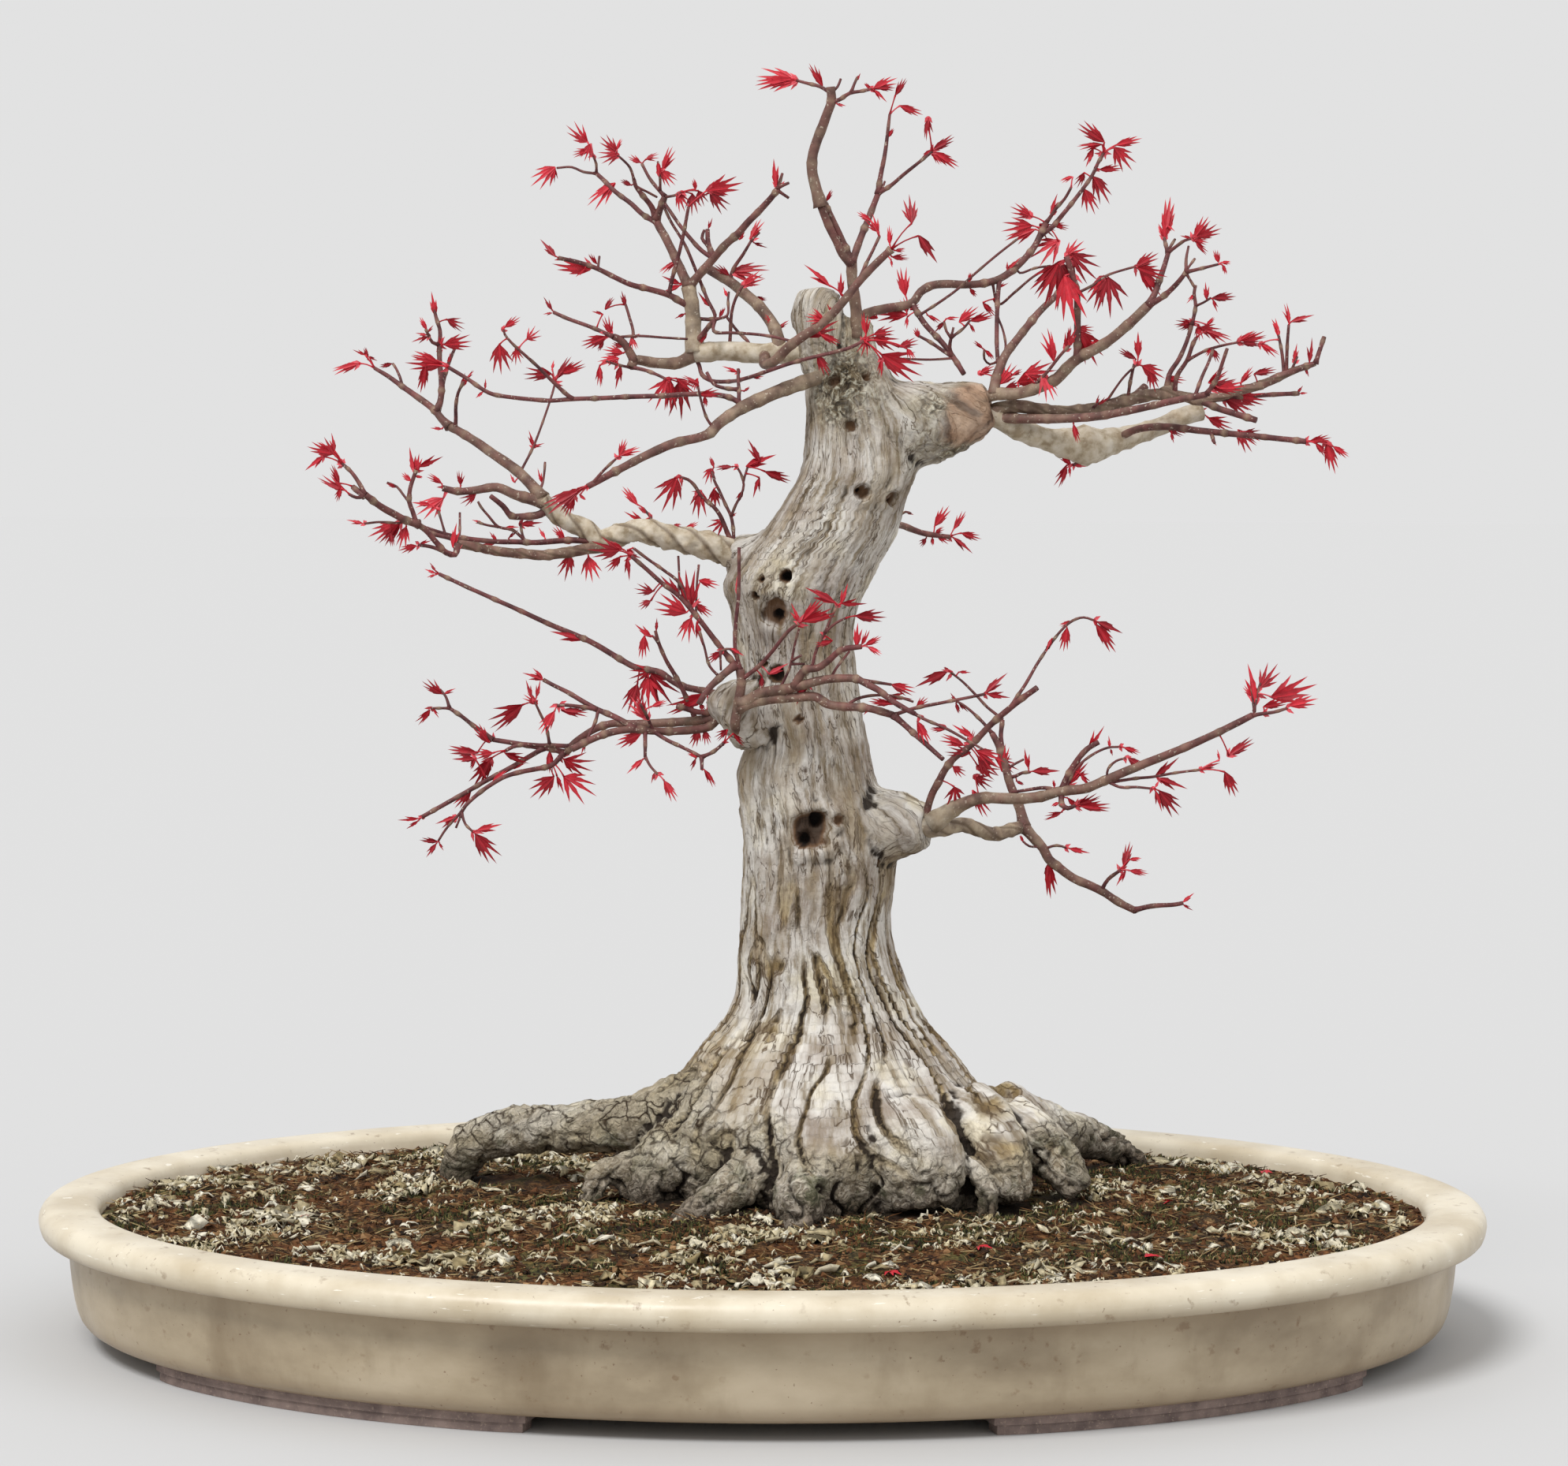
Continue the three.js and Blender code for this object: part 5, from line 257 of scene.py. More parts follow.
BRANCHES["branch_crown_left"] = {"depth": 0, "limbs": [
    [4.6, 3.9, 14, 1062, 448, 1032, 446, 1000, 448, 960, 448, 920, 445, 882, 448],
    [3.4, 2.9, 4, 882, 448, 879, 420, 878, 395, 873, 364],
    [2.6, 2.0, -8, 882, 452, 860, 460, 830, 460, 805, 457, 800, 466],
    [1.7, 1.4, -2, 803, 457, 795, 441, 787, 431, 778, 427],
    [0.9, 0.8, 14, 778, 427, 750, 415, 720, 404, 702, 396],
    [0.7, 0.6, 6, 800, 440, 803, 425, 798, 402, 793, 386],
    [0.6, 0.5, 2, 780, 427, 810, 426, 840, 428, 872, 430],
    [0.6, 0.5, -8, 800, 466, 785, 463, 768, 458],
    [0.9, 0.6, -10, 802, 466, 820, 470, 835, 476, 845, 481],
    [2.0, 1.6, 10, 873, 364, 862, 340, 853, 320, 843, 300, 834, 284, 831, 275],
    [1.1, 0.9, 20, 833, 283, 815, 272, 800, 258, 780, 243, 765, 228, 756, 220],
    [0.6, 0.4, -4, 756, 220, 756, 208, 752, 198],
    [0.6, 0.5, 6, 756, 220, 740, 218, 725, 212, 706, 213],
    [1.3, 0.8, -8, 831, 275, 826, 262, 815, 248, 806, 236, 804, 228],
    [0.6, 0.5, -6, 804, 230, 799, 213, 790, 203, 783, 197],
    [0.6, 0.4, 6, 808, 236, 820, 243, 833, 250],
    [1.5, 1.3, -4, 832, 278, 838, 262, 843, 249],
    [0.9, 0.6, 6, 843, 249, 833, 238, 823, 225, 814, 208],
    [0.6, 0.5, -8, 836, 243, 837, 228, 834, 205],
    [0.6, 0.5, -8, 843, 250, 855, 248, 864, 244],
    [1.9, 1.2, -20, 873, 364, 885, 350, 898, 335, 905, 327, 920, 310, 935, 297, 950, 280, 965, 265,
     980, 248, 986, 240],
    [1.2, 0.9, 4, 904, 327, 898, 308, 897, 291],
    [0.9, 0.6, 5, 899, 312, 890, 302, 893, 292],
    [0.8, 0.6, 3, 986, 240, 992, 220],
    [0.8, 0.6, -3, 988, 238, 1000, 232],
    [0.7, 0.6, 2, 988, 243, 1000, 251],
    [1.4, 0.8, -14, 876, 390, 862, 382, 848, 374, 820, 366, 800, 361, 780, 352, 758, 341, 735, 333,
     708, 327],
    [0.5, 0.4, 3, 758, 341, 760, 325],
    [0.9, 0.7, -6, 848, 374, 852, 355, 860, 325, 867, 295, 873, 262],
    [0.8, 0.6, 8, 906, 403, 896, 378, 885, 350, 868, 310, 850, 280, 839, 256],
    [1.0, 0.7, 10, 905, 328, 890, 318, 875, 302, 860, 283, 843, 258],
    [2.6, 2.0, 26, 988, 436, 980, 412, 962, 388, 945, 373, 925, 357, 905, 345, 893, 338],
    [0.7, 0.6, 6, 950, 436, 935, 420, 920, 400],
    [1.3, 0.9, -10, 884, 438, 897, 416, 907, 405],
    [0.6, 0.5, 4, 907, 405, 922, 400, 923, 380, 924, 370],
    [0.8, 0.6, -6, 925, 440, 926, 425, 928, 395, 933, 378, 942, 362],
    [0.7, 0.6, -24, 907, 407, 905, 420, 930, 422, 960, 424, 985, 428, 1005, 433],
    [0.9, 0.6, -4, 925, 357, 930, 341, 942, 323, 952, 306],
    [0.5, 0.4, 2, 952, 306, 963, 295],
    [2.1, 1.5, -24, [970, 462, 0, -8], [982, 458, 0, -16], [1000, 440, 0, -20], [1020, 425, 0, -22],
     [1040, 412, 0, -24], [1060, 393, 0, -26], [1075, 375, 0, -27], [1085, 362, 0, -27],
     [1100, 345, 0, -28], [1115, 330, 0, -28], [1130, 316, 0, -29]],
    [0.8, 0.6, 6, 1087, 358, 1098, 335, 1108, 315, 1115, 300],
    [0.9, 0.7, -26, 886, 462, 890, 475, 902, 483, 920, 484, [945, 480, 0, -12], [975, 470, 0, -22],
     [1005, 460, 0, -26], [1035, 452, 0, -29], [1060, 446, 0, -31], [1080, 440, 0, -32],
     [1095, 432, 0, -32]],
], "leaves": [
    (35, 745, 180, -28, -20), (30, 749, 182, -8, 23), (20, 747, 190, -21, 7), (35, 704, 212, -31, 23),
    (30, 704, 214, -7, 18), (35, 784, 196, -26, 4), (30, 782, 192, -22, -19), (15, 782, 190, 5, -15),
    (25, 780, 232, -37, 27), (20, 800, 235, -14, -7), (25, 812, 206, -16, -7), (30, 819, 202, 17, -8),
    (30, 838, 216, 18, 19), (20, 840, 216, 12, -32), (15, 834, 205, 2, 20), (35, 860, 244, 8, 26),
    (35, 878, 246, -2, 29), (40, 886, 242, 7, 20), (25, 897, 241, 48, -9), (30, 900, 244, 24, 25),
    (20, 882, 240, -2, -14), (12, 898, 290, 6, -14), (8, 984, 236, -4, -35), (12, 938, 304, 6, -10),
    (12, 704, 325, -19, -22), (10, 712, 328, -9, 2), (15, 757, 335, -12, -13), (20, 748, 342, -48, -6),
    (10, 742, 340, -13, 12), (12, 862, 360, -24, -10), (12, 862, 362, -22, 8), (15, 858, 331, -24, 14),
    (12, 700, 393, -12, -17), (10, 700, 397, -12, 1), (12, 793, 388, -5, -20), (25, 775, 424, -10, -24),
    (15, 767, 392, 11, -17), (10, 764, 398, -14, -3), (20, 768, 427, -33, 13), (15, 765, 432, -7, 14),
    (30, 800, 428, 8, 16), (15, 802, 428, 10, -4), (25, 790, 448, -26, -5), (25, 784, 454, -27, 4),
    (15, 760, 464, 2, 26), (12, 787, 464, -7, 29), (20, 790, 440, -15, -5), (40, 846, 482, -14, 38),
    (20, 850, 484, 0, 41), (40, 861, 485, 5, 50), (25, 858, 480, 24, 20), (30, 886, 459, 7, -8),
    (15, 896, 424, -9, 12), (15, 912, 402, 8, -13), (12, 922, 376, -5, -12), (25, 942, 362, 26, -15),
    (30, 928, 345, 47, -5), (25, 926, 350, 6, 12), (20, 925, 350, -19, -14), (20, 952, 302, 13, -27),
    (12, 956, 308, 17, 7), (15, 957, 377, 16, 4), (15, 985, 418, -14, -20), (15, 985, 418, 15, -13),
    (12, 868, 398, -13, 6), (12, 899, 388, -15, -18), (12, 982, 452, -17, -10), (12, 955, 479, 14, -2),
    (20, 1022, 427, 43, -22), (15, 1040, 424, 28, 12), (20, 1036, 450, 17, 28), (15, 1045, 448, 21, 4),
    (20, 1098, 424, -4, -28), (40, 1099, 430, -7, 22), (30, 1108, 428, 33, 12), (25, 1108, 424, 28, -5),
    (30, 1118, 450, 52, 30), (15, 1117, 456, 1, 22), (20, 1140, 440, 26, -10), (25, 1150, 442, 10, 14),
    (15, 1128, 310, -1, -24), (20, 1135, 318, 13, -3), (20, 1131, 326, 22, 2), (25, 1156, 283, -3, -37),
    (12, 1165, 299, 25, 37), (10, 1130, 330, 1, 10), (30, 1114, 294, -16, -22), (15, 1104, 280, -19, -12),
    (12, 1066, 374, 0, -29), (12, 1051, 362, -30, -28), (12, 1055, 397, -7, -12), (25, 1045, 407, -25, -7),
    (15, 1044, 406, -13, -16),
]}
BRANCHES["branch_apex"] = {"depth": -4, "limbs": [
    [2.6, 2.1, -4, 1086, 428, 1086, 400, 1083, 375, 1080, 350, 1080, 333],
    [1.7, 1.6, -6, 1078, 335, 1068, 322, 1060, 305, 1050, 285, 1041, 262],
    [1.5, 1.4, -2, 1080, 335, 1072, 315, 1062, 293, 1048, 265, 1041, 255],
    [2.3, 1.8, -4, 1041, 260, 1035, 240, 1030, 220, 1030, 200, 1035, 180, 1043, 160, 1049, 143, 1054, 128,
     1053, 110],
    [0.8, 0.6, 6, 1054, 118, 1040, 110, 1025, 106, 1010, 102],
    [0.9, 0.6, -8, 1055, 131, 1065, 126, 1078, 118, 1090, 116, 1105, 113],
    [0.7, 0.5, 2, 1079, 117, 1083, 107, 1087, 98],
    [0.6, 0.5, 2, 1056, 118, 1062, 110, 1066, 100],
    [1.5, 1.2, 12, 1082, 330, 1090, 305, 1100, 280, 1107, 262, 1113, 246],
    [1.1, 0.6, 6, 1113, 246, 1117, 220, 1122, 195, 1125, 172, 1128, 145],
    [0.9, 0.6, -8, 1114, 246, 1130, 235, 1145, 222, 1160, 210, 1175, 198, 1182, 192],
    [0.5, 0.4, 2, 1117, 243, 1122, 230],
], "leaves": [
    (35, 1008, 102, -48, -7), (15, 1003, 100, -45, 7), (15, 1043, 109, -18, -28), (12, 1061, 132, 12, 2),
    (12, 1086, 102, 5, -9), (20, 1107, 113, 31, -16), (15, 1104, 113, -9, -8), (12, 1108, 114, 17, 15),
    (15, 1113, 112, 23, -1), (15, 1048, 255, 6, -15), (15, 1126, 174, 7, -12), (15, 1135, 121, 15, -23),
    (15, 1141, 134, 30, 12), (20, 1177, 150, -4, 29), (15, 1183, 190, 29, -18), (15, 1184, 193, 33, 19),
    (12, 1180, 190, -14, 13), (15, 1182, 195, 13, 13),
]}
BRANCHES["branch_crown_right"] = {"depth": 6, "limbs": [
    [2.0, 1.3, 26, 1080, 412, 1098, 398, 1125, 391, 1145, 388, 1158, 383, 1167, 370, 1182, 362, 1200, 360,
     1230, 361, 1258, 357, 1270, 352, 1285, 342, 1300, 327, 1312, 312, 1319, 298, 1326, 283],
    [1.1, 0.7, 10, 1319, 298, 1335, 287, 1345, 275, 1365, 250, 1385, 222, 1392, 207, 1399, 194],
    [0.8, 0.6, -6, 1330, 278, 1340, 263, 1350, 252, 1358, 238],
    [1.2, 1.1, -20, 1158, 388, 1172, 410, 1195, 435, 1208, 452, 1222, 474],
    [0.9, 0.6, 4, 1208, 453, 1196, 445, 1180, 434, 1165, 426],
    [0.6, 0.5, -8, 1170, 397, 1210, 370, 1235, 348, 1262, 325, 1290, 303],
    [0.6, 0.5, -14, 1266, 386, 1285, 372, 1310, 351, 1330, 340],
    [0.5, 0.4, -4, 1293, 346, 1312, 340, 1332, 337],
    [1.0, 0.9, -16, 1268, 355, 1265, 380, 1264, 410, 1264, 440, 1266, 466],
    [0.5, 0.5, -6, 1266, 400, 1272, 420, 1275, 440, 1270, 458],
    [0.9, 0.7, -4, 1207, 452, 1204, 440, 1206, 428],
    [0.6, 0.5, 2, 1206, 428, 1200, 420, 1197, 408],
    [0.6, 0.5, -2, 1206, 428, 1222, 416, 1230, 406],
    [0.5, 0.4, 0, 1206, 428, 1209, 415],
    [0.5, 0.4, -4, 1264, 458, 1255, 462, 1248, 455, 1248, 444],
    [0.5, 0.4, -3, 1208, 455, 1180, 456, 1145, 455],
], "leaves": [
    (15, 1415, 184, 33, -9), (35, 1413, 187, 24, 31), (20, 1400, 180, -33, -23), (15, 1397, 183, -31, 1),
    (12, 1386, 188, -9, 25), (15, 1394, 215, 30, -1), (30, 1374, 219, -8, 21), (30, 1386, 224, 22, 34),
    (30, 1375, 240, 14, 32), (20, 1360, 224, -17, 5), (12, 1333, 270, 7, -25), (30, 1307, 274, -25, -12),
    (35, 1308, 286, -38, 7), (20, 1312, 291, -40, 13), (40, 1318, 284, 20, 18), (20, 1335, 284, 21, 7),
    (45, 1342, 306, -38, 20), (12, 1276, 345, 18, -20), (8, 1277, 342, 0, -11), (20, 1229, 357, 2, -12),
    (10, 1266, 364, 14, -5), (20, 1230, 366, 8, 12), (15, 1246, 384, 16, 17), (30, 1150, 396, -5, -21),
    (25, 1154, 393, 12, -8), (20, 1150, 399, -42, -1), (25, 1112, 404, -22, -8), (12, 1150, 402, 0, 16),
    (15, 1176, 400, 19, 8), (20, 1148, 375, -8, -38), (12, 1197, 408, -14, 16), (22, 1216, 408, 24, -19),
    (12, 1200, 404, 16, -2), (15, 1230, 407, 32, -7), (15, 1230, 412, 7, 10), (15, 1246, 442, -11, -11),
    (15, 1249, 444, 13, 12), (25, 1165, 428, -5, -13),
]}
BRANCHES["branch_right_upper"] = {"depth": -4, "limbs": [
    [2.6, 2.0, -30, 1242, 506, 1264, 500, 1290, 499, 1315, 492, 1340, 480, 1352, 467, 1366, 455, 1400, 436,
     1430, 412, 1456, 387],
    [2.1, 1.2, 22, 1260, 499, 1262, 484, 1268, 465, 1275, 450, 1293, 426, 1320, 393, 1338, 376, 1352, 360],
    [1.4, 1.0, 8, 1456, 387, 1465, 370, 1470, 355, 1476, 338, 1481, 321],
    [0.9, 0.6, 4, 1481, 321, 1478, 310, 1475, 298],
    [0.6, 0.5, 2, 1483, 318, 1490, 303],
    [0.8, 0.5, -8, 1482, 320, 1492, 312, 1502, 305, 1513, 302],
    [1.3, 0.9, -12, 1456, 387, 1472, 378, 1490, 362, 1504, 345],
    [0.7, 0.5, 4, 1503, 343, 1504, 328, 1507, 312],
    [0.8, 0.5, -8, 1504, 345, 1525, 340, 1545, 335],
    [0.5, 0.4, 3, 1504, 343, 1515, 328],
    [0.6, 0.5, 0, 1505, 347, 1515, 365],
    [1.5, 1.2, -6, 1366, 455, 1366, 425, 1366, 395, 1365, 370, 1360, 350, 1352, 325],
    [0.6, 0.4, -10, 1365, 372, 1385, 362, 1402, 350, 1425, 342, 1440, 338],
    [0.8, 0.6, -14, 1305, 498, 1325, 475, 1345, 450, 1356, 438],
], "leaves": [
    (50, 1343, 332, -1, 64), (30, 1350, 350, 13, 62), (35, 1341, 335, -27, 47), (35, 1352, 325, 23, -21),
    (40, 1358, 322, 32, 34), (45, 1405, 352, 3, 53), (30, 1400, 352, -14, 43), (20, 1440, 338, 30, -18),
    (20, 1442, 340, 38, 12), (15, 1445, 342, 30, 36), (25, 1398, 352, -18, 28), (12, 1477, 303, -3, -31),
    (14, 1478, 298, 6, -51), (10, 1480, 286, 10, 7), (20, 1514, 301, 19, -27), (25, 1518, 300, 32, -10),
    (20, 1514, 304, 20, 4), (15, 1516, 307, 14, 16), (10, 1510, 302, -14, -3), (20, 1545, 333, -5, -17),
    (20, 1549, 333, 12, -1), (20, 1550, 336, 6, 12), (25, 1268, 487, 22, -25), (25, 1285, 476, 11, -9),
    (35, 1290, 485, 40, -10), (35, 1300, 474, 40, -4), (30, 1322, 476, 16, 32), (25, 1275, 492, 25, -5),
    (20, 1336, 458, -6, -43), (25, 1350, 442, 16, -27), (15, 1354, 432, 4, -17), (30, 1368, 420, 24, 46),
    (25, 1366, 416, 22, 4), (20, 1384, 434, 26, 4), (20, 1242, 474, 21, -12),
]}
BRANCHES["branch_right_wired"] = {"depth": -6, "limbs": [
    [3.4, 3.8, 40, 1236, 524, 1258, 528, 1290, 545, [1320, 555, 4.5], [1350, 562, 6], [1378, 566, 8],
     [1405, 561, 5.5], [1440, 551, 4.2], [1470, 541, 3.8], [1500, 528, 3.8], [1522, 522, 4]],
    [2.7, 1.4, -10, 1262, 520, 1278, 516, 1300, 516, 1335, 522, 1370, 521, 1400, 516, [1435, 506, 2.6],
     [1470, 500, 2.4], [1500, 503, 2.2], [1525, 508, 2.2], [1545, 503, 2.0], [1565, 496, 2.0],
     [1590, 491, 1.9], [1620, 479, 1.8], [1640, 470, 1.5], [1668, 461, 1.1]],
    [2.1, 1.3, -34, 1265, 526, 1300, 531, 1340, 531, 1390, 528, 1440, 519, 1480, 510, 1515, 503, 1530, 500],
    [1.0, 0.7, -8, 1530, 500, 1543, 480, 1550, 460, 1556, 442],
    [1.4, 1.3, -10, 1522, 510, 1545, 518, 1570, 526, 1593, 533],
    [1.6, 1.1, -50, 1410, 555, 1440, 545, 1475, 541, 1520, 546, 1570, 551, 1620, 556, 1656, 560],
    [1.1, 0.9, 10, 1530, 508, 1560, 505, 1590, 502, 1620, 500, 1647, 499],
    [0.8, 0.6, -6, 1430, 508, 1433, 485, 1438, 462],
    [0.5, 0.4, -8, 1398, 516, 1425, 478, 1442, 462],
    [0.8, 0.6, -6, 1383, 520, 1392, 512],
    [1.1, 0.8, 8, 1480, 500, 1482, 476, 1495, 455, 1505, 432, 1511, 412],
    [1.0, 0.8, -4, 1490, 500, 1492, 478, 1505, 457, 1513, 435, 1517, 428],
    [0.7, 0.5, -10, 1505, 457, 1530, 444, 1550, 438, 1570, 434],
    [0.8, 0.7, 4, 1511, 412, 1514, 400, 1516, 388, 1514, 372, 1516, 362],
    [0.5, 0.4, -6, 1516, 388, 1525, 384, 1535, 378],
    [0.8, 0.6, 8, 1515, 503, 1524, 478, 1533, 458, 1538, 443],
    [1.0, 0.9, 2, 1668, 461, 1673, 445, 1679, 427],
    [0.8, 0.6, 4, 1628, 474, 1625, 445, 1621, 425],
    [0.8, 0.6, -4, 1631, 474, 1632, 440, 1634, 412],
    [0.6, 0.5, 0, 1637, 472, 1645, 452],
    [2.0, 1.6, 4, 1440, 506, 1452, 490],
    [2.6, 2.0, 6, 1478, 500, 1488, 484],
    [0.8, 0.6, -6, 1392, 566, 1385, 578, 1370, 585, 1360, 590],
    [0.8, 0.6, -6, 1535, 548, 1540, 562],
], "leaves": [
    (10, 1660, 459, 5, -31), (10, 1655, 467, 5, 12), (12, 1621, 428, -3, -27), (10, 1620, 418, -8, -14),
    (15, 1634, 410, -1, -28), (10, 1637, 408, 30, -10), (12, 1641, 458, 3, -22), (15, 1361, 538, 5, 24),
    (20, 1480, 543, 20, 10), (15, 1490, 546, 20, -2), (12, 1485, 549, 3, 13), (12, 1536, 556, 7, 10),
    (30, 1570, 545, 18, 31), (25, 1576, 549, 26, 2), (20, 1573, 547, 25, 12), (15, 1660, 560, 30, -5),
    (15, 1668, 562, 16, 18), (18, 1682, 561, 11, 39), (15, 1690, 566, 22, 14), (10, 1645, 498, 7, -9),
    (6, 1648, 499, 10, -1), (20, 1532, 485, 28, -15), (25, 1535, 492, 40, -8), (20, 1545, 492, 35, -2),
    (15, 1573, 486, 15, -22), (15, 1590, 474, 29, -6), (20, 1552, 505, 38, 16), (25, 1568, 502, 40, 7),
    (25, 1560, 508, 26, 13), (25, 1532, 530, 30, 15), (20, 1545, 500, -20, 5), (10, 1390, 513, 3, -13),
    (10, 1393, 513, 16, -11), (12, 1443, 452, 0, -34), (15, 1440, 455, -24, -12), (30, 1448, 464, 30, 16),
    (25, 1458, 470, 7, 28), (20, 1478, 480, 27, 2), (25, 1514, 410, -22, 10), (25, 1512, 408, -24, 5),
    (30, 1520, 412, 0, 22), (30, 1522, 415, 28, 10), (20, 1530, 420, 32, 10), (15, 1530, 412, 10, -10),
    (20, 1537, 442, 9, 19), (15, 1536, 440, -6, 13), (15, 1570, 433, 22, -15), (15, 1573, 432, 35, -6),
    (15, 1575, 435, 28, 2), (18, 1598, 436, 24, 13), (12, 1516, 372, -11, 12), (12, 1530, 380, -2, -23),
    (15, 1537, 378, 33, -2), (12, 1538, 380, 5, 16), (15, 1358, 590, -17, -20), (12, 1362, 590, 16, 2),
    (22, 1352, 590, -9, 31), (10, 1356, 592, 1, 14),
]}
BRANCHES["branch_front"] = {"depth": -21, "limbs": [
    [2.2, 1.8, -4, [936, 932, 0, -12], 932, 916, 935, 900, 938, 880, 940, 865, 938, 848],
    [0.9, 0.7, -2, 938, 848, 932, 820, 933, 790, 936, 760, 937, 730, 937, 694],
    [1.2, 0.8, -10, 938, 850, 925, 835, 905, 810, 890, 790, 878, 775, 860, 755, 840, 740, 820, 722,
     800, 705],
    [0.7, 0.6, -4, 878, 775, 862, 740, 840, 722, 820, 708, 803, 695],
    [0.5, 0.4, 4, 863, 752, 861, 730, 860, 705],
    [0.5, 0.4, 4, 883, 780, 883, 755, 884, 735, 886, 716],
    [1.6, 1.3, -4, 930, 845, 912, 860, 897, 875, 886, 893],
    [0.6, 0.5, -4, 912, 858, 900, 845, 893, 820, 887, 800],
    [0.5, 0.4, -4, 934, 835, 925, 823, 912, 826],
    [0.5, 0.4, 2, 914, 828, 914, 850],
    [0.9, 0.7, -16, 942, 862, 962, 845, 980, 825, 1000, 800, 1013, 790],
    [2.4, 1.0, -30, 940, 892, 950, 888, 965, 879, 1000, 873, 1020, 868, 1045, 862, 1070, 860, 1086, 861,
     1100, 868, 1115, 876, 1130, 888, 1150, 900, 1160, 905],
    [0.6, 0.5, -6, 988, 874, 1000, 850, 1004, 836, 1009, 812, 1013, 798],
    [0.5, 0.4, -3, 1004, 838, 1016, 831],
    [0.5, 0.4, 2, 1003, 842, 1020, 842],
    [1.7, 1.1, -14, 1008, 872, 1015, 856, 1022, 849, 1037, 847, 1050, 838, 1065, 825, 1075, 822, 1092, 820],
    [0.7, 0.5, -6, 1029, 846, 1036, 822, 1046, 803, 1060, 790, 1072, 784],
    [0.6, 0.5, -2, 1046, 803, 1054, 783, 1062, 768],
    [0.8, 0.6, 4, 1086, 861, 1110, 865, 1130, 868],
    [0.6, 0.5, 6, 1053, 861, 1060, 848, 1077, 826],
    [2.3, 1.4, -22, 940, 898, 955, 890, 980, 886, 1010, 884, 1035, 884, 1050, 893, 1070, 896, 1100, 898,
     1133, 907],
    [1.3, 0.9, -10, 1133, 907, 1150, 922, 1170, 940, 1190, 958, 1196, 963],
    [0.8, 0.6, -8, 1133, 905, 1160, 898, 1200, 890, 1230, 884, 1249, 880],
    [0.7, 0.5, 6, 1072, 896, 1085, 887, 1105, 882, 1135, 883, 1158, 890],
    [0.7, 0.5, -6, 1158, 904, 1170, 911, 1200, 924, 1225, 938, 1246, 950],
], "leaves": [
    (8, 935, 755, -1, -27), (25, 875, 770, -7, -48), (20, 881, 766, 22, 15), (30, 870, 777, -41, -15),
    (35, 876, 784, -14, 31), (12, 883, 790, 9, 30), (12, 861, 755, -25, -26), (22, 886, 736, 27, 6),
    (35, 828, 750, -25, -3), (28, 825, 762, -17, 8), (20, 915, 826, -20, 15), (12, 926, 822, 19, 10),
    (30, 888, 893, 5, 10), (12, 1013, 790, -9, -26), (15, 1018, 786, 25, -27), (15, 1018, 788, 42, -10),
    (10, 1010, 793, 11, 4), (20, 1085, 781, 40, 3), (12, 1058, 764, -36, -20), (12, 1066, 765, 10, -25),
    (12, 1067, 765, 33, 2), (12, 1052, 783, -17, -9), (12, 1086, 820, 1, -31), (15, 1092, 818, 12, -19),
    (15, 1097, 818, 21, -11), (15, 1100, 820, 18, 9), (15, 1055, 813, -22, 5), (12, 1022, 862, -13, 34),
    (20, 966, 858, 0, 18), (12, 975, 855, 25, -15), (20, 1130, 868, 30, 10), (12, 1128, 882, 30, 6),
    (15, 1130, 892, -32, -2), (10, 1102, 898, -7, 9), (25, 1162, 896, 16, -12), (20, 1163, 915, 17, 30),
    (15, 1198, 925, -20, -1), (10, 1200, 922, -10, -5), (12, 1233, 934, -27, -15), (12, 1250, 878, 26, -25),
    (12, 1252, 880, 31, 6), (35, 785, 698, -40, 0), (15, 790, 697, -22, -12), (25, 795, 698, 11, 4),
    (25, 786, 706, -16, 21), (12, 795, 708, 4, 29), (10, 797, 703, 18, 5),
]}
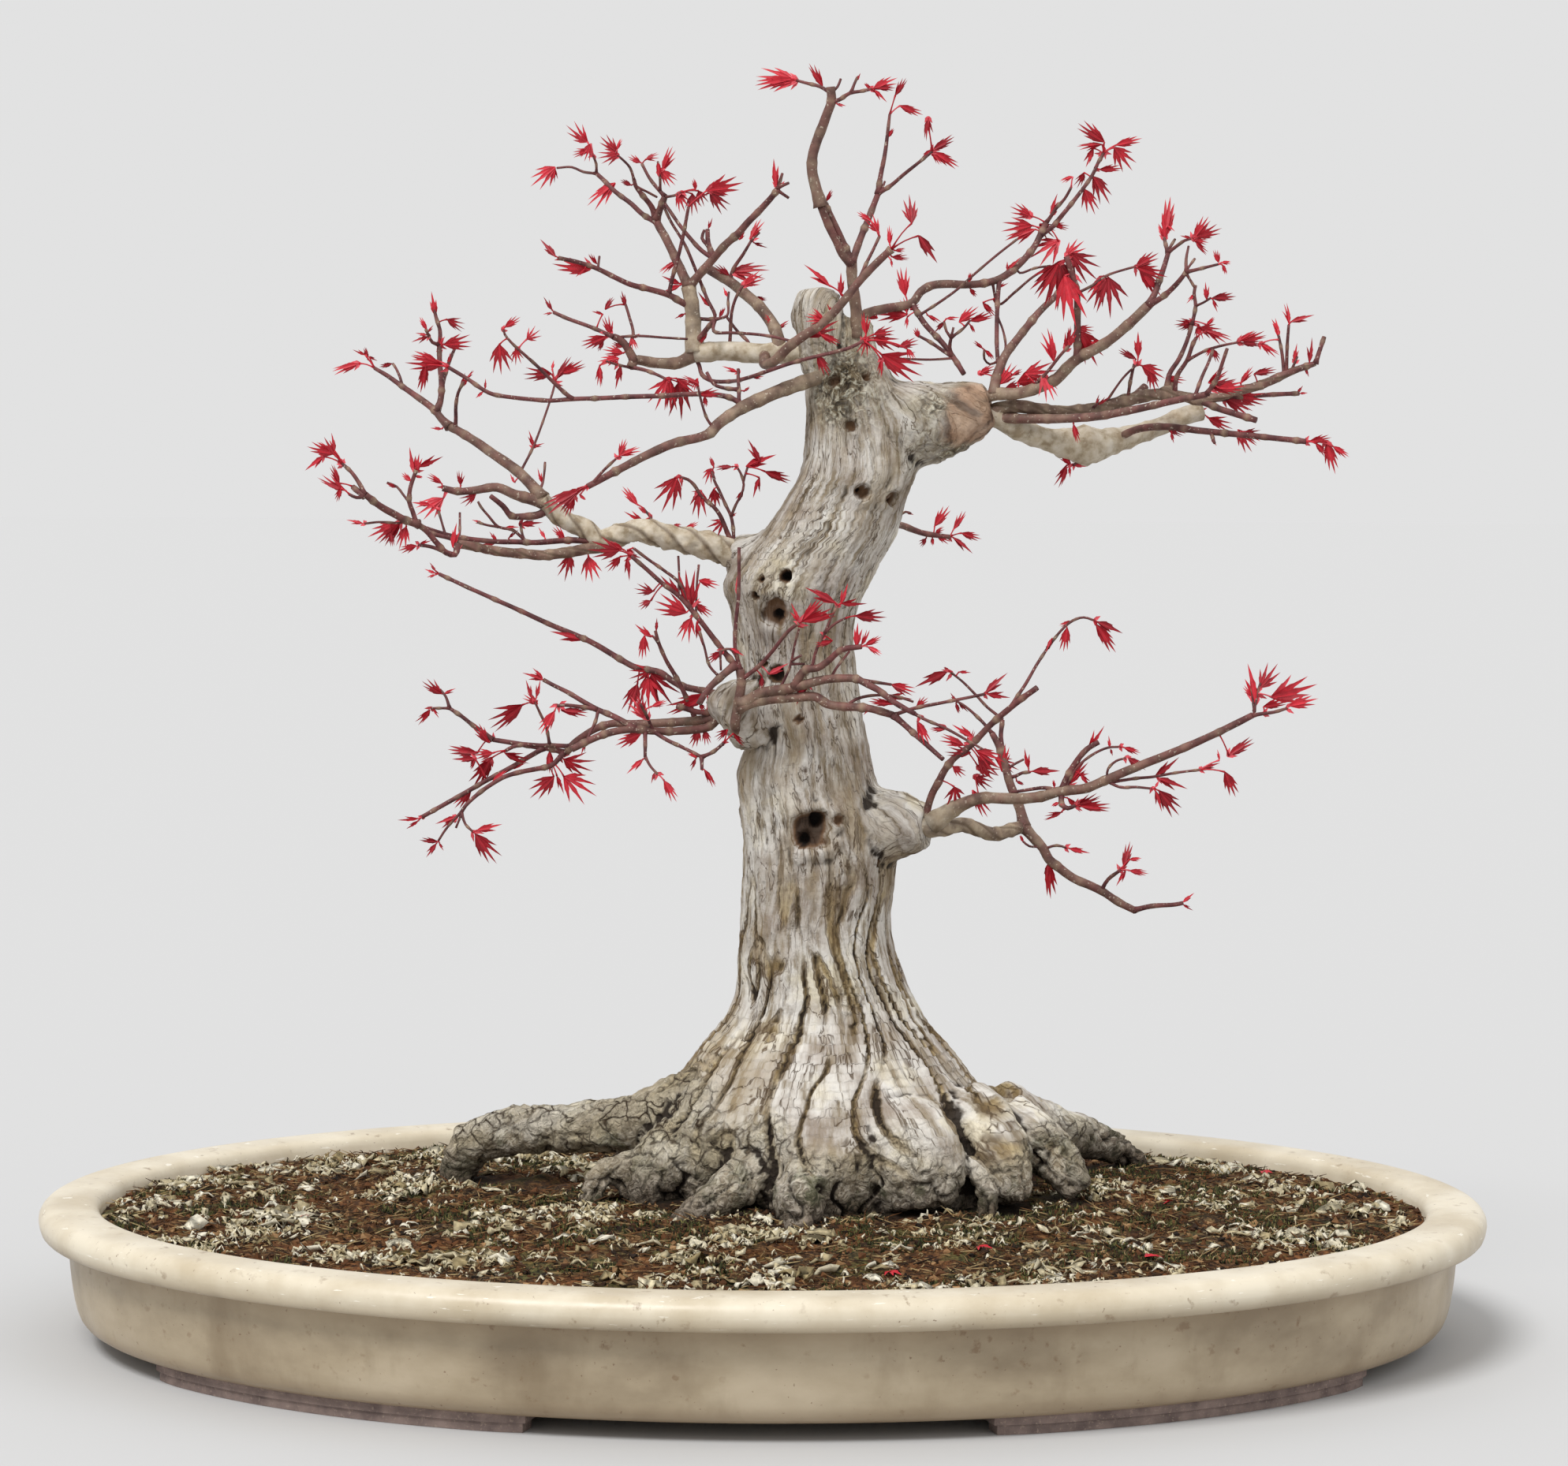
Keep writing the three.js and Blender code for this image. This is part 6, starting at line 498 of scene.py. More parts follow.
BRANCHES["branch_left_lower"] = {"depth": -8, "limbs": [
    [2.1, 1.4, 18, 930, 903, 912, 909, 870, 915, 830, 917, 800, 918, 780, 917, 760, 922, 740, 933, 725, 945,
     718, 955],
    [1.2, 1.0, 6, 718, 955, 700, 950, 680, 947, 650, 942, 625, 938],
    [1.0, 0.8, 4, 625, 938, 612, 928, 600, 920, 585, 908, 570, 898],
    [0.7, 0.5, 3, 570, 898, 565, 883, 558, 874],
    [0.6, 0.5, -3, 570, 898, 556, 898, 546, 898],
    [1.7, 1.4, -18, 912, 913, 900, 921, 860, 927, 830, 927, 800, 925, 770, 930, 745, 940, 725, 950],
    [1.0, 0.8, -4, 722, 945, 700, 945, 685, 945, 665, 944, 650, 947, 641, 952],
    [1.1, 0.9, -12, 690, 947, 670, 960, 650, 972, 620, 988, 590, 1005, 560, 1022, 535, 1036],
    [1.1, 0.8, -10, 714, 958, 700, 970, 680, 975, 660, 979, 640, 985, 615, 1000, 600, 1012, 590, 1022,
     585, 1030],
    [0.6, 0.5, -3, 585, 1030, 590, 1045, 600, 1055],
    [0.6, 0.5, 3, 585, 1030, 575, 1040, 565, 1052, 556, 1066],
    [0.5, 0.4, 0, 585, 1032, 578, 1050],
    [1.3, 0.8, 10, 805, 923, 785, 912, 770, 905, 758, 900, 745, 893, 720, 878, 700, 868, 689, 862],
    [0.9, 0.7, -4, 757, 900, 735, 896, 715, 894, 706, 895],
    [0.7, 0.6, -4, 758, 902, 755, 915, 748, 930, 743, 943],
    [0.7, 0.5, -6, 697, 945, 692, 920, 685, 905, 678, 890],
    [0.9, 0.7, -4, 818, 925, 818, 945, 818, 960],
    [0.6, 0.5, -2, 818, 960, 825, 972, 834, 982],
    [0.9, 0.7, -10, 828, 927, 845, 938, 862, 946, 880, 955, 890, 960],
    [0.8, 0.7, -3, 890, 960, 905, 953, 918, 942],
    [0.8, 0.7, -2, 889, 961, 890, 976],
    [0.7, 0.6, -8, 828, 927, 820, 908, 812, 893],
    [1.1, 0.7, -10, 880, 908, 868, 880, 858, 860, 845, 838, 835, 815, 831, 800],
    [0.6, 0.5, 0, 835, 815, 828, 807],
    [1.2, 1.1, -4, 905, 905, 885, 903, 868, 898, 858, 895],
], "leaves": [
    (25, 560, 880, -25, -15), (10, 563, 880, 15, -8), (20, 545, 900, -15, 22), (10, 549, 898, 7, 13),
    (8, 530, 1038, -25, 3), (8, 530, 1041, -16, 12), (28, 603, 1058, 26, 39), (12, 605, 1053, 30, -8),
    (15, 555, 1067, -24, -1), (12, 553, 1070, -13, 18), (10, 557, 1069, 5, 10), (12, 575, 1038, -16, 13),
    (10, 578, 1036, -26, 8), (20, 597, 1003, -22, 23), (20, 620, 942, -18, -24), (25, 625, 955, -27, 3),
    (15, 605, 955, -40, -5), (12, 602, 962, -30, 1), (15, 602, 962, -5, 14), (20, 640, 955, 32, 16),
    (20, 622, 962, -23, 40), (15, 652, 975, 16, -17), (15, 625, 990, 20, -15), (15, 697, 952, -1, 29),
    (40, 715, 963, 38, 18), (45, 715, 985, 42, 23), (30, 702, 985, -30, 28), (10, 706, 984, 10, 23),
    (12, 689, 862, -27, -10), (10, 688, 860, -13, -14), (20, 703, 902, -17, 29), (15, 712, 901, 36, 2),
    (12, 742, 943, -6, 15), (25, 682, 893, -19, -13), (12, 674, 883, -8, -21), (12, 680, 884, 6, -22),
    (25, 662, 894, -40, 32), (20, 812, 931, -34, 15), (12, 815, 963, -20, 17), (20, 842, 990, 16, 26),
    (12, 830, 980, -5, 14), (15, 885, 960, -14, -5), (12, 882, 962, -6, 17), (15, 893, 976, 16, 22),
    (25, 886, 926, -9, 24), (25, 893, 926, 6, 20), (25, 922, 925, -14, 15), (15, 930, 930, 13, 18),
    (25, 820, 912, -22, -32), (25, 815, 905, -7, -27), (15, 826, 896, 20, -8), (15, 897, 880, -52, 28),
    (12, 826, 808, -23, -17), (20, 817, 806, -4, 32), (8, 832, 800, 1, -17),
]}
BRANCHES["branch_right_low"] = {"depth": -4, "limbs": [
    [4.6, 3.4, -2, 1160, 1046, 1176, 1046, 1182, 1044],
    [3.6, 1.3, -44, 1180, 1040, [1205, 1028, 3.3], [1225, 1018, 2.6], [1245, 1012, 2.4], 1290, 1013,
     1320, 1010, 1345, 1003, 1375, 1000, 1400, 990, 1440, 973, 1490, 953, 1540, 931, 1588, 907],
    [1.6, 1.2, -26, 1174, 1036, 1182, 1006, 1190, 992, 1197, 978, 1210, 961, 1225, 950, 1238, 938,
     1255, 920, 1278, 900, 1297, 885, 1315, 872],
    [3.2, 2.8, 24, 1180, 1050, 1200, 1050, 1220, 1046, 1240, 1052, 1260, 1058, 1280, 1053, 1298, 1048],
    [2.2, 1.3, 10, 1298, 1048, 1294, 1028, 1289, 1015, 1282, 998, 1277, 982, 1272, 962, 1265, 943,
     1258, 930],
    [0.8, 0.5, 6, 1258, 930, 1248, 918, 1235, 905, 1220, 893, 1210, 888],
    [1.2, 0.9, 6, 1277, 982, 1272, 955, 1269, 935, 1271, 913],
    [0.7, 0.5, 8, 1271, 913, 1262, 905, 1252, 897, 1238, 882, 1220, 864, 1206, 853],
    [0.8, 0.6, 4, 1280, 898, 1288, 886, 1300, 868, 1315, 842, 1328, 822],
    [0.6, 0.5, -4, 1328, 822, 1345, 800, 1360, 787, 1374, 783, 1388, 787],
    [2.2, 1.5, -10, 1296, 1048, 1302, 1053, 1310, 1062, 1322, 1075, 1330, 1090, 1340, 1098, 1360, 1113,
     1380, 1122, 1397, 1130, 1420, 1145, 1440, 1155],
    [1.1, 0.9, -6, 1438, 1154, 1460, 1149, 1490, 1147, 1500, 1145],
    [0.6, 0.5, -4, 1324, 1076, 1340, 1072, 1352, 1075],
    [0.5, 0.4, -4, 1320, 1074, 1305, 1073, 1297, 1067],
    [0.9, 0.7, -6, 1397, 1128, 1405, 1115, 1421, 1103],
    [1.3, 1.1, -4, 1346, 1003, 1353, 985, 1365, 965, 1378, 950, 1393, 941],
    [0.6, 0.5, -6, 1350, 1000, 1364, 975, 1385, 957, 1405, 948, 1421, 947],
    [0.5, 0.4, -4, 1403, 988, 1405, 975, 1415, 965, 1428, 961],
    [1.2, 0.8, -6, 1346, 1008, 1346, 1020, 1354, 1025, 1364, 1021],
    [0.9, 0.6, 8, 1343, 1002, 1325, 999, 1300, 1002, 1282, 1005],
    [0.7, 0.5, -8, 1403, 993, 1420, 998, 1440, 998, 1461, 1000],
    [0.7, 0.5, 4, 1408, 990, 1440, 987, 1462, 985, 1490, 980, 1522, 976],
    [0.8, 0.6, -4, 1279, 986, 1288, 984, 1296, 980, 1306, 979],
    [0.6, 0.5, 2, 1277, 975, 1288, 968, 1298, 963],
    [0.8, 0.6, -2, 1588, 906, 1600, 905, 1615, 903, 1632, 898],
    [0.5, 0.4, 2, 1590, 903, 1588, 885, 1587, 870],
    [0.6, 0.4, 3, 1592, 902, 1594, 880, 1598, 866],
], "leaves": [
    (30, 1208, 972, 18, 13), (45, 1210, 998, 2, 31), (20, 1233, 1002, 19, 36), (35, 1236, 984, 23, 17),
    (35, 1240, 972, 28, 14), (20, 1222, 945, -30, -13), (25, 1230, 955, -32, 0), (30, 1238, 952, 37, 13),
    (30, 1240, 960, 28, 25), (15, 1226, 950, 9, -25), (20, 1270, 978, 5, -34), (25, 1262, 962, 29, 14),
    (20, 1588, 884, -11, -16), (10, 1592, 892, -8, -52), (35, 1598, 872, 22, -30), (25, 1612, 884, 60, -15),
    (20, 1635, 895, 37, -10), (20, 1602, 896, 33, -6), (12, 1380, 948, 22, -27), (15, 1352, 996, 26, -36),
    (15, 1425, 948, 23, 7), (10, 1407, 948, -1, -15), (10, 1408, 950, 3, 9), (12, 1370, 982, 14, 18),
    (10, 1366, 983, 16, -2), (20, 1430, 961, 22, 15), (15, 1346, 1030, -21, 10), (20, 1342, 1018, -9, 4),
    (15, 1364, 1021, 32, -10), (15, 1370, 1022, 40, 4), (12, 1354, 1012, 16, 19), (15, 1337, 998, -1, -9),
    (12, 1465, 1003, 9, 26), (25, 1470, 1003, 26, 33), (10, 1465, 998, 5, -9), (10, 1465, 984, 30, -22),
    (12, 1468, 987, 38, 12), (15, 1558, 958, 32, -23), (20, 1553, 979, 15, 34), (8, 1546, 964, -2, -14),
    (12, 1525, 975, 23, -9), (12, 1212, 890, -7, -12), (15, 1212, 892, 4, 13), (12, 1216, 892, 12, 11),
    (12, 1200, 852, -38, 18), (15, 1203, 850, -7, -4), (10, 1216, 852, 15, 1), (15, 1360, 788, -18, 5),
    (20, 1353, 796, -5, 32), (12, 1330, 816, 10, -11), (15, 1390, 792, 25, 36), (12, 1392, 789, 33, 14),
    (12, 1333, 810, -7, 16), (12, 1310, 978, 37, -1), (12, 1304, 974, -6, -25), (15, 1289, 991, 10, 4),
    (10, 1500, 1144, 15, -13), (10, 1500, 1147, 12, 8), (10, 1356, 1076, 26, 6), (15, 1297, 1067, -4, -8),
    (15, 1330, 1094, 0, 49), (12, 1329, 1095, -3, 23), (15, 1425, 1100, 8, -34), (12, 1427, 1105, -13, 19),
    (15, 1432, 1104, 24, 4), (15, 1432, 1090, 15, -2),
]}
BRANCHES["branch_back"] = {"depth": 18, "limbs": [
    [2.4, 1.0, 110, [1055, 702, 0, 16], [1072, 694, 0, 45], [1098, 680, 0, 85], [1122, 668, 0, 112],
     [1142, 666, 0, 128], [1170, 676, 0, 136], [1204, 681, 0, 140]],
    [0.6, 0.5, -6, 1125, 668, 1148, 649, 1155, 651],
    [1.5, 0.8, 50, 1075, 692, 1062, 670, 1052, 648, 1047, 622],
    [0.9, 0.6, 12, 1056, 655, 1075, 638, 1092, 624],
    [1.1, 0.7, 34, 1098, 680, 1092, 700, 1076, 716, 1052, 722],
], "leaves": [
    (20, 1185, 667, 19, -26), (14, 1209, 671, 17, -23), (18, 1219, 676, 26, 8), (9, 1209, 682, 27, 20),
    (30, 1174, 683, -7, 11), (20, 1182, 682, 1, 10), (24, 1188, 680, 18, 7), (25, 1186, 676, 10, -8),
    (8, 1150, 650, 9, 3), (30, 1046, 616, -6, -24), (22, 1052, 618, 18, -18), (35, 1040, 628, -18, 12),
    (30, 1096, 620, 22, -10), (20, 1090, 618, 2, -18), (35, 1046, 724, -24, 16), (22, 1052, 728, 10, 20),
    (25, 1080, 712, 12, 18),
]}
BRANCHES["branch_left_long"] = {"depth": -3, "limbs": [
    [1.5, 0.8, 34, [925, 884, 0, -4], [902, 878, 0, -4], 865, 870, 850, 862, 838, 853, 820, 849, 805, 846,
     760, 820, 745, 812, 700, 793, 650, 770, 600, 748, 557, 728],
], "leaves": [
    (8, 552, 724, -7, -11), (8, 552, 727, -15, -6), (10, 552, 729, -12, 3), (12, 740, 811, -43, -12),
    (40, 825, 850, -28, 12), (45, 826, 855, 26, 42), (45, 822, 860, -1, 45), (25, 808, 868, -13, 38),
]}


def seen(u, v, depth):
    """The point in millimetres that a mark shows, at a depth (y) in millimetres."""
    across = u - PICTURE_WIDTH / 2
    down = v - PICTURE_HEIGHT / 2
    right = (across * math.cos(ROLL) + down * math.sin(ROLL)) / FOCUS
    low = (down * math.cos(ROLL) - across * math.sin(ROLL)) / FOCUS
    ray = Vector((right, math.cos(TILT) - low * math.sin(TILT), -math.sin(TILT) - low * math.cos(TILT)))
    return EYE + ray * ((depth - EYE.y) / ray.y)


# The pale cut end of the short arm, and the radius of the cylinder that the bark's pattern is laid out on
KNOB_END = seen(1244, 530, -9)
BARK_GIRTH = 31.0

# Dark scabby bark: middle and radius
SCABS = [(seen(1072, 480, -16), 17), (seen(1066, 520, -17), 9), (seen(1195, 572, -10), 13),
         (seen(1192, 505, -16), 9)]


def chance(seed):
    """A repeatable random number between 0 and 1 for each seed."""
    wave = math.sin(seed * 127.1 + 311.7) * 43758.5453
    return wave - math.floor(wave)


def mix(a, b, share):
    return a + (b - a) * share


def step_between(low, high, value):
    share = min(1.0, max(0.0, (value - low) / (high - low)))
    return share * share * (3 - 2 * share)


# Meshes


class Shape:
    """Vertices in millimetres, faces and numbers for each vertex, collected piece by piece."""

    def __init__(self, *marks):
        self.points = []
        self.faces = []
        self.marks = {mark: [] for mark in marks}

    def add(self, points, faces, **values):
        first = len(self.points)
        self.points.extend(points)
        self.faces.extend([tuple(first + corner for corner in face) for face in faces])
        for mark, stock in self.marks.items():
            value = values.get(mark, 0.0)
            stock.extend(value if isinstance(value, (list, tuple, np.ndarray)) else [value] * len(points))

    def piece(self, name, material, smooth=True):
        mesh = bpy.data.meshes.new(name)
        mesh.from_pydata([tuple(co * MM for co in point) for point in self.points], [], self.faces)
        for mark, values in self.marks.items():
            mesh.attributes.new(mark, "FLOAT", "POINT").data.foreach_set("value", np.array(values, "f"))
        mesh.update()
        return shown(bpy.data.objects.new(name, mesh), material, smooth)


def shown(piece, material, smooth=True):
    """Links a finished piece, with its material and shading."""
    if piece.name not in bpy.context.scene.collection.all_objects:
        bpy.context.scene.collection.objects.link(piece)
    piece.data.materials.clear()
    piece.data.materials.append(material)
    piece.data.polygons.foreach_set("use_smooth", [smooth] * len(piece.data.polygons))
    piece.data.update()
    return piece


def stands_for(piece, node):
    """Hangs a piece under the root body and hides the solid that it dresses."""
    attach(piece, "root")
    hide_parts(node)


def pick_only(piece):
    bpy.ops.object.select_all(action="DESELECT")
    piece.select_set(True)
    bpy.context.view_layer.objects.active = piece


def place_in_mesh(piece):
    pick_only(piece)
    bpy.ops.object.transform_apply(location=True, rotation=True, scale=True)


def apply_modifier(piece, kind, **settings):
    pick_only(piece)
    modifier = piece.modifiers.new(kind.title(), kind)
    for key, value in settings.items():
        setattr(modifier, key, value)
    bpy.ops.object.modifier_apply(modifier=modifier.name)


# Materials


def srgb(red, green, blue):
    """A colour given as it looks, as a shader wants it."""
    shares = [value / 255 for value in (red, green, blue)]
    return tuple(((c + 0.055) / 1.055) ** 2.4 if c > 0.04 else c / 12.92 for c in shares) + (1,)


class Finish:
    """A material under construction, with short ways to its usual nodes.

    A colour is written as it looks: (red, green, blue), each from 0 to 255.
    """

    def __init__(self, name, roughness=0.8, specular=0.5):
        self.material = bpy.data.materials.new(name)
        self.material.use_nodes = True
        self.tree = self.material.node_tree
        self.shader = self.tree.nodes["Principled BSDF"]
        self.shader.inputs["Roughness"].default_value = roughness
        self.shader.inputs["Specular IOR Level"].default_value = specular
        self.place = self.tree.nodes.new("ShaderNodeTexCoord").outputs["Object"]

    def link(self, value, socket):
        if isinstance(value, bpy.types.NodeSocket):
            self.tree.links.new(value, socket)
        else:
            socket.default_value = srgb(*value) if isinstance(value, tuple) else value

    def noise(self, size_mm, detail=4.0, stretch=(1, 1, 1), rough=0.55, distortion=0.0, where=None):
        """Cloudy noise with features of a size in millimetres."""
        node = self.texture("ShaderNodeTexNoise", size_mm, stretch, where)
        node.inputs["Detail"].default_value = detail
        node.inputs["Roughness"].default_value = rough
        node.inputs["Distortion"].default_value = distortion
        return node.outputs["Fac"]

    def plate_edges(self, size_mm, where):
        """Distance to the nearest edge between plates of a size in millimetres."""
        node = self.texture("ShaderNodeTexVoronoi", size_mm, (1, 1, 1), where)
        node.feature = "DISTANCE_TO_EDGE"
        return node.outputs["Distance"]

    def texture(self, kind, size_mm, stretch, where):
        mapping = self.tree.nodes.new("ShaderNodeMapping")
        mapping.inputs["Scale"].default_value = stretch
        self.tree.links.new(where or self.place, mapping.inputs["Vector"])
        node = self.tree.nodes.new(kind)
        self.tree.links.new(mapping.outputs["Vector"], node.inputs["Vector"])
        node.inputs["Scale"].default_value = 1 / (size_mm * MM)
        return node

    def bent(self, where, size_mm, by_mm):
        """Places moved about by cloudy noise."""
        cloud = self.texture("ShaderNodeTexNoise", size_mm, (1, 1, 1), where).outputs["Color"]
        push = self.tree.nodes.new("ShaderNodeVectorMath")
        push.operation = "MULTIPLY_ADD"
        self.tree.links.new(cloud, push.inputs[0])
        push.inputs[1].default_value = (2 * by_mm * MM,) * 3
        self.tree.links.new(where, push.inputs[2])
        return push.outputs["Vector"]

    def lines(self, value, width, level=0.5):
        """Thin lines where a value passes a level."""
        away = self.math("ABSOLUTE", self.math("SUBTRACT", value, level))
        return self.ramp(away, (0.0, 1.0), (width, 0.0))

    def times(self, *values):
        product = values[0]
        for value in values[1:]:
            product = self.math("MULTIPLY", product, value)
        return product

    def mark(self, name, output="Fac"):
        node = self.tree.nodes.new("ShaderNodeAttribute")
        node.attribute_name = name
        return node.outputs[output]

    def ramp(self, value, *stops):
        """A value turned into a colour by (place, colour) stops."""
        node = self.tree.nodes.new("ShaderNodeValToRGB")
        self.tree.links.new(value, node.inputs["Fac"])
        elements = node.color_ramp.elements
        while len(elements) < len(stops):
            elements.new(0.5)
        for element, (spot, color) in zip(elements, stops):
            element.position = spot
            element.color = srgb(*color) if isinstance(color, tuple) else (color, color, color, 1)
        return node.outputs["Color"]

    def blend(self, share, a, b, kind="MIX"):
        node = self.tree.nodes.new("ShaderNodeMix")
        node.data_type = "RGBA"
        node.blend_type = kind
        self.link(share, node.inputs["Factor"])
        self.link(a, node.inputs["A"])
        self.link(b, node.inputs["B"])
        return node.outputs["Result"]

    def math(self, kind, a, b=0.0):
        node = self.tree.nodes.new("ShaderNodeMath")
        node.operation = kind
        self.link(a, node.inputs[0])
        self.link(b, node.inputs[1])
        return node.outputs[0]

    def height(self):
        """Height above the ground in metres."""
        node = self.tree.nodes.new("ShaderNodeSeparateXYZ")
        self.tree.links.new(self.place, node.inputs["Vector"])
        return node.outputs["Z"]

    def bump(self, value, depth_mm, strength=1.0, under=None):
        node = self.tree.nodes.new("ShaderNodeBump")
        node.inputs["Strength"].default_value = strength
        node.inputs["Distance"].default_value = depth_mm * MM
        self.tree.links.new(value, node.inputs["Height"])
        if under is not None:
            self.tree.links.new(under, node.inputs["Normal"])
        return node.outputs["Normal"]

    def done(self, color, normal=None, roughness=None):
        self.link(color, self.shader.inputs["Base Color"])
        if normal is not None:
            self.link(normal, self.shader.inputs["Normal"])
        if roughness is not None:
            self.link(roughness, self.shader.inputs["Roughness"])
        return self.material


def glaze_finish():
    """Cream glaze: paler on the rim, tea-stained in clouds and drips lower down, with fine specks, and
    painted shade in a band under the rim.
    """
    finish = Finish("cream_glaze", roughness=0.38)
    clouds = finish.noise(60, detail=6, stretch=(1, 1, 1.8))
    drips = finish.noise(24, detail=5, stretch=(1, 1, 0.45))
    body = finish.ramp(clouds, (0.3, (140, 124, 100)), (0.5, (170, 154, 128)),
                       (0.72, (190, 175, 150)))
    body = finish.blend(finish.ramp(drips, (0.52, 0.0), (0.75, 0.6)), body, (128, 110, 84))
    rim = finish.ramp(finish.noise(35, detail=6), (0.35, (192, 178, 152)), (0.65, (218, 208, 187)))
    rim_share = finish.ramp(finish.height(), (0.0455, 0.0), (0.0500, 1.0))
    color = finish.blend(rim_share, body, rim)
    # Painted shade: a darker band just under the rim's overhang.
    painted_under_lip_shade = finish.ramp(finish.height(), (0.036, 0.0), (0.0445, 0.55), (0.0465, 0.0))
    color = finish.blend(painted_under_lip_shade, color, (158, 136, 106))
    foot_line = finish.ramp(finish.height(), (0.008, 0.6), (0.016, 0.0))
    color = finish.blend(foot_line, color, (150, 126, 98))
    specks = finish.ramp(finish.noise(2.2, detail=3), (0.69, 0.0), (0.74, 0.7))
    color = finish.blend(specks, color, (112, 84, 60))
    stained = finish.ramp(clouds, (0.4, 1.0), (0.6, 0.1))
    spots = finish.times(finish.ramp(finish.noise(6, detail=4), (0.62, 0.0), (0.70, 0.7)), stained)
    color = finish.blend(spots, color, (124, 98, 70))
    chips = finish.ramp(finish.noise(3.4, detail=5, stretch=(0.35, 0.35, 2.6)), (0.66, 0.0), (0.69, 0.8))
    color = finish.blend(finish.times(chips, rim_share), color, (236, 230, 216))
    pits = finish.bump(finish.noise(2.2, detail=3), 0.12, 0.5)
    waves = finish.bump(finish.noise(30, detail=2), 0.8, 0.4, under=pits)
    shine = finish.ramp(finish.noise(18, detail=4), (0.3, 0.3), (0.7, 0.48))
    return finish.done(color, waves, shine)


def bare_clay_finish():
    finish = Finish("bare_clay", roughness=0.9, specular=0.25)
    color = finish.ramp(finish.noise(9, detail=6), (0.3, (104, 90, 86)), (0.7, (148, 130, 122)))
    grog = finish.ramp(finish.noise(1.2, detail=2), (0.6, 0.0), (0.7, 0.5))
    color = finish.blend(grog, color, (170, 152, 138))
    return finish.done(color, finish.bump(finish.noise(1.5, detail=4), 0.3, 0.7))


def net_finish():
    finish = Finish("plastic_net", roughness=0.55)
    color = finish.ramp(finish.noise(6), (0.3, (38, 38, 37)), (0.7, (58, 57, 54)))
    return finish.done(color, finish.bump(finish.noise(1.0), 0.05, 0.4))


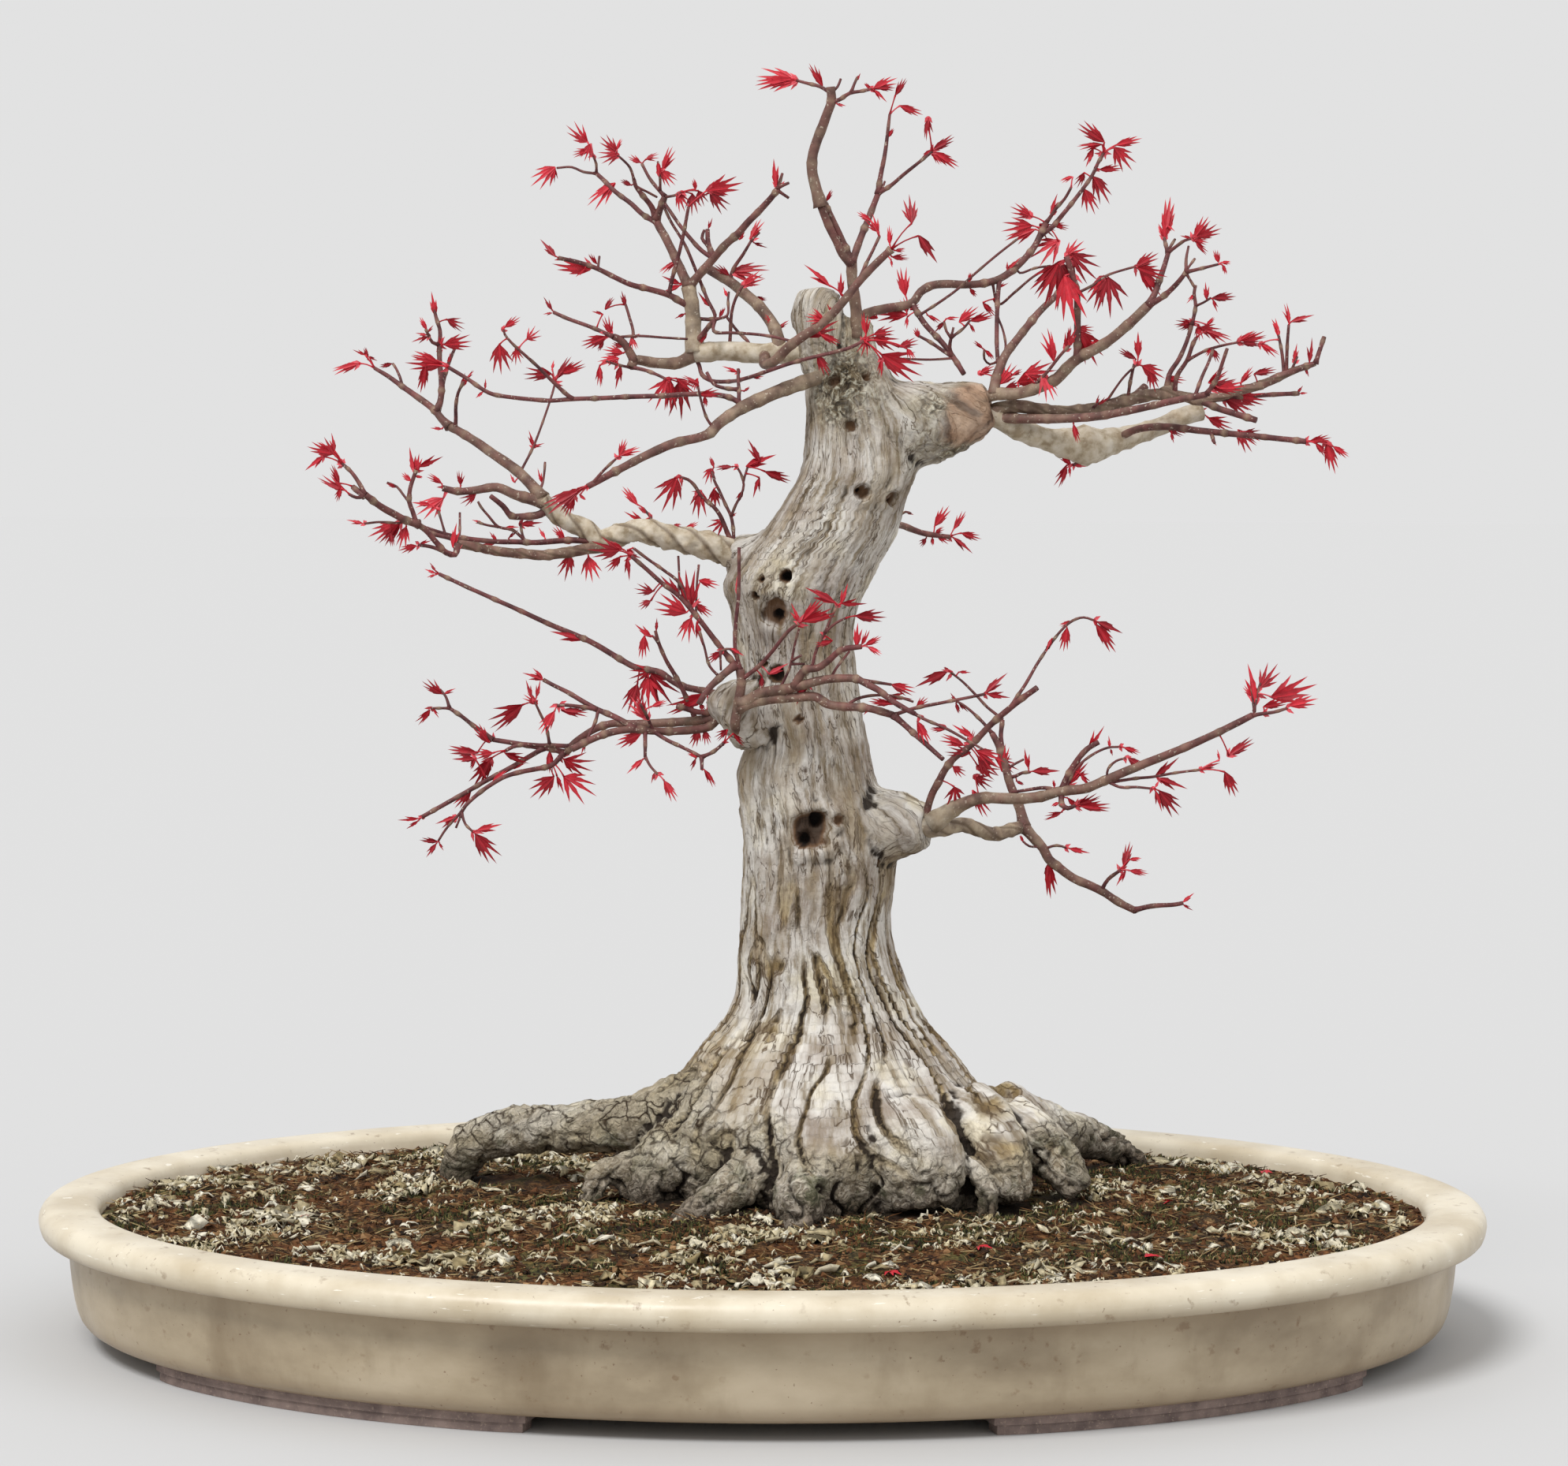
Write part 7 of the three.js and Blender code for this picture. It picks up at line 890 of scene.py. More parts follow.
def bark_finish():
    """Silvery bark with olive-brown furrows, cracked plates at the head and the flare, roots darker towards
    the soil, and painted shade in crevices and deep hollows.
    """
    finish = Finish("bark", roughness=0.85, specular=0.25)
    grain = finish.mark("grain", "Vector")
    low = finish.mark("low")
    plates = finish.mark("plates")
    clouds = finish.noise(26, detail=5)
    color = finish.ramp(clouds, (0.36, (160, 148, 137)), (0.45, (192, 184, 175)),
                        (0.54, (214, 209, 201)), (0.66, (224, 215, 193)))
    fibres = finish.noise(3.6, detail=9, stretch=(1, 1, 0.2), rough=0.7, where=grain)
    color = finish.blend(finish.ramp(fibres, (0.38, 0.85), (0.52, 0.0)), color, (126, 110, 84))
    color = finish.blend(finish.ramp(fibres, (0.53, 0.0), (0.70, 0.6)), color, (232, 229, 222))
    tan_clouds = finish.noise(15, detail=6, stretch=(1, 1, 0.35), where=grain)
    color = finish.blend(finish.ramp(tan_clouds, (0.50, 0.0), (0.64, 0.55)), color, (150, 130, 96))

    jagged = finish.noise(2.2, detail=5, stretch=(1, 1, 0.4), where=grain)
    edge = finish.math("MULTIPLY", finish.math("SUBTRACT", jagged, 0.5), 0.24)
    vein = finish.math("ABSOLUTE", finish.math("ADD", finish.mark("vein"), edge))
    share = finish.mark("vein_share")
    olive = finish.ramp(fibres, (0.38, (92, 72, 44)), (0.5, (134, 112, 74)),
                        (0.62, (176, 156, 116)))
    color = finish.blend(finish.times(finish.ramp(vein, (0.07, 0.95), (0.20, 0.0)), share), color, olive)
    broken = finish.ramp(tan_clouds, (0.4, 0.1), (0.52, 0.95))
    border = finish.times(finish.lines(vein, 0.04, 0.15), share, broken)
    color = finish.blend(border, color, (84, 64, 42))

    wavy = finish.noise(7.5, detail=4, stretch=(1, 1, 0.32), distortion=0.9, where=grain)
    in_places = finish.ramp(finish.noise(18, detail=3), (0.38, 0.1), (0.52, 0.95))
    cracks = finish.times(finish.lines(wavy, 0.02), in_places)
    color = finish.blend(cracks, color, (84, 66, 46))

    bent = finish.bent(finish.place, 9, 5)
    edges = finish.plate_edges(8.5, bent)
    curls = finish.noise(5.2, detail=3, distortion=2.2)
    scaly = finish.ramp(finish.noise(12), (0.4, (222, 210, 180)), (0.6, (196, 184, 158)))
    color = finish.blend(finish.times(plates, 0.55), color, scaly)
    plate_lines = finish.ramp(edges, (0.015, 1.0), (0.075, 0.0))
    curl_lines = finish.times(finish.lines(curls, 0.022), 0.8)
    marks = finish.math("MAXIMUM", plate_lines, curl_lines)
    patchy = finish.ramp(finish.noise(13, detail=3), (0.40, 0.15), (0.52, 1.0))
    color = finish.blend(finish.times(plates, marks, patchy), color, (66, 50, 34))

    worms = finish.noise(4.4, detail=6, distortion=1.8, rough=0.6)
    root_bark = finish.ramp(worms, (0.34, (88, 72, 58)), (0.43, (158, 142, 118)),
                            (0.51, (210, 200, 178)), (0.64, (232, 225, 210)))
    color = finish.blend(finish.times(low, 0.75), color, root_bark)
    color = finish.blend(finish.times(low, finish.lines(worms, 0.028, 0.47), 0.9), color, (58, 44, 32))
    scab = finish.mark("scab")
    scab_bark = finish.ramp(worms, (0.40, (52, 42, 30)), (0.50, (122, 104, 74)),
                            (0.60, (212, 208, 188)))
    color = finish.blend(finish.times(scab, 0.9), color, scab_bark)
    moss = finish.times(low, finish.ramp(finish.noise(13, detail=5), (0.50, 0.0), (0.60, 0.75)))
    color = finish.blend(moss, color, (88, 98, 66))
    # Roots darker towards the soil, by height alone
    near_soil_dark_share = finish.ramp(finish.math("ADD", finish.height(), finish.math("MULTIPLY", clouds, -0.03)),
                              (0.041, 0.92), (0.061, 0.0))
    near_soil_bark = finish.ramp(worms, (0.4, (40, 30, 24)), (0.6, (118, 100, 84)))
    color = finish.blend(near_soil_dark_share, color, near_soil_bark)
    # Painted shade: crevices and hollows between lumps darkened by how deep they lie
    painted_crevice_shade = finish.ramp(finish.mark("hollow_shade"), (0.08, 0.0), (0.45, 0.96))
    color = finish.blend(painted_crevice_shade, color, (40, 30, 22))

    halo = finish.math("ADD", finish.mark("halo"), finish.math("MULTIPLY", jagged, 0.35))
    rings = finish.ramp(finish.math("SINE", finish.math("MULTIPLY", halo, 19.0)), (0.35, 0.0), (0.85, 1.0))
    around = finish.ramp(finish.mark("halo"), (0.85, 0.0), (0.95, 0.85), (1.5, 0.6), (2.3, 0.0))
    color = finish.blend(finish.times(rings, around), color, (104, 84, 56))
    raw = finish.ramp(wavy, (0.40, (88, 62, 46)), (0.46, (158, 126, 102)),
                      (0.60, (196, 164, 138)))
    raw_share = finish.times(finish.mark("raw"), finish.ramp(clouds, (0.3, 0.4), (0.5, 0.95)))
    color = finish.blend(raw_share, color, raw)
    pit = finish.mark("pit")
    # Inside each knot hollow: brown wood at its edge, painted darker as shade the deeper it lies, down to
    # near black
    heart = finish.ramp(pit, (0.35, (108, 80, 56)), (0.55, (66, 46, 32)), (0.85, (22, 16, 12)))
    color = finish.blend(finish.ramp(pit, (0.08, 0.0), (0.35, 0.95)), color, heart)

    wrinkles = finish.noise(2.4, detail=7, stretch=(1, 1, 1.6), rough=0.65, where=grain)
    normal = finish.bump(wrinkles, 0.7, 0.8)
    normal = finish.bump(fibres, 1.3, 0.9, under=normal)
    furrows = finish.times(finish.ramp(vein, (0.02, 0.0), (0.17, 1.0)), share)
    normal = finish.bump(furrows, 0.9, 0.9, under=normal)
    normal = finish.bump(finish.ramp(wavy, (0.486, 1.0), (0.5, 0.0), (0.514, 1.0)), 0.35, 0.7, under=normal)
    plate_height = finish.times(plates, finish.ramp(edges, (0.0, 0.0), (0.12, 1.0)), patchy)
    normal = finish.bump(plate_height, 1.6, 1.0, under=normal)
    normal = finish.bump(finish.times(finish.math("MAXIMUM", low, plates), worms), 3.2, 1.0, under=normal)
    return finish.done(color, normal)


def twig_finish():
    """Twigs: red-brown while young, grey-brown with age, with paler rings and lenticels."""
    finish = Finish("twig_bark", roughness=0.62, specular=0.35)
    young = finish.ramp(finish.noise(5, detail=4), (0.35, (74, 36, 38)), (0.65, (118, 66, 64)))
    grey = finish.ramp(finish.noise(7, detail=6), (0.34, (86, 70, 58)), (0.5, (126, 108, 90)),
                       (0.66, (168, 152, 128)))
    color = finish.blend(finish.mark("age"), young, grey)
    old = finish.ramp(finish.noise(5, detail=6), (0.36, (150, 134, 108)), (0.5, (196, 184, 162)),
                      (0.64, (218, 209, 192)))
    color = finish.blend(finish.ramp(finish.mark("old"), (0.0, 0.0), (1.0, 0.8)), color, old)
    dots = finish.ramp(finish.noise(1.3, detail=1), (0.66, 0.0), (0.72, 0.6))
    color = finish.blend(dots, color, (190, 178, 160))
    color = finish.blend(finish.math("MULTIPLY", finish.mark("ring"), 0.55), color, (176, 156, 128))
    color = finish.blend(finish.mark("scar"), color, (96, 78, 60))
    return finish.done(color, finish.bump(finish.noise(1.1, detail=5), 0.15, 0.8))


def leaf_finish():
    """Young crimson leaves, each with its own tint, with paler ribs and darker edges."""
    finish = Finish("crimson_leaf", roughness=0.5, specular=0.35)
    color = finish.ramp(finish.mark("tint"), (0.0, (128, 8, 24)), (0.45, (176, 16, 34)),
                        (0.8, (200, 34, 50)), (1.0, (222, 96, 106)))
    color = finish.blend(finish.ramp(finish.mark("rib"), (0.0, 0.35), (0.35, 0.0)), color, (226, 78, 90))
    dark_flecks = finish.ramp(finish.noise(3, detail=4), (0.45, 0.0), (0.75, 0.5))
    color = finish.blend(dark_flecks, color, (104, 6, 20))
    return finish.done(color, finish.bump(finish.noise(1.2, detail=3), 0.15, 0.5))


def soil_finish():
    finish = Finish("soil", roughness=0.95, specular=0.2)
    grains = finish.noise(2.6, detail=6, rough=0.7)
    color = finish.ramp(grains, (0.36, (24, 18, 13)), (0.5, (66, 50, 34)), (0.64, (126, 100, 66)))
    rusty = finish.ramp(finish.noise(34, detail=4), (0.42, 0.0), (0.58, 0.8))
    rust = finish.ramp(grains, (0.36, (48, 28, 15)), (0.64, (140, 88, 48)))
    color = finish.blend(rusty, color, rust)
    mossy = finish.ramp(finish.noise(26, detail=5), (0.52, 0.0), (0.62, 0.7))
    moss = finish.ramp(grains, (0.36, (28, 30, 16)), (0.64, (104, 104, 58)))
    color = finish.blend(mossy, color, moss)
    # Painted shade: the soil darkened where it meets the roots
    color = finish.blend(finish.mark("root_shade"), color, (26, 20, 15))
    return finish.done(color, finish.bump(grains, 1.2, 1.0))


def bits_finish(name, low, middle, high):
    finish = Finish(name, roughness=0.9, specular=0.25)
    color = finish.ramp(finish.mark("tint"), (0.0, low), (0.5, middle), (1.0, high))
    shade = finish.ramp(finish.noise(2.0, detail=4), (0.35, 0.62), (0.65, 1.0))
    return finish.done(finish.blend(1.0, color, shade, "MULTIPLY"), finish.bump(finish.noise(0.8), 0.1, 0.6))


# The tray


def oval_point(inset, angle, height):
    half_length, half_width = POT_LENGTH / 2 - inset, POT_WIDTH / 2 - inset
    return Vector((half_length * math.cos(angle), half_width * math.sin(angle), height))


def oval_body(name, profile, sides):
    """An oval body from [inset, height] steps: the first ring is grown inwards and outwards step by step."""
    first_inset, first_height = profile[0]
    bpy.ops.mesh.primitive_circle_add(vertices=sides, radius=1, fill_type="NGON")
    body = bpy.context.object
    body.name = name
    half_length, half_width = POT_LENGTH / 2 - first_inset, POT_WIDTH / 2 - first_inset
    body.scale = (half_length * MM, half_width * MM, 1)
    body.location = (0, 0, first_height * MM)
    place_in_mesh(body)
    bpy.ops.object.mode_set(mode="EDIT")
    bpy.ops.mesh.select_all(action="SELECT")
    for (inset, height), (next_inset, next_height) in zip(profile, profile[1:]):
        lift = (0, 0, (next_height - height) * MM)
        bpy.ops.mesh.extrude_region_move(TRANSFORM_OT_translate={"value": lift})
        sides_x = (POT_LENGTH / 2 - next_inset) / (POT_LENGTH / 2 - inset)
        sides_y = (POT_WIDTH / 2 - next_inset) / (POT_WIDTH / 2 - inset)
        bpy.ops.transform.resize(value=(sides_x, sides_y, 1), center_override=(0, 0, 0))
    bpy.ops.mesh.select_all(action="SELECT")
    bpy.ops.mesh.normals_make_consistent(inside=False)
    bpy.ops.object.mode_set(mode="OBJECT")
    return body


def build_pot(glaze, clay, net):
    """Floor, bulging wall, thick rounded rim band, four strip feet and two drain holes."""
    profile = [
        (40, FOOT_HEIGHT), (26.5, FOOT_HEIGHT), (23, 6.9), (20.5, 7.8), (18.2, 9.3), (16.6, 11.4),
        (15.4, 14.4), (14.3, 19), (13.5, 24), (12.8, 30), (12.3, 36), (12, 41), (11.6, 43.6),
        (10.4, 44.6), (7.5, 44.9), (3.4, 45.0), (1.9, 45.4), (1.1, 46.3), (0.5, 48), (0.1, 50), (0, 51.5),
        (0.3, 53.2), (1.2, 54.9), (2.6, 56.3), (4.4, 57.2), (7.5, 57.6), (12, RIM_HEIGHT), (17, 57.6),
        (20.5, 57.3), (22.6, 56.6), (24.2, 55.2), (25, 53), (26.4, 46), (28.6, 30), (30.6, 18),
        (32.4, 14), (36, FLOOR_TOP), (60, FLOOR_TOP),
    ]
    pot = oval_body("pot_body", profile, POT_SIDES)
    for side in (-1, 1):
        bpy.ops.mesh.primitive_cylinder_add(vertices=48, radius=DRAIN_RADIUS * MM, depth=4 * FLOOR_TOP * MM,
                                            location=(side * DRAIN_X * MM, 0, FLOOR_TOP * MM))
        drill = bpy.context.object
        apply_modifier(pot, "BOOLEAN", object=drill, operation="DIFFERENCE", solver="EXACT")
        bpy.data.objects.remove(drill)
    shown(pot, glaze)
    pick_only(pot)
    bpy.ops.object.shade_smooth_by_angle(angle=math.radians(40))
    stands_for(pot, "pot")
    stands_for(build_feet(clay), "pot")
    for side, node in ((-1, "drain_mesh_left"), (1, "drain_mesh_right")):
        stands_for(build_drain_mesh(node + "_net", side * DRAIN_X, net), node)


def build_feet(clay):
    """Four low strips that follow the oval, softened at their edges and sunk a little into the floor."""
    feet = None
    for number in range(4):
        bpy.ops.mesh.primitive_cube_add(size=1)
        foot = bpy.context.object
        foot.scale = (1, 1, FOOT_HEIGHT * MM)
        foot.location = (0, 0, FOOT_HEIGHT / 2 * MM)
        place_in_mesh(foot)
        bpy.ops.object.mode_set(mode="EDIT")
        bpy.ops.mesh.select_all(action="DESELECT")
        bpy.ops.object.mode_set(mode="OBJECT")
        for edge in foot.data.edges:
            ends = [foot.data.vertices[i].co for i in edge.vertices]
            edge.select = abs(ends[0].x - ends[1].x) > 0.5
        bpy.ops.object.mode_set(mode="EDIT")
        bpy.ops.mesh.subdivide(number_cuts=23)
        bpy.ops.object.mode_set(mode="OBJECT")
        side_x = 1 if number in (0, 3) else -1
        side_y = 1 if number < 2 else -1
        for vertex in foot.data.vertices:
            along = vertex.co.x + 0.5
            out = vertex.co.y + 0.5
            sole = 1.0 if vertex.co.z < FOOT_HEIGHT / 2 * MM else 0.0
            end = max(0.0, abs(along - 0.5) - 0.44) / 0.06
            angle = mix(FOOT_START, FOOT_END, mix(along, 0.5 + (along - 0.5) * 0.985, sole))
            inset = mix(FOOT_INNER_INSET - 0.6 * sole, FOOT_OUTER_INSET + 1.2 * sole, out)
            spot = oval_point(mix(inset, (FOOT_INNER_INSET + FOOT_OUTER_INSET) / 2, 0.25 * end), angle, 0)
            vertex.co = (side_x * spot.x * MM, side_y * spot.y * MM, 1.2 * vertex.co.z)
        foot.name = f"foot_{number}"
        feet = foot if feet is None else join_two(feet, foot)
    pick_only(feet)
    bpy.ops.object.mode_set(mode="EDIT")
    bpy.ops.mesh.select_all(action="SELECT")
    bpy.ops.mesh.normals_make_consistent(inside=False)
    bpy.ops.object.mode_set(mode="OBJECT")
    feet.name = "pot_feet"
    shown(feet, clay)
    apply_modifier(feet, "BEVEL", width=0.9 * MM, segments=3, limit_method="ANGLE", harden_normals=True)
    return feet


def join_two(keeper, other):
    bpy.ops.object.select_all(action="DESELECT")
    keeper.select_set(True)
    other.select_set(True)
    bpy.context.view_layer.objects.active = keeper
    bpy.ops.object.join()
    return keeper


def build_drain_mesh(name, centre_x, net):
    """A square of plastic net: a plane cut into cells whose insides are taken out, with a thickness."""
    bpy.ops.mesh.primitive_grid_add(x_subdivisions=12, y_subdivisions=12, size=MESH_SIDE * MM,
                                    location=(centre_x * MM, 0, (FLOOR_TOP + GAP + MESH_THICKNESS / 2) * MM))
    sheet = bpy.context.object
    sheet.name = name
    place_in_mesh(sheet)
    apply_modifier(sheet, "WIREFRAME", thickness=MESH_THICKNESS * MM, use_replace=True, use_boundary=True)
    return shown(sheet, net, smooth=False)


# The soil


def soil_height(x, y):
    reach = min(1.0, math.hypot(x / (POT_LENGTH / 2 - 26), y / (POT_WIDTH / 2 - 26)))
    lumps = math.sin(x * 0.09 + 1.3) * math.sin(y * 0.11) + 0.6 * math.sin(x * 0.23 - y * 0.19)
    mound = SOIL_MOUND * (1 - reach * reach)
    return SOIL_EDGE_HEIGHT + mound - SOIL_TILT * y / (POT_WIDTH / 2) + SOIL_LUMPS * lumps * (1 - reach ** 4)


def crumbly_height(x, y):
    grit = noise.noise((x / 9, y / 9, 3.1)) * 1.3 + noise.noise((x / 3.4, y / 3.4, 7.7))
    return soil_height(x, y) + grit


def build_soil(trunk, dressing):
    """The bed, an oval drawn in ring by ring, and the litter that lies on it."""
    profile = [(40, FLOOR_TOP + GAP), (35.4, FLOOR_TOP + GAP), (31, 18.4), (26, 48)]
    rings = [SOIL_INSET + SOIL_RING_STEP * k for k in range(SOIL_RINGS)]
    bed = oval_body("soil_bed", profile + [(inset, SOIL_EDGE_HEIGHT) for inset in rings], SOIL_SIDES)
    for vertex in bed.data.vertices:
        if vertex.co.z > (SOIL_EDGE_HEIGHT - 0.5) * MM:
            vertex.co.z = crumbly_height(vertex.co.x / MM, vertex.co.y / MM) * MM
    shown(bed, dressing["soil"])
    stands_for(bed, "soil")
    cover = SoilCover(trunk)
    # Painted shade on the soil around the roots, fading with distance from them
    away = [cover.roots.find_nearest(vertex.co)[3] for vertex in bed.data.vertices]
    root_shade = [0.9 * math.exp(-(distance / (ROOT_SHADE_REACH * MM)) ** 2) for distance in away]
    bed.data.attributes.new("root_shade", "FLOAT", "POINT").data.foreach_set("value", root_shade)
    for name, piece in (
        ("soil_crumbs", cover.crumbs(CRUMB_COUNT, dressing["crumbs"])),
        ("soil_pale_moss_bits", cover.curls(PALE_BIT_COUNT, dressing["pale_bits"])),
        ("soil_fibres", cover.fibres(FIBRE_COUNT, dressing["fibres"])),
        ("soil_green_moss", cover.moss(MOSS_COUNT, dressing["moss"])),
    ):
        piece.name = name
        stands_for(piece, "soil")


class SoilCover:
    """What lies on the soil, kept clear of the roots."""

    def __init__(self, trunk):
        mesh = trunk.data
        corners = [vertex.co for vertex in mesh.vertices]
        self.roots = BVHTree.FromPolygons(corners, [face.vertices[:] for face in mesh.polygons])

    def spots(self, count, margin=27, wanted=lambda x, y: 1.0):
        """Places drawn at random where no root covers the soil, more of them where they are wanted."""
        found = []
        while len(found) < count:
            angle = random_draw.uniform(0, 2 * math.pi)
            reach = math.sqrt(random_draw.uniform(0, 1))
            x = (POT_LENGTH / 2 - margin) * reach * math.cos(angle)
            y = (POT_WIDTH / 2 - margin) * reach * math.sin(angle)
            if random_draw.uniform() > wanted(x, y):
                continue
            hit = self.roots.ray_cast(Vector((x * MM, y * MM, ABOVE_ROOTS * MM)), Vector((0, 0, -1)))[0]
            if hit is None or hit.z < crumbly_height(x, y) * MM:
                found.append((x, y, crumbly_height(x, y)))
        return found

    def crumbs(self, count, material):
        """Grains of soil: squashed eight-faced lumps."""
        shape = Shape("tint")
        for x, y, z in self.spots(count):
            size = 0.6 + 2.0 * random_draw.uniform() ** 2
            turn = Matrix.Rotation(random_draw.uniform(0, math.pi), 3, random_draw.normal(size=3))
            corners = [(1, 0, 0), (0, 1, 0), (-1, 0, 0), (0, -1, 0), (0, 0, 1), (0, 0, -1)]
            points = [turn @ (Vector(corner) * size * random_draw.uniform(0.6, 1.2)) + Vector((x, y, z))
                      for corner in corners]
            faces = [(i, (i + 1) % 4, 4) for i in range(4)] + [((i + 1) % 4, i, 5) for i in range(4)]
            shape.add(points, faces, tint=random_draw.uniform() ** 1.3)
        return shape.piece("soil_crumbs", material, smooth=False)

    def curls(self, count, material):
        """Chopped pale moss: short curled ribbons that lie in loose groups."""
        shape = Shape("tint")

        def clumped(x, y):
            group = noise.noise((x / 34, y / 34, 1.7)) + 0.9 * noise.noise((x / 10, y / 10, 5.2))
            return 0.05 + step_between(0.0, 0.6, group) * (1.0 if x < 10 else 0.55)

        for x, y, z in self.spots(count, 30, clumped):
            is_small = random_draw.uniform() < 0.7
            length = random_draw.uniform(1.6, 4.6) if is_small else random_draw.uniform(5, 13)
            width = length * random_draw.uniform(0.18, 0.42)
            turn = random_draw.uniform(0, 2 * math.pi)
            curl = random_draw.uniform(-0.45, 0.45)
            rows = 5
            points = []
            spot = Vector((x, y, z + 0.7))
            for row in range(rows):
                side = Vector((-math.sin(turn), math.cos(turn), random_draw.uniform(-1.1, 1.1))) * width / 2
                arch = math.sin(math.pi * row / (rows - 1)) * random_draw.uniform(0.4, 2.2)
                points += [spot + side + Vector((0, 0, arch)), spot - side + Vector((0, 0, arch))]
                points += [spot + Vector((0, 0, arch - 0.8))]
                spot += Vector((math.cos(turn), math.sin(turn), 0)) * length / (rows - 1)
                turn += curl * 2
            shape.add(points, ring_faces(rows, 3), tint=random_draw.uniform())
        return shape.piece("soil_pale_moss_bits", material)

    def fibres(self, count, material):
        """Brown fibres and needles, thin three-sided spikes lying about."""
        shape = Shape("tint")
        for x, y, z in self.spots(count, 30):
            length = random_draw.uniform(2.5, 9)
            turn = random_draw.uniform(0, 2 * math.pi)
            along = Vector((math.cos(turn), math.sin(turn), random_draw.uniform(-0.1, 0.4)))
            side = Vector((-math.sin(turn), math.cos(turn), 0))
            points = []
            for row in range(3):
                spot = Vector((x, y, z + 0.7)) + along * length * row / 2
                spot += side * (0.6 if row == 1 else 0) * random_draw.uniform(-1, 1)
                width = (0.26, 0.26, 0.1)[row]
                points += [spot + side * width, spot - side * width, spot + Vector((0, 0, width * 1.6))]
            shape.add(points, ring_faces(3, 3), tint=random_draw.uniform() ** 1.6)
        return shape.piece("soil_fibres", material)

    def moss(self, count, material):
        """Patches of green moss: dense little upright tufts."""
        shape = Shape("tint")

        def patches(x, y):
            lean = 0.16 if x > 40 else 0.0
            by_roots = 0.24 * math.exp(-((math.hypot(x - 20, 1.3 * (y - 10)) - 115) / 40) ** 2)
            return step_between(0.20 - lean - by_roots, 0.36, noise.noise((x / 24, y / 24, 9.3)))

        for x, y, z in self.spots(count, 29, patches):
            height = random_draw.uniform(0.8, 2.8)
            lean = Vector((random_draw.normal() * 0.9, random_draw.normal() * 0.9, height))
            width = random_draw.uniform(0.4, 0.9)
            spread = random_draw.uniform(0, 2)
            turns = [spread + k * 2.1 for k in range(3)]
            foot = [Vector((x + width * math.cos(turn), y + width * math.sin(turn), z - 0.4))
                    for turn in turns]
            shape.add(foot + [Vector((x, y, z)) + lean], [(0, 1, 3), (1, 2, 3), (2, 0, 3), (2, 1, 0)],
                      tint=random_draw.uniform())
        return shape.piece("soil_green_moss", material)


def build_fallen_leaves(crimson):
    """A few red leaves that fell on the soil."""
    leaves = Shape("tint", "rib")
    for number, (u, v) in enumerate(FALLEN_LEAVES):
        heart = seen(u, v, 0)
        for _ in range(8):
            depth = heart.y + (heart.z - crumbly_height(heart.x, heart.y) - 1.6) * 3.5
            heart = seen(u, v, depth)
        turn = 2 * math.pi * chance(number)
        for lobe in range(3):
            lean = turn + 0.5 * (lobe - 1)
            along = Vector((math.cos(lean), math.sin(lean), 0.1))
            beside = Vector((-math.sin(lean), math.cos(lean), 0.3 * chance(number + lobe)))
            size = 5 + 3 * chance(number + 0.5)
            add_lobe(leaves, heart, along, beside, Vector((0, 0, 1)), size, 1.0, 0.6, 0.15)
    stands_for(leaves.piece("soil_fallen_leaves", crimson), "soil")


def ring_faces(rows, sides):
    """Faces of a closed tube whose vertices are numbered ring by ring."""
    faces = [tuple(reversed(range(sides)))]
    for row in range(rows - 1):
        for side in range(sides):
            a = row * sides + side
            b = row * sides + (side + 1) % sides
            faces.append((a, b, b + sides, a + sides))
    faces.append(tuple(range((rows - 1) * sides, rows * sides)))
    return faces

# The trunk


def smooth_run(stations, step):
    """Rows of numbers, the first three a place in millimetres, as a smooth curve with close stations."""
    rows = np.array(stations, float)
    if len(rows) == 2:
        count = max(2, math.ceil(np.linalg.norm(rows[1, :3] - rows[0, :3]) / step) + 1)
        return rows[0] + (rows[1] - rows[0]) * np.linspace(0, 1, count)[:, None]
    padded = np.vstack([2 * rows[0] - rows[1], rows, 2 * rows[-1] - rows[-2]])
    gaps = np.maximum(np.sqrt(np.linalg.norm(np.diff(padded[:, :3], axis=0), axis=1)), 1e-3)
    out = []
    for i in range(1, len(padded) - 2):
        p0, p1, p2, p3 = padded[i - 1:i + 3]
        t1 = gaps[i - 1]
        t2 = t1 + gaps[i]
        t3 = t2 + gaps[i + 1]
        count = max(1, math.ceil(np.linalg.norm(p2[:3] - p1[:3]) / step))
        for t in t1 + gaps[i] * np.arange(count) / count:
            a1 = p0 + (p1 - p0) * (t / t1)
            a2 = p1 + (p2 - p1) * ((t - t1) / gaps[i])
            a3 = p2 + (p3 - p2) * ((t - t2) / gaps[i + 1])
            b1 = a1 + (a2 - a1) * (t / t2)
            b2 = a2 + (a3 - a2) * ((t - t1) / (t3 - t1))
            out.append(b1 + (b2 - b1) * ((t - t1) / gaps[i]))
    out.append(padded[-2])
    return np.array(out)


def tube(places, radii, sides, swell=None):
    """Vertices and faces of a closed tube; swell(row, angle) scales the radius."""
    points = []
    side = Vector((0.3, 1.0, 0.1))
    last = len(places) - 1
    for row, place in enumerate(places):
        along = Vector(places[min(last, row + 1)]) - Vector(places[max(0, row - 1)])
        along.normalize()
        first = (side - along * side.dot(along)).normalized()
        side = first
        second = along.cross(first)
        for k in range(sides):
            angle = 2 * math.pi * k / sides
            radius = radii[row] * (swell(row, angle) if swell else 1)
            across, up = radius * math.cos(angle), radius * math.sin(angle)
            points.append(Vector(place) + first * across + second * up)
    return points, ring_faces(len(places), sides)


def trunk_ring(v, left_u, right_u, depth):
    left = seen(left_u, v, depth)
    right = seen(right_u, v, depth)
    return [*((left + right) / 2), (right.x - left.x) / 2]


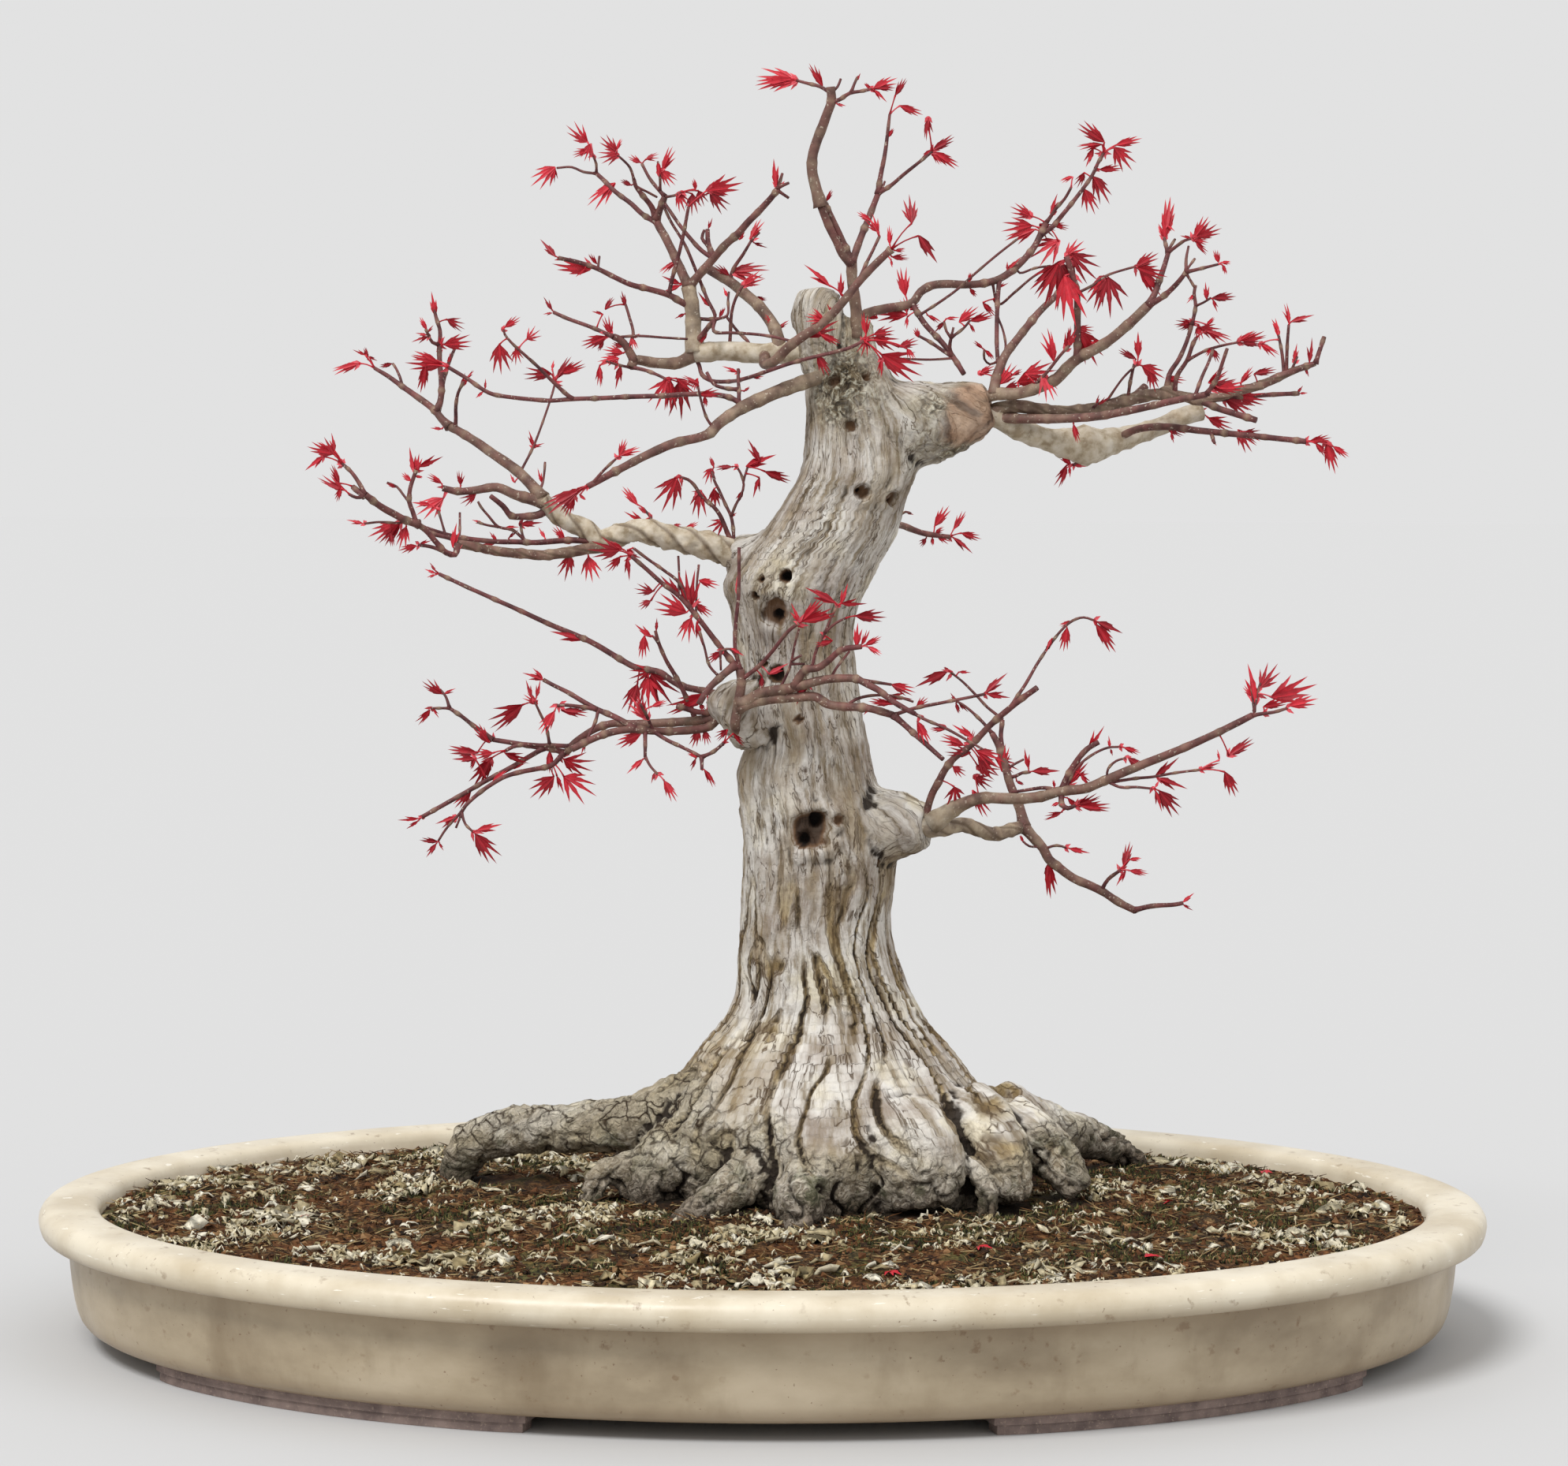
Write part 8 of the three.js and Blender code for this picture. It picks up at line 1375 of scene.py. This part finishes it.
def trunk_axis():
    return smooth_run([trunk_ring(*row) for row in reversed(TRUNK_OUTLINE)], 4)


def trunk_shaft(axis):
    """The trunk itself: an upright tube with flutes that deepen towards the flare."""
    points = []
    for x, y, z, half_width in axis:
        flare = min(1, max(0, (100 - z) / 60))
        for k in range(SHAFT_SIDES):
            angle = 2 * math.pi * k / SHAFT_SIDES
            flute = (0.022 + 0.05 * flare) * math.sin(FLUTES * angle + z * 0.035)
            out = 1 + flute * (1 - abs(math.cos(angle)) ** 6)
            points.append((x + math.cos(angle) * half_width * out,
                           y - math.sin(angle) * half_width * TRUNK_DEPTH_SHARE * out, z))
    return points, [tuple(reversed(face)) for face in ring_faces(len(axis), SHAFT_SIDES)]


def front_depth(axis, u, v):
    """Depth of the trunk's front skin behind a mark."""
    z = seen(u, v, 10).z
    x, y, _, half_width = axis[int(np.argmin(np.abs(axis[:, 2] - z)))]
    across = (seen(u, v, y).x - x) / half_width
    return y - half_width * TRUNK_DEPTH_SHARE * math.sqrt(max(0, 1 - across * across))


def build_trunk(bark):
    """Shaft, stubs, lumps and roots melted into one skin, then carved as bark."""
    axis = trunk_axis()
    shape = Shape()
    shape.add(*trunk_shaft(axis))
    for marks in TRUNK_LUMPS + ROOTS:
        run = smooth_run([[*seen(u, v, depth), radius] for u, v, depth, radius in marks], 4)
        is_root = marks in ROOTS

        def knobbly(row, angle, run=run):
            x, y, z = run[row, :3]
            return 1 + 0.13 * noise.noise((x / 14 + math.cos(angle), y / 14 + math.sin(angle), z / 14))

        shape.add(*tube(run[:, :3], run[:, 3], LUMP_SIDES, knobbly if is_root else None))
    trunk = shape.piece("trunk_wood", bark)
    apply_modifier(trunk, "REMESH", mode="VOXEL", voxel_size=BARK_VOXEL * MM)
    apply_modifier(trunk, "SMOOTH", factor=0.5, iterations=10)
    carve_bark(trunk, axis)
    shown(trunk, bark)
    stands_for(trunk, "trunk")
    return trunk


def scar_marks(axis):
    """Centre, radius and depth of each knot, cut or hollow on the trunk."""
    return [(seen(u, v, front_depth(axis, u, v)), radius, pit, lip) for u, v, radius, pit, lip in BARK_MARKS]


def bark_relief(place, axis, scars):
    """Height of the bark over its smooth base, and the marks that its finish is painted by."""
    x, y, z = place
    row = min(len(axis) - 1, max(0, int(np.searchsorted(axis[:, 2], z))))
    away_x, away_y = x - axis[row, 0], y - axis[row, 1]
    angle = math.atan2(away_y, away_x)
    ring_x, ring_y = math.cos(angle) * BARK_GIRTH, math.sin(angle) * BARK_GIRTH
    lift = (math.hypot(away_x, away_y) - axis[row, 3]) / 16
    cloud = noise.noise((x / 24, y / 24, z / 24))
    left = step_between(5, -45, x)
    flare = 1 - step_between(76 + 22 * left, 94 + 26 * left, z + 16 * cloud)
    low = 1 - step_between(58, 84, z + 16 * cloud)
    scab = 0.0
    for centre, radius in SCABS:
        near = math.exp(-((place - centre).length / radius) ** 2)
        scab = max(scab, near * (0.7 + 1.2 * max(-0.2, cloud + 0.1)))
    scab = min(1.0, scab)
    wander = 0.8 * noise.noise((ring_x / 20, ring_y / 20, z / 34))
    wander += 0.08 * noise.noise((ring_x / 7, ring_y / 7, z / 9))
    vein = noise.noise((ring_x / 8.2 + wander, ring_y / 8.2 + wander, z / 78 + 4 + lift))
    length = step_between(-0.5, -0.1, noise.noise((ring_x / 12, ring_y / 12, z / 22 + 30)))
    vein_share = step_between(60, 84, z) * mix(1.0, 0.3, step_between(165, 215, z)) * (1 - scab) * length
    height = -1.5 * (1 - step_between(0.0, 0.2, abs(vein))) * vein_share
    fine = noise.noise((ring_x / 4.2 + wander * 2.2, ring_y / 4.2, z / 24 + lift * 3))
    height += (0.7 * fine - 0.4 * (1 - step_between(0.0, 0.14, abs(fine)))) * (1 - 0.6 * low)
    height += 1.4 * noise.noise((ring_x / 13, ring_y / 13, z / 40 + 9)) * (1 - low)
    height += 0.5 * noise.noise((x / 18, y / 18, z / 5 + 2 * cloud)) * (1 - low)
    plates = max(flare * (1 - 0.85 * low), 0.8 * scab)
    rough_zone = max(flare, scab)
    if rough_zone > 0.01:
        worms = 1.7 * abs(noise.noise((x / 7 + 2 * cloud, y / 7, z / 5)))
        worms += 0.4 * abs(noise.noise((x / 3, y / 3, z / 2.6)))
        furrow = abs(noise.noise((x / 15, y / 15, z / 11 + 2)))
        height += rough_zone * (1.3 * worms - 0.5)
        height -= low * 3.6 * (1 - step_between(0.0, 0.10, furrow))
        height += scab * 1.6 * noise.noise((x / 4.5, y / 4.5, z / 4.5))
    pit = 0.0
    halo = 9.0
    for centre, radius, depth, lip in scars:
        away = place - centre
        if away.length > radius * 3:
            continue
        ragged = radius * (1 + 0.3 * noise.noise(tuple(place / 4)) + 0.22 * noise.noise(tuple(place / 9)))
        out = away.length / ragged
        ring = math.exp(-((out - 1.15) / 0.3) ** 2)
        hollow = 1 - step_between(0.55, 1.0, out)
        height += lip * ring * (0.8 + 0.7 * cloud) - depth * hollow
        if depth < 3:
            height += hollow * 1.6 * fine
        # How deep the hollow lies, which the finish paints dark as shade
        pit = max(pit, hollow * min(1.0, depth / 3.5) ** 1.5)
        halo = min(halo, out)
    knob = (place - KNOB_END).length
    raw = 1 - step_between(12, 18, knob + 9 * cloud)
    marks = {"vein": vein, "vein_share": vein_share, "plates": plates, "low": low, "scab": scab, "halo": halo,
             "pit": pit, "raw": raw}
    return height, marks, (ring_x * MM, ring_y * MM, (z + 16 * lift) * MM)


def hollowness(mesh, rounds):
    """How deep each vertex lies under the surface smoothed over its neighbours, in millimetres."""
    count = len(mesh.vertices)
    places = np.empty(count * 3)
    mesh.vertices.foreach_get("co", places)
    places = places.reshape(-1, 3) / MM
    normals = np.empty(count * 3)
    mesh.vertices.foreach_get("normal", normals)
    edges = np.empty(len(mesh.edges) * 2, int)
    mesh.edges.foreach_get("vertices", edges)
    ends = np.concatenate([edges.reshape(-1, 2), edges.reshape(-1, 2)[:, ::-1]])
    shares = np.bincount(ends[:, 0], minlength=count)[:, None]
    smooth = places
    for _ in range(rounds):
        sums = [np.bincount(ends[:, 0], smooth[ends[:, 1], k], minlength=count) for k in range(3)]
        smooth = np.stack(sums, 1) / shares
    return ((smooth - places) * normals.reshape(-1, 3)).sum(1)


def carve_bark(trunk, axis):
    """Moves the trunk's skin by its relief, and stores the marks that its finish reads."""
    scars = scar_marks(axis)
    mesh = trunk.data
    count = len(mesh.vertices)
    marks = {}
    grain = np.zeros((count, 3), "f")
    moved = np.zeros((count, 3), "f")
    for i, vertex in enumerate(mesh.vertices):
        place = vertex.co / MM
        height, found, grain[i] = bark_relief(place, axis, scars)
        moved[i] = (place + vertex.normal * height) * MM
        for name, value in found.items():
            marks.setdefault(name, np.zeros(count, "f"))[i] = value
    mesh.vertices.foreach_set("co", moved.ravel())
    mesh.update()
    # How hollow each spot lies, for the finish to paint as shade in crevices
    marks["hollow_shade"] = (np.clip(hollowness(mesh, 6) / 0.6 - 0.15, 0, 1) * 0.4
                       + np.clip(hollowness(mesh, 70) / 2.8 - 0.25, 0, 1) * 0.9)
    for name, values in marks.items():
        mesh.attributes.new(name, "FLOAT", "POINT").data.foreach_set("value", values)
    mesh.attributes.new("grain", "FLOAT_VECTOR", "POINT").data.foreach_set("vector", grain.ravel())
    mesh.update()

# The branches


def nearest_on(runs, u, v):
    """The spot on the runs that lies nearest to a mark, as the eye sees it."""
    best = None
    for run in runs:
        from_uv, to_uv = run[:-1, 3:5], run[1:, 3:5]
        span = to_uv - from_uv
        length = np.maximum((span ** 2).sum(1), 1e-6)
        share = np.clip((((u, v) - from_uv) * span).sum(1) / length, 0, 1)
        away = np.hypot(*(from_uv + span * share[:, None] - (u, v)).T)
        i = int(np.argmin(away))
        if best is None or away[i] < best[0]:
            best = (away[i], run[i] + (run[i + 1] - run[i]) * share[i])
    return best


def marks_in(numbers):
    """The marks of a limb, out of its row of numbers."""
    rest = iter(numbers)
    return [item if isinstance(item, list) else [item, next(rest)] for item in rest]


def limb_stations(limb, runs, depth):
    """Stations [x, y, z, u, v, radius] of a limb, which grows from the nearest earlier run."""
    base_radius, tip_radius, reach, *numbers = limb
    marks = marks_in(numbers)
    parent = nearest_on(runs, marks[0][0], marks[0][1]) if runs else None
    start_depth = parent[1][1] if parent else depth
    shares = [0.0]
    for before, after in zip(marks, marks[1:]):
        shares.append(shares[-1] + math.hypot(after[0] - before[0], after[1] - before[1]))
    given = [mark[2] if len(mark) > 2 else 0 for mark in marks]
    given[0] = given[0] or base_radius
    given[-1] = given[-1] or tip_radius
    known = [(share, radius) for share, radius in zip(shares, given) if radius]
    radii = np.interp(shares, *zip(*known))
    stations = []
    for mark, share, radius in zip(marks, shares, radii):
        spot_depth = mark[3] if len(mark) > 3 else start_depth + reach * share / shares[-1]
        stations.append([*seen(mark[0], mark[1], spot_depth), mark[0], mark[1], radius])
    if parent and parent[0] > 5:
        stations.insert(0, [*parent[1][:5], base_radius])
    elif parent:
        stations[0] = [*parent[1][:5], base_radius]
    return stations


def limb_swelling(run, grown, seed):
    """Radii along a limb with its nodes and its flared foot, its rings and age, and how far along each is."""
    away = np.concatenate([[0], np.cumsum(np.linalg.norm(np.diff(run[:, :3], axis=0), axis=1))])
    radii = np.maximum(run[:, 5], THINNEST_TWIG)
    rings = np.zeros(len(run))
    spot = 4 + 8 * chance(seed)
    while spot < away[-1]:
        thick = np.interp(spot, away, radii)
        near = np.exp(-((away - spot) / max(0.8, 0.45 * thick)) ** 2)
        radii = radii * (1 + (0.34 if thick < THIN_LIMB else 0.12) * near)
        rings = np.maximum(rings, near * (0.8 if thick < THIN_LIMB else 0.45))
        spot += (8 + 11 * chance(seed + spot)) * (1 if thick < THIN_LIMB else 0.8)
    if grown:
        radii = radii * (1 + 0.45 * np.exp(-away / max(1.0, 1.1 * radii[0])))
    age = np.clip((run[:, 5] - 1.2) / 1.9, 0.0, 1.0)
    return radii, rings, age, away


def add_limb(wood, run, grown, seed, wired):
    radii, rings, age, away = limb_swelling(run, grown, seed)
    thickest = radii.max()
    sides = 30 if wired else 14 if thickest > 3 else 10 if thickest > 1.5 else 7

    def swell(row, angle):
        x, y, z = run[row, :3]
        round_x, round_y = 2 * math.cos(angle), 2 * math.sin(angle)
        lumps = 1 + 0.07 * noise.noise((x / 5 + round_x, y / 5 + round_y, z / 5 + seed))
        if thickest > 4.8 and run[row, 5] > 4.4:
            lumps += 0.16 * noise.noise((x / 3 + 1.5 * round_x, y / 3 + 1.5 * round_y, z / 3))
        if wired:
            wave = math.cos(WIRE_STARTS * angle - 2 * math.pi * away[row] / WIRE_PITCH)
            lumps += 0.07 * wave - 0.2 * max(0.0, wave) ** 4
        return lumps

    points, faces = tube(run[:, :3], radii, sides, swell)
    scars = np.zeros(len(points))
    if wired:
        for row in range(len(run)):
            for k in range(sides):
                wave = math.cos(WIRE_STARTS * 2 * math.pi * k / sides - 2 * math.pi * away[row] / WIRE_PITCH)
                scars[row * sides + k] = max(0.0, wave) ** 4 * 0.8
    old = np.repeat(np.clip((run[:, 5] - 2.9) / 1.3, 0, 1), sides)
    wood.add(points, faces, age=np.repeat(age, sides), old=old, ring=np.repeat(rings, sides), scar=scars)


def is_kept(leaf, i):
    """Whether the solids hold the leaf too: the large ones, the wide ones and every fourth of the rest."""
    spread, _, _, right, down = leaf
    size = math.hypot(right, down)
    is_wide = spread > WIDE_LEAF_SPREAD and size > SMALL_LEAF_MARK / 2
    return size > SMALL_LEAF_MARK or is_wide or i % SMALL_LEAF_STEP == 0


def add_lobe(leaves, heart, along, across, up, size, width, tint, droop):
    """One toothed, pointed lobe, folded along its rib and bent back at its tip."""
    teeth = [(0.0, 0.35), (0.28, 0.8), (0.5, 1.0), (0.6, 0.62), (0.78, 0.42), (1.0, 0.0)]
    points = []
    ribs = []
    for share, half in teeth[:-1]:
        spot = heart + along * (size * share) - up * (droop * size * share * share)
        fold = up * (0.45 * half * width)
        points += [spot + across * (half * width) + fold, spot, spot - across * (half * width) + fold]
        ribs += [1.0, 0.0, 1.0]
    points.append(heart + along * size - up * (droop * size))
    ribs.append(0.5)
    faces = []
    for row in range(len(teeth) - 2):
        a = row * 3
        faces += [(a, a + 1, a + 4, a + 3), (a + 1, a + 2, a + 5, a + 4)]
    last = (len(teeth) - 2) * 3
    faces += [(last, last + 1, last + 3), (last + 1, last + 2, last + 3)]
    leaves.add(points, faces, tint=tint, rib=ribs)


def add_leaf(leaves, runs, leaf, seed):
    """One young leaf with its stalk: pointed lobes, folded narrow or spread like a hand."""
    spread, u, v, right, down = leaf
    away, root = nearest_on(runs, u, v)
    root_place = Vector(root[:3])
    reach = (root_place.y - EYE.y) / FOCUS
    length = math.hypot(right, down) * reach
    swing = length * LEAF_DEPTH_SWING * (1 - 2 * chance(seed))
    palm_depth = root_place.y - away * reach * 0.3 * (2 * chance(seed + 0.37) - 1)
    heart = seen(u, v, palm_depth)
    point = seen(u + right, v + down, palm_depth + swing)
    along = point - heart
    size = along.length
    along.normalize()
    across = Vector((0, 1, 0)).cross(along).normalized()
    across.rotate(Matrix.Rotation((chance(seed + 0.71) - 0.5) * 1.1, 3, along))
    up = along.cross(across)
    if up.y > 0:
        up.negate()
    tint = 0.1 + 0.75 * chance(seed + 1.3)
    lobes = 3 if spread < 14 else 5 if spread < 46 else 7
    fan = math.radians(max(spread, 6))
    for i in range(lobes):
        share = 2 * i / (lobes - 1) - 1
        angle = -share * fan * (1 + 0.12 * (chance(seed + i) - 0.5))
        lean = along * math.cos(angle) + across * math.sin(angle)
        side = across * math.cos(angle) - along * math.sin(angle)
        lobe = size * (1 - 0.34 * share * share) * (1 + 0.1 * (chance(seed + i * 1.7) - 0.5))
        back = up * (-0.07 * size * abs(share))
        width = max(0.45, size * (0.08 if lobes == 3 else 0.064))
        droop = 0.1 + 0.2 * abs(share) * chance(seed + i * 3.3)
        add_lobe(leaves, heart + back * 0.2, (lean + back / size).normalized(), side, up, lobe, width,
                 min(1, tint + 0.12 * (chance(seed + i * 2.1) - 0.5)), droop)
    stalk_run = heart - root_place
    if stalk_run.length > 0.8:
        sag = Vector((0, 0, 1)) * (0.06 * stalk_run.length) + up * (0.05 * stalk_run.length)
        rows = [root_place.lerp(heart, k / 4) + sag * math.sin(math.pi * k / 4) for k in range(5)]
        points, faces = tube(rows, [STALK_RADIUS * (1.5, 0.9, 0.8, 0.85, 1.3)[k] for k in range(5)], 5)
        leaves.add(points, faces, tint=min(1, tint + 0.1), rib=1.0)
    if chance(seed + 2.9) < 0.5 and size > 7:
        add_bud_scales(leaves, root_place if stalk_run.length < 6 else heart, along, across, up, size, seed)


def add_bud_scales(leaves, foot, along, across, up, size, seed):
    """The pink scales of the bud that the leaf came out of."""
    for side in (-1, 1):
        lean = (along + across * side * (0.5 + 0.5 * chance(seed + side))).normalized()
        beside = up.cross(lean).normalized()
        add_lobe(leaves, foot - along * 0.8, lean, beside, up, min(6.5, 0.34 * size), 0.8, 0.92, 0.25)


def build_branch(name, branch, number, twig, crimson):
    """The wood and the leaves of one branch. The leaves that the solids hold too are seeded by themselves."""
    wood = Shape("age", "old", "ring", "scar")
    leaves = Shape("tint", "rib")
    runs = []
    for index, limb in enumerate(branch["limbs"]):
        wired = (name, index) in WIRED
        run = smooth_run(limb_stations(limb, runs, branch["depth"]), WIRED_STEP if wired else TWIG_STEP)
        add_limb(wood, run, bool(runs), number * 50 + index, wired)
        runs.append(run)
    kept = 0
    for i, leaf in enumerate(branch["leaves"]):
        if is_kept(leaf, i):
            add_leaf(leaves, runs, leaf, number * 100 + kept)
            kept += 1
        else:
            add_leaf(leaves, runs, leaf, 5000 + number * 100 + i)
    stands_for(wood.piece(name + "_wood", twig), name)
    stands_for(leaves.piece(name + "_leaves", crimson), name)


# Stage, light and camera


def build_stage():
    bpy.context.scene.view_settings.view_transform = "Standard"
    bpy.ops.mesh.primitive_plane_add(size=FLOOR_SIDE, location=(0, 0, 0))
    floor = bpy.context.object
    floor.name = "floor"
    finish = Finish("pale_floor", roughness=0.9, specular=0.0)
    shown(floor, finish.done((195, 195, 195)), smooth=False)
    world = bpy.data.worlds.new("studio")
    bpy.context.scene.world = world
    world.use_nodes = True
    world.node_tree.nodes["Background"].inputs["Color"].default_value = (1, 1, 1, 1)
    world.node_tree.nodes["Background"].inputs["Strength"].default_value = STUDIO_BRIGHTNESS
    for name, place, power, softness in (
        ("key", (-1.0, -1.6, 2.6), 2.2, 22),
        ("fill", (1.8, -1.0, 1.6), 0.3, 40),
    ):
        light = bpy.data.objects.new(name, bpy.data.lights.new(name, "SUN"))
        light.data.energy = power
        light.data.angle = math.radians(softness)
        light.location = place
        light.rotation_euler = Vector(place).to_track_quat("Z", "Y").to_euler()
        bpy.context.scene.collection.objects.link(light)


def build_camera():
    camera = bpy.data.objects.new("photo_camera", bpy.data.cameras.new("photo_camera"))
    camera.data.sensor_fit = "HORIZONTAL"
    camera.data.sensor_width = SENSOR_WIDTH
    camera.data.lens = FOCUS * SENSOR_WIDTH / PICTURE_WIDTH
    camera.data.clip_end = 100
    camera.location = EYE * MM
    turn = Matrix.Rotation(math.pi / 2 - TILT, 3, "X") @ Matrix.Rotation(ROLL, 3, "Z")
    camera.rotation_euler = turn.to_euler()
    bpy.context.scene.collection.objects.link(camera)
    bpy.context.scene.camera = camera


def main():
    build_pot(glaze_finish(), bare_clay_finish(), net_finish())
    trunk = build_trunk(bark_finish())
    build_soil(trunk, {
        "soil": soil_finish(),
        "crumbs": bits_finish("soil_crumb", (30, 22, 16), (104, 66, 38), (168, 132, 92)),
        "pale_bits": bits_finish("pale_moss_bit", (160, 142, 102), (220, 207, 172),
                                 (246, 239, 218)),
        "fibres": bits_finish("brown_fibre", (44, 31, 20), (112, 72, 38), (186, 164, 118)),
        "moss": bits_finish("green_moss", (30, 30, 16), (62, 64, 32), (112, 108, 62)),
    })
    twig = twig_finish()
    crimson = leaf_finish()
    build_fallen_leaves(crimson)
    for number, (name, branch) in enumerate(BRANCHES.items()):
        build_branch(name, branch, number, twig, crimson)
    build_stage()
    build_camera()


main()
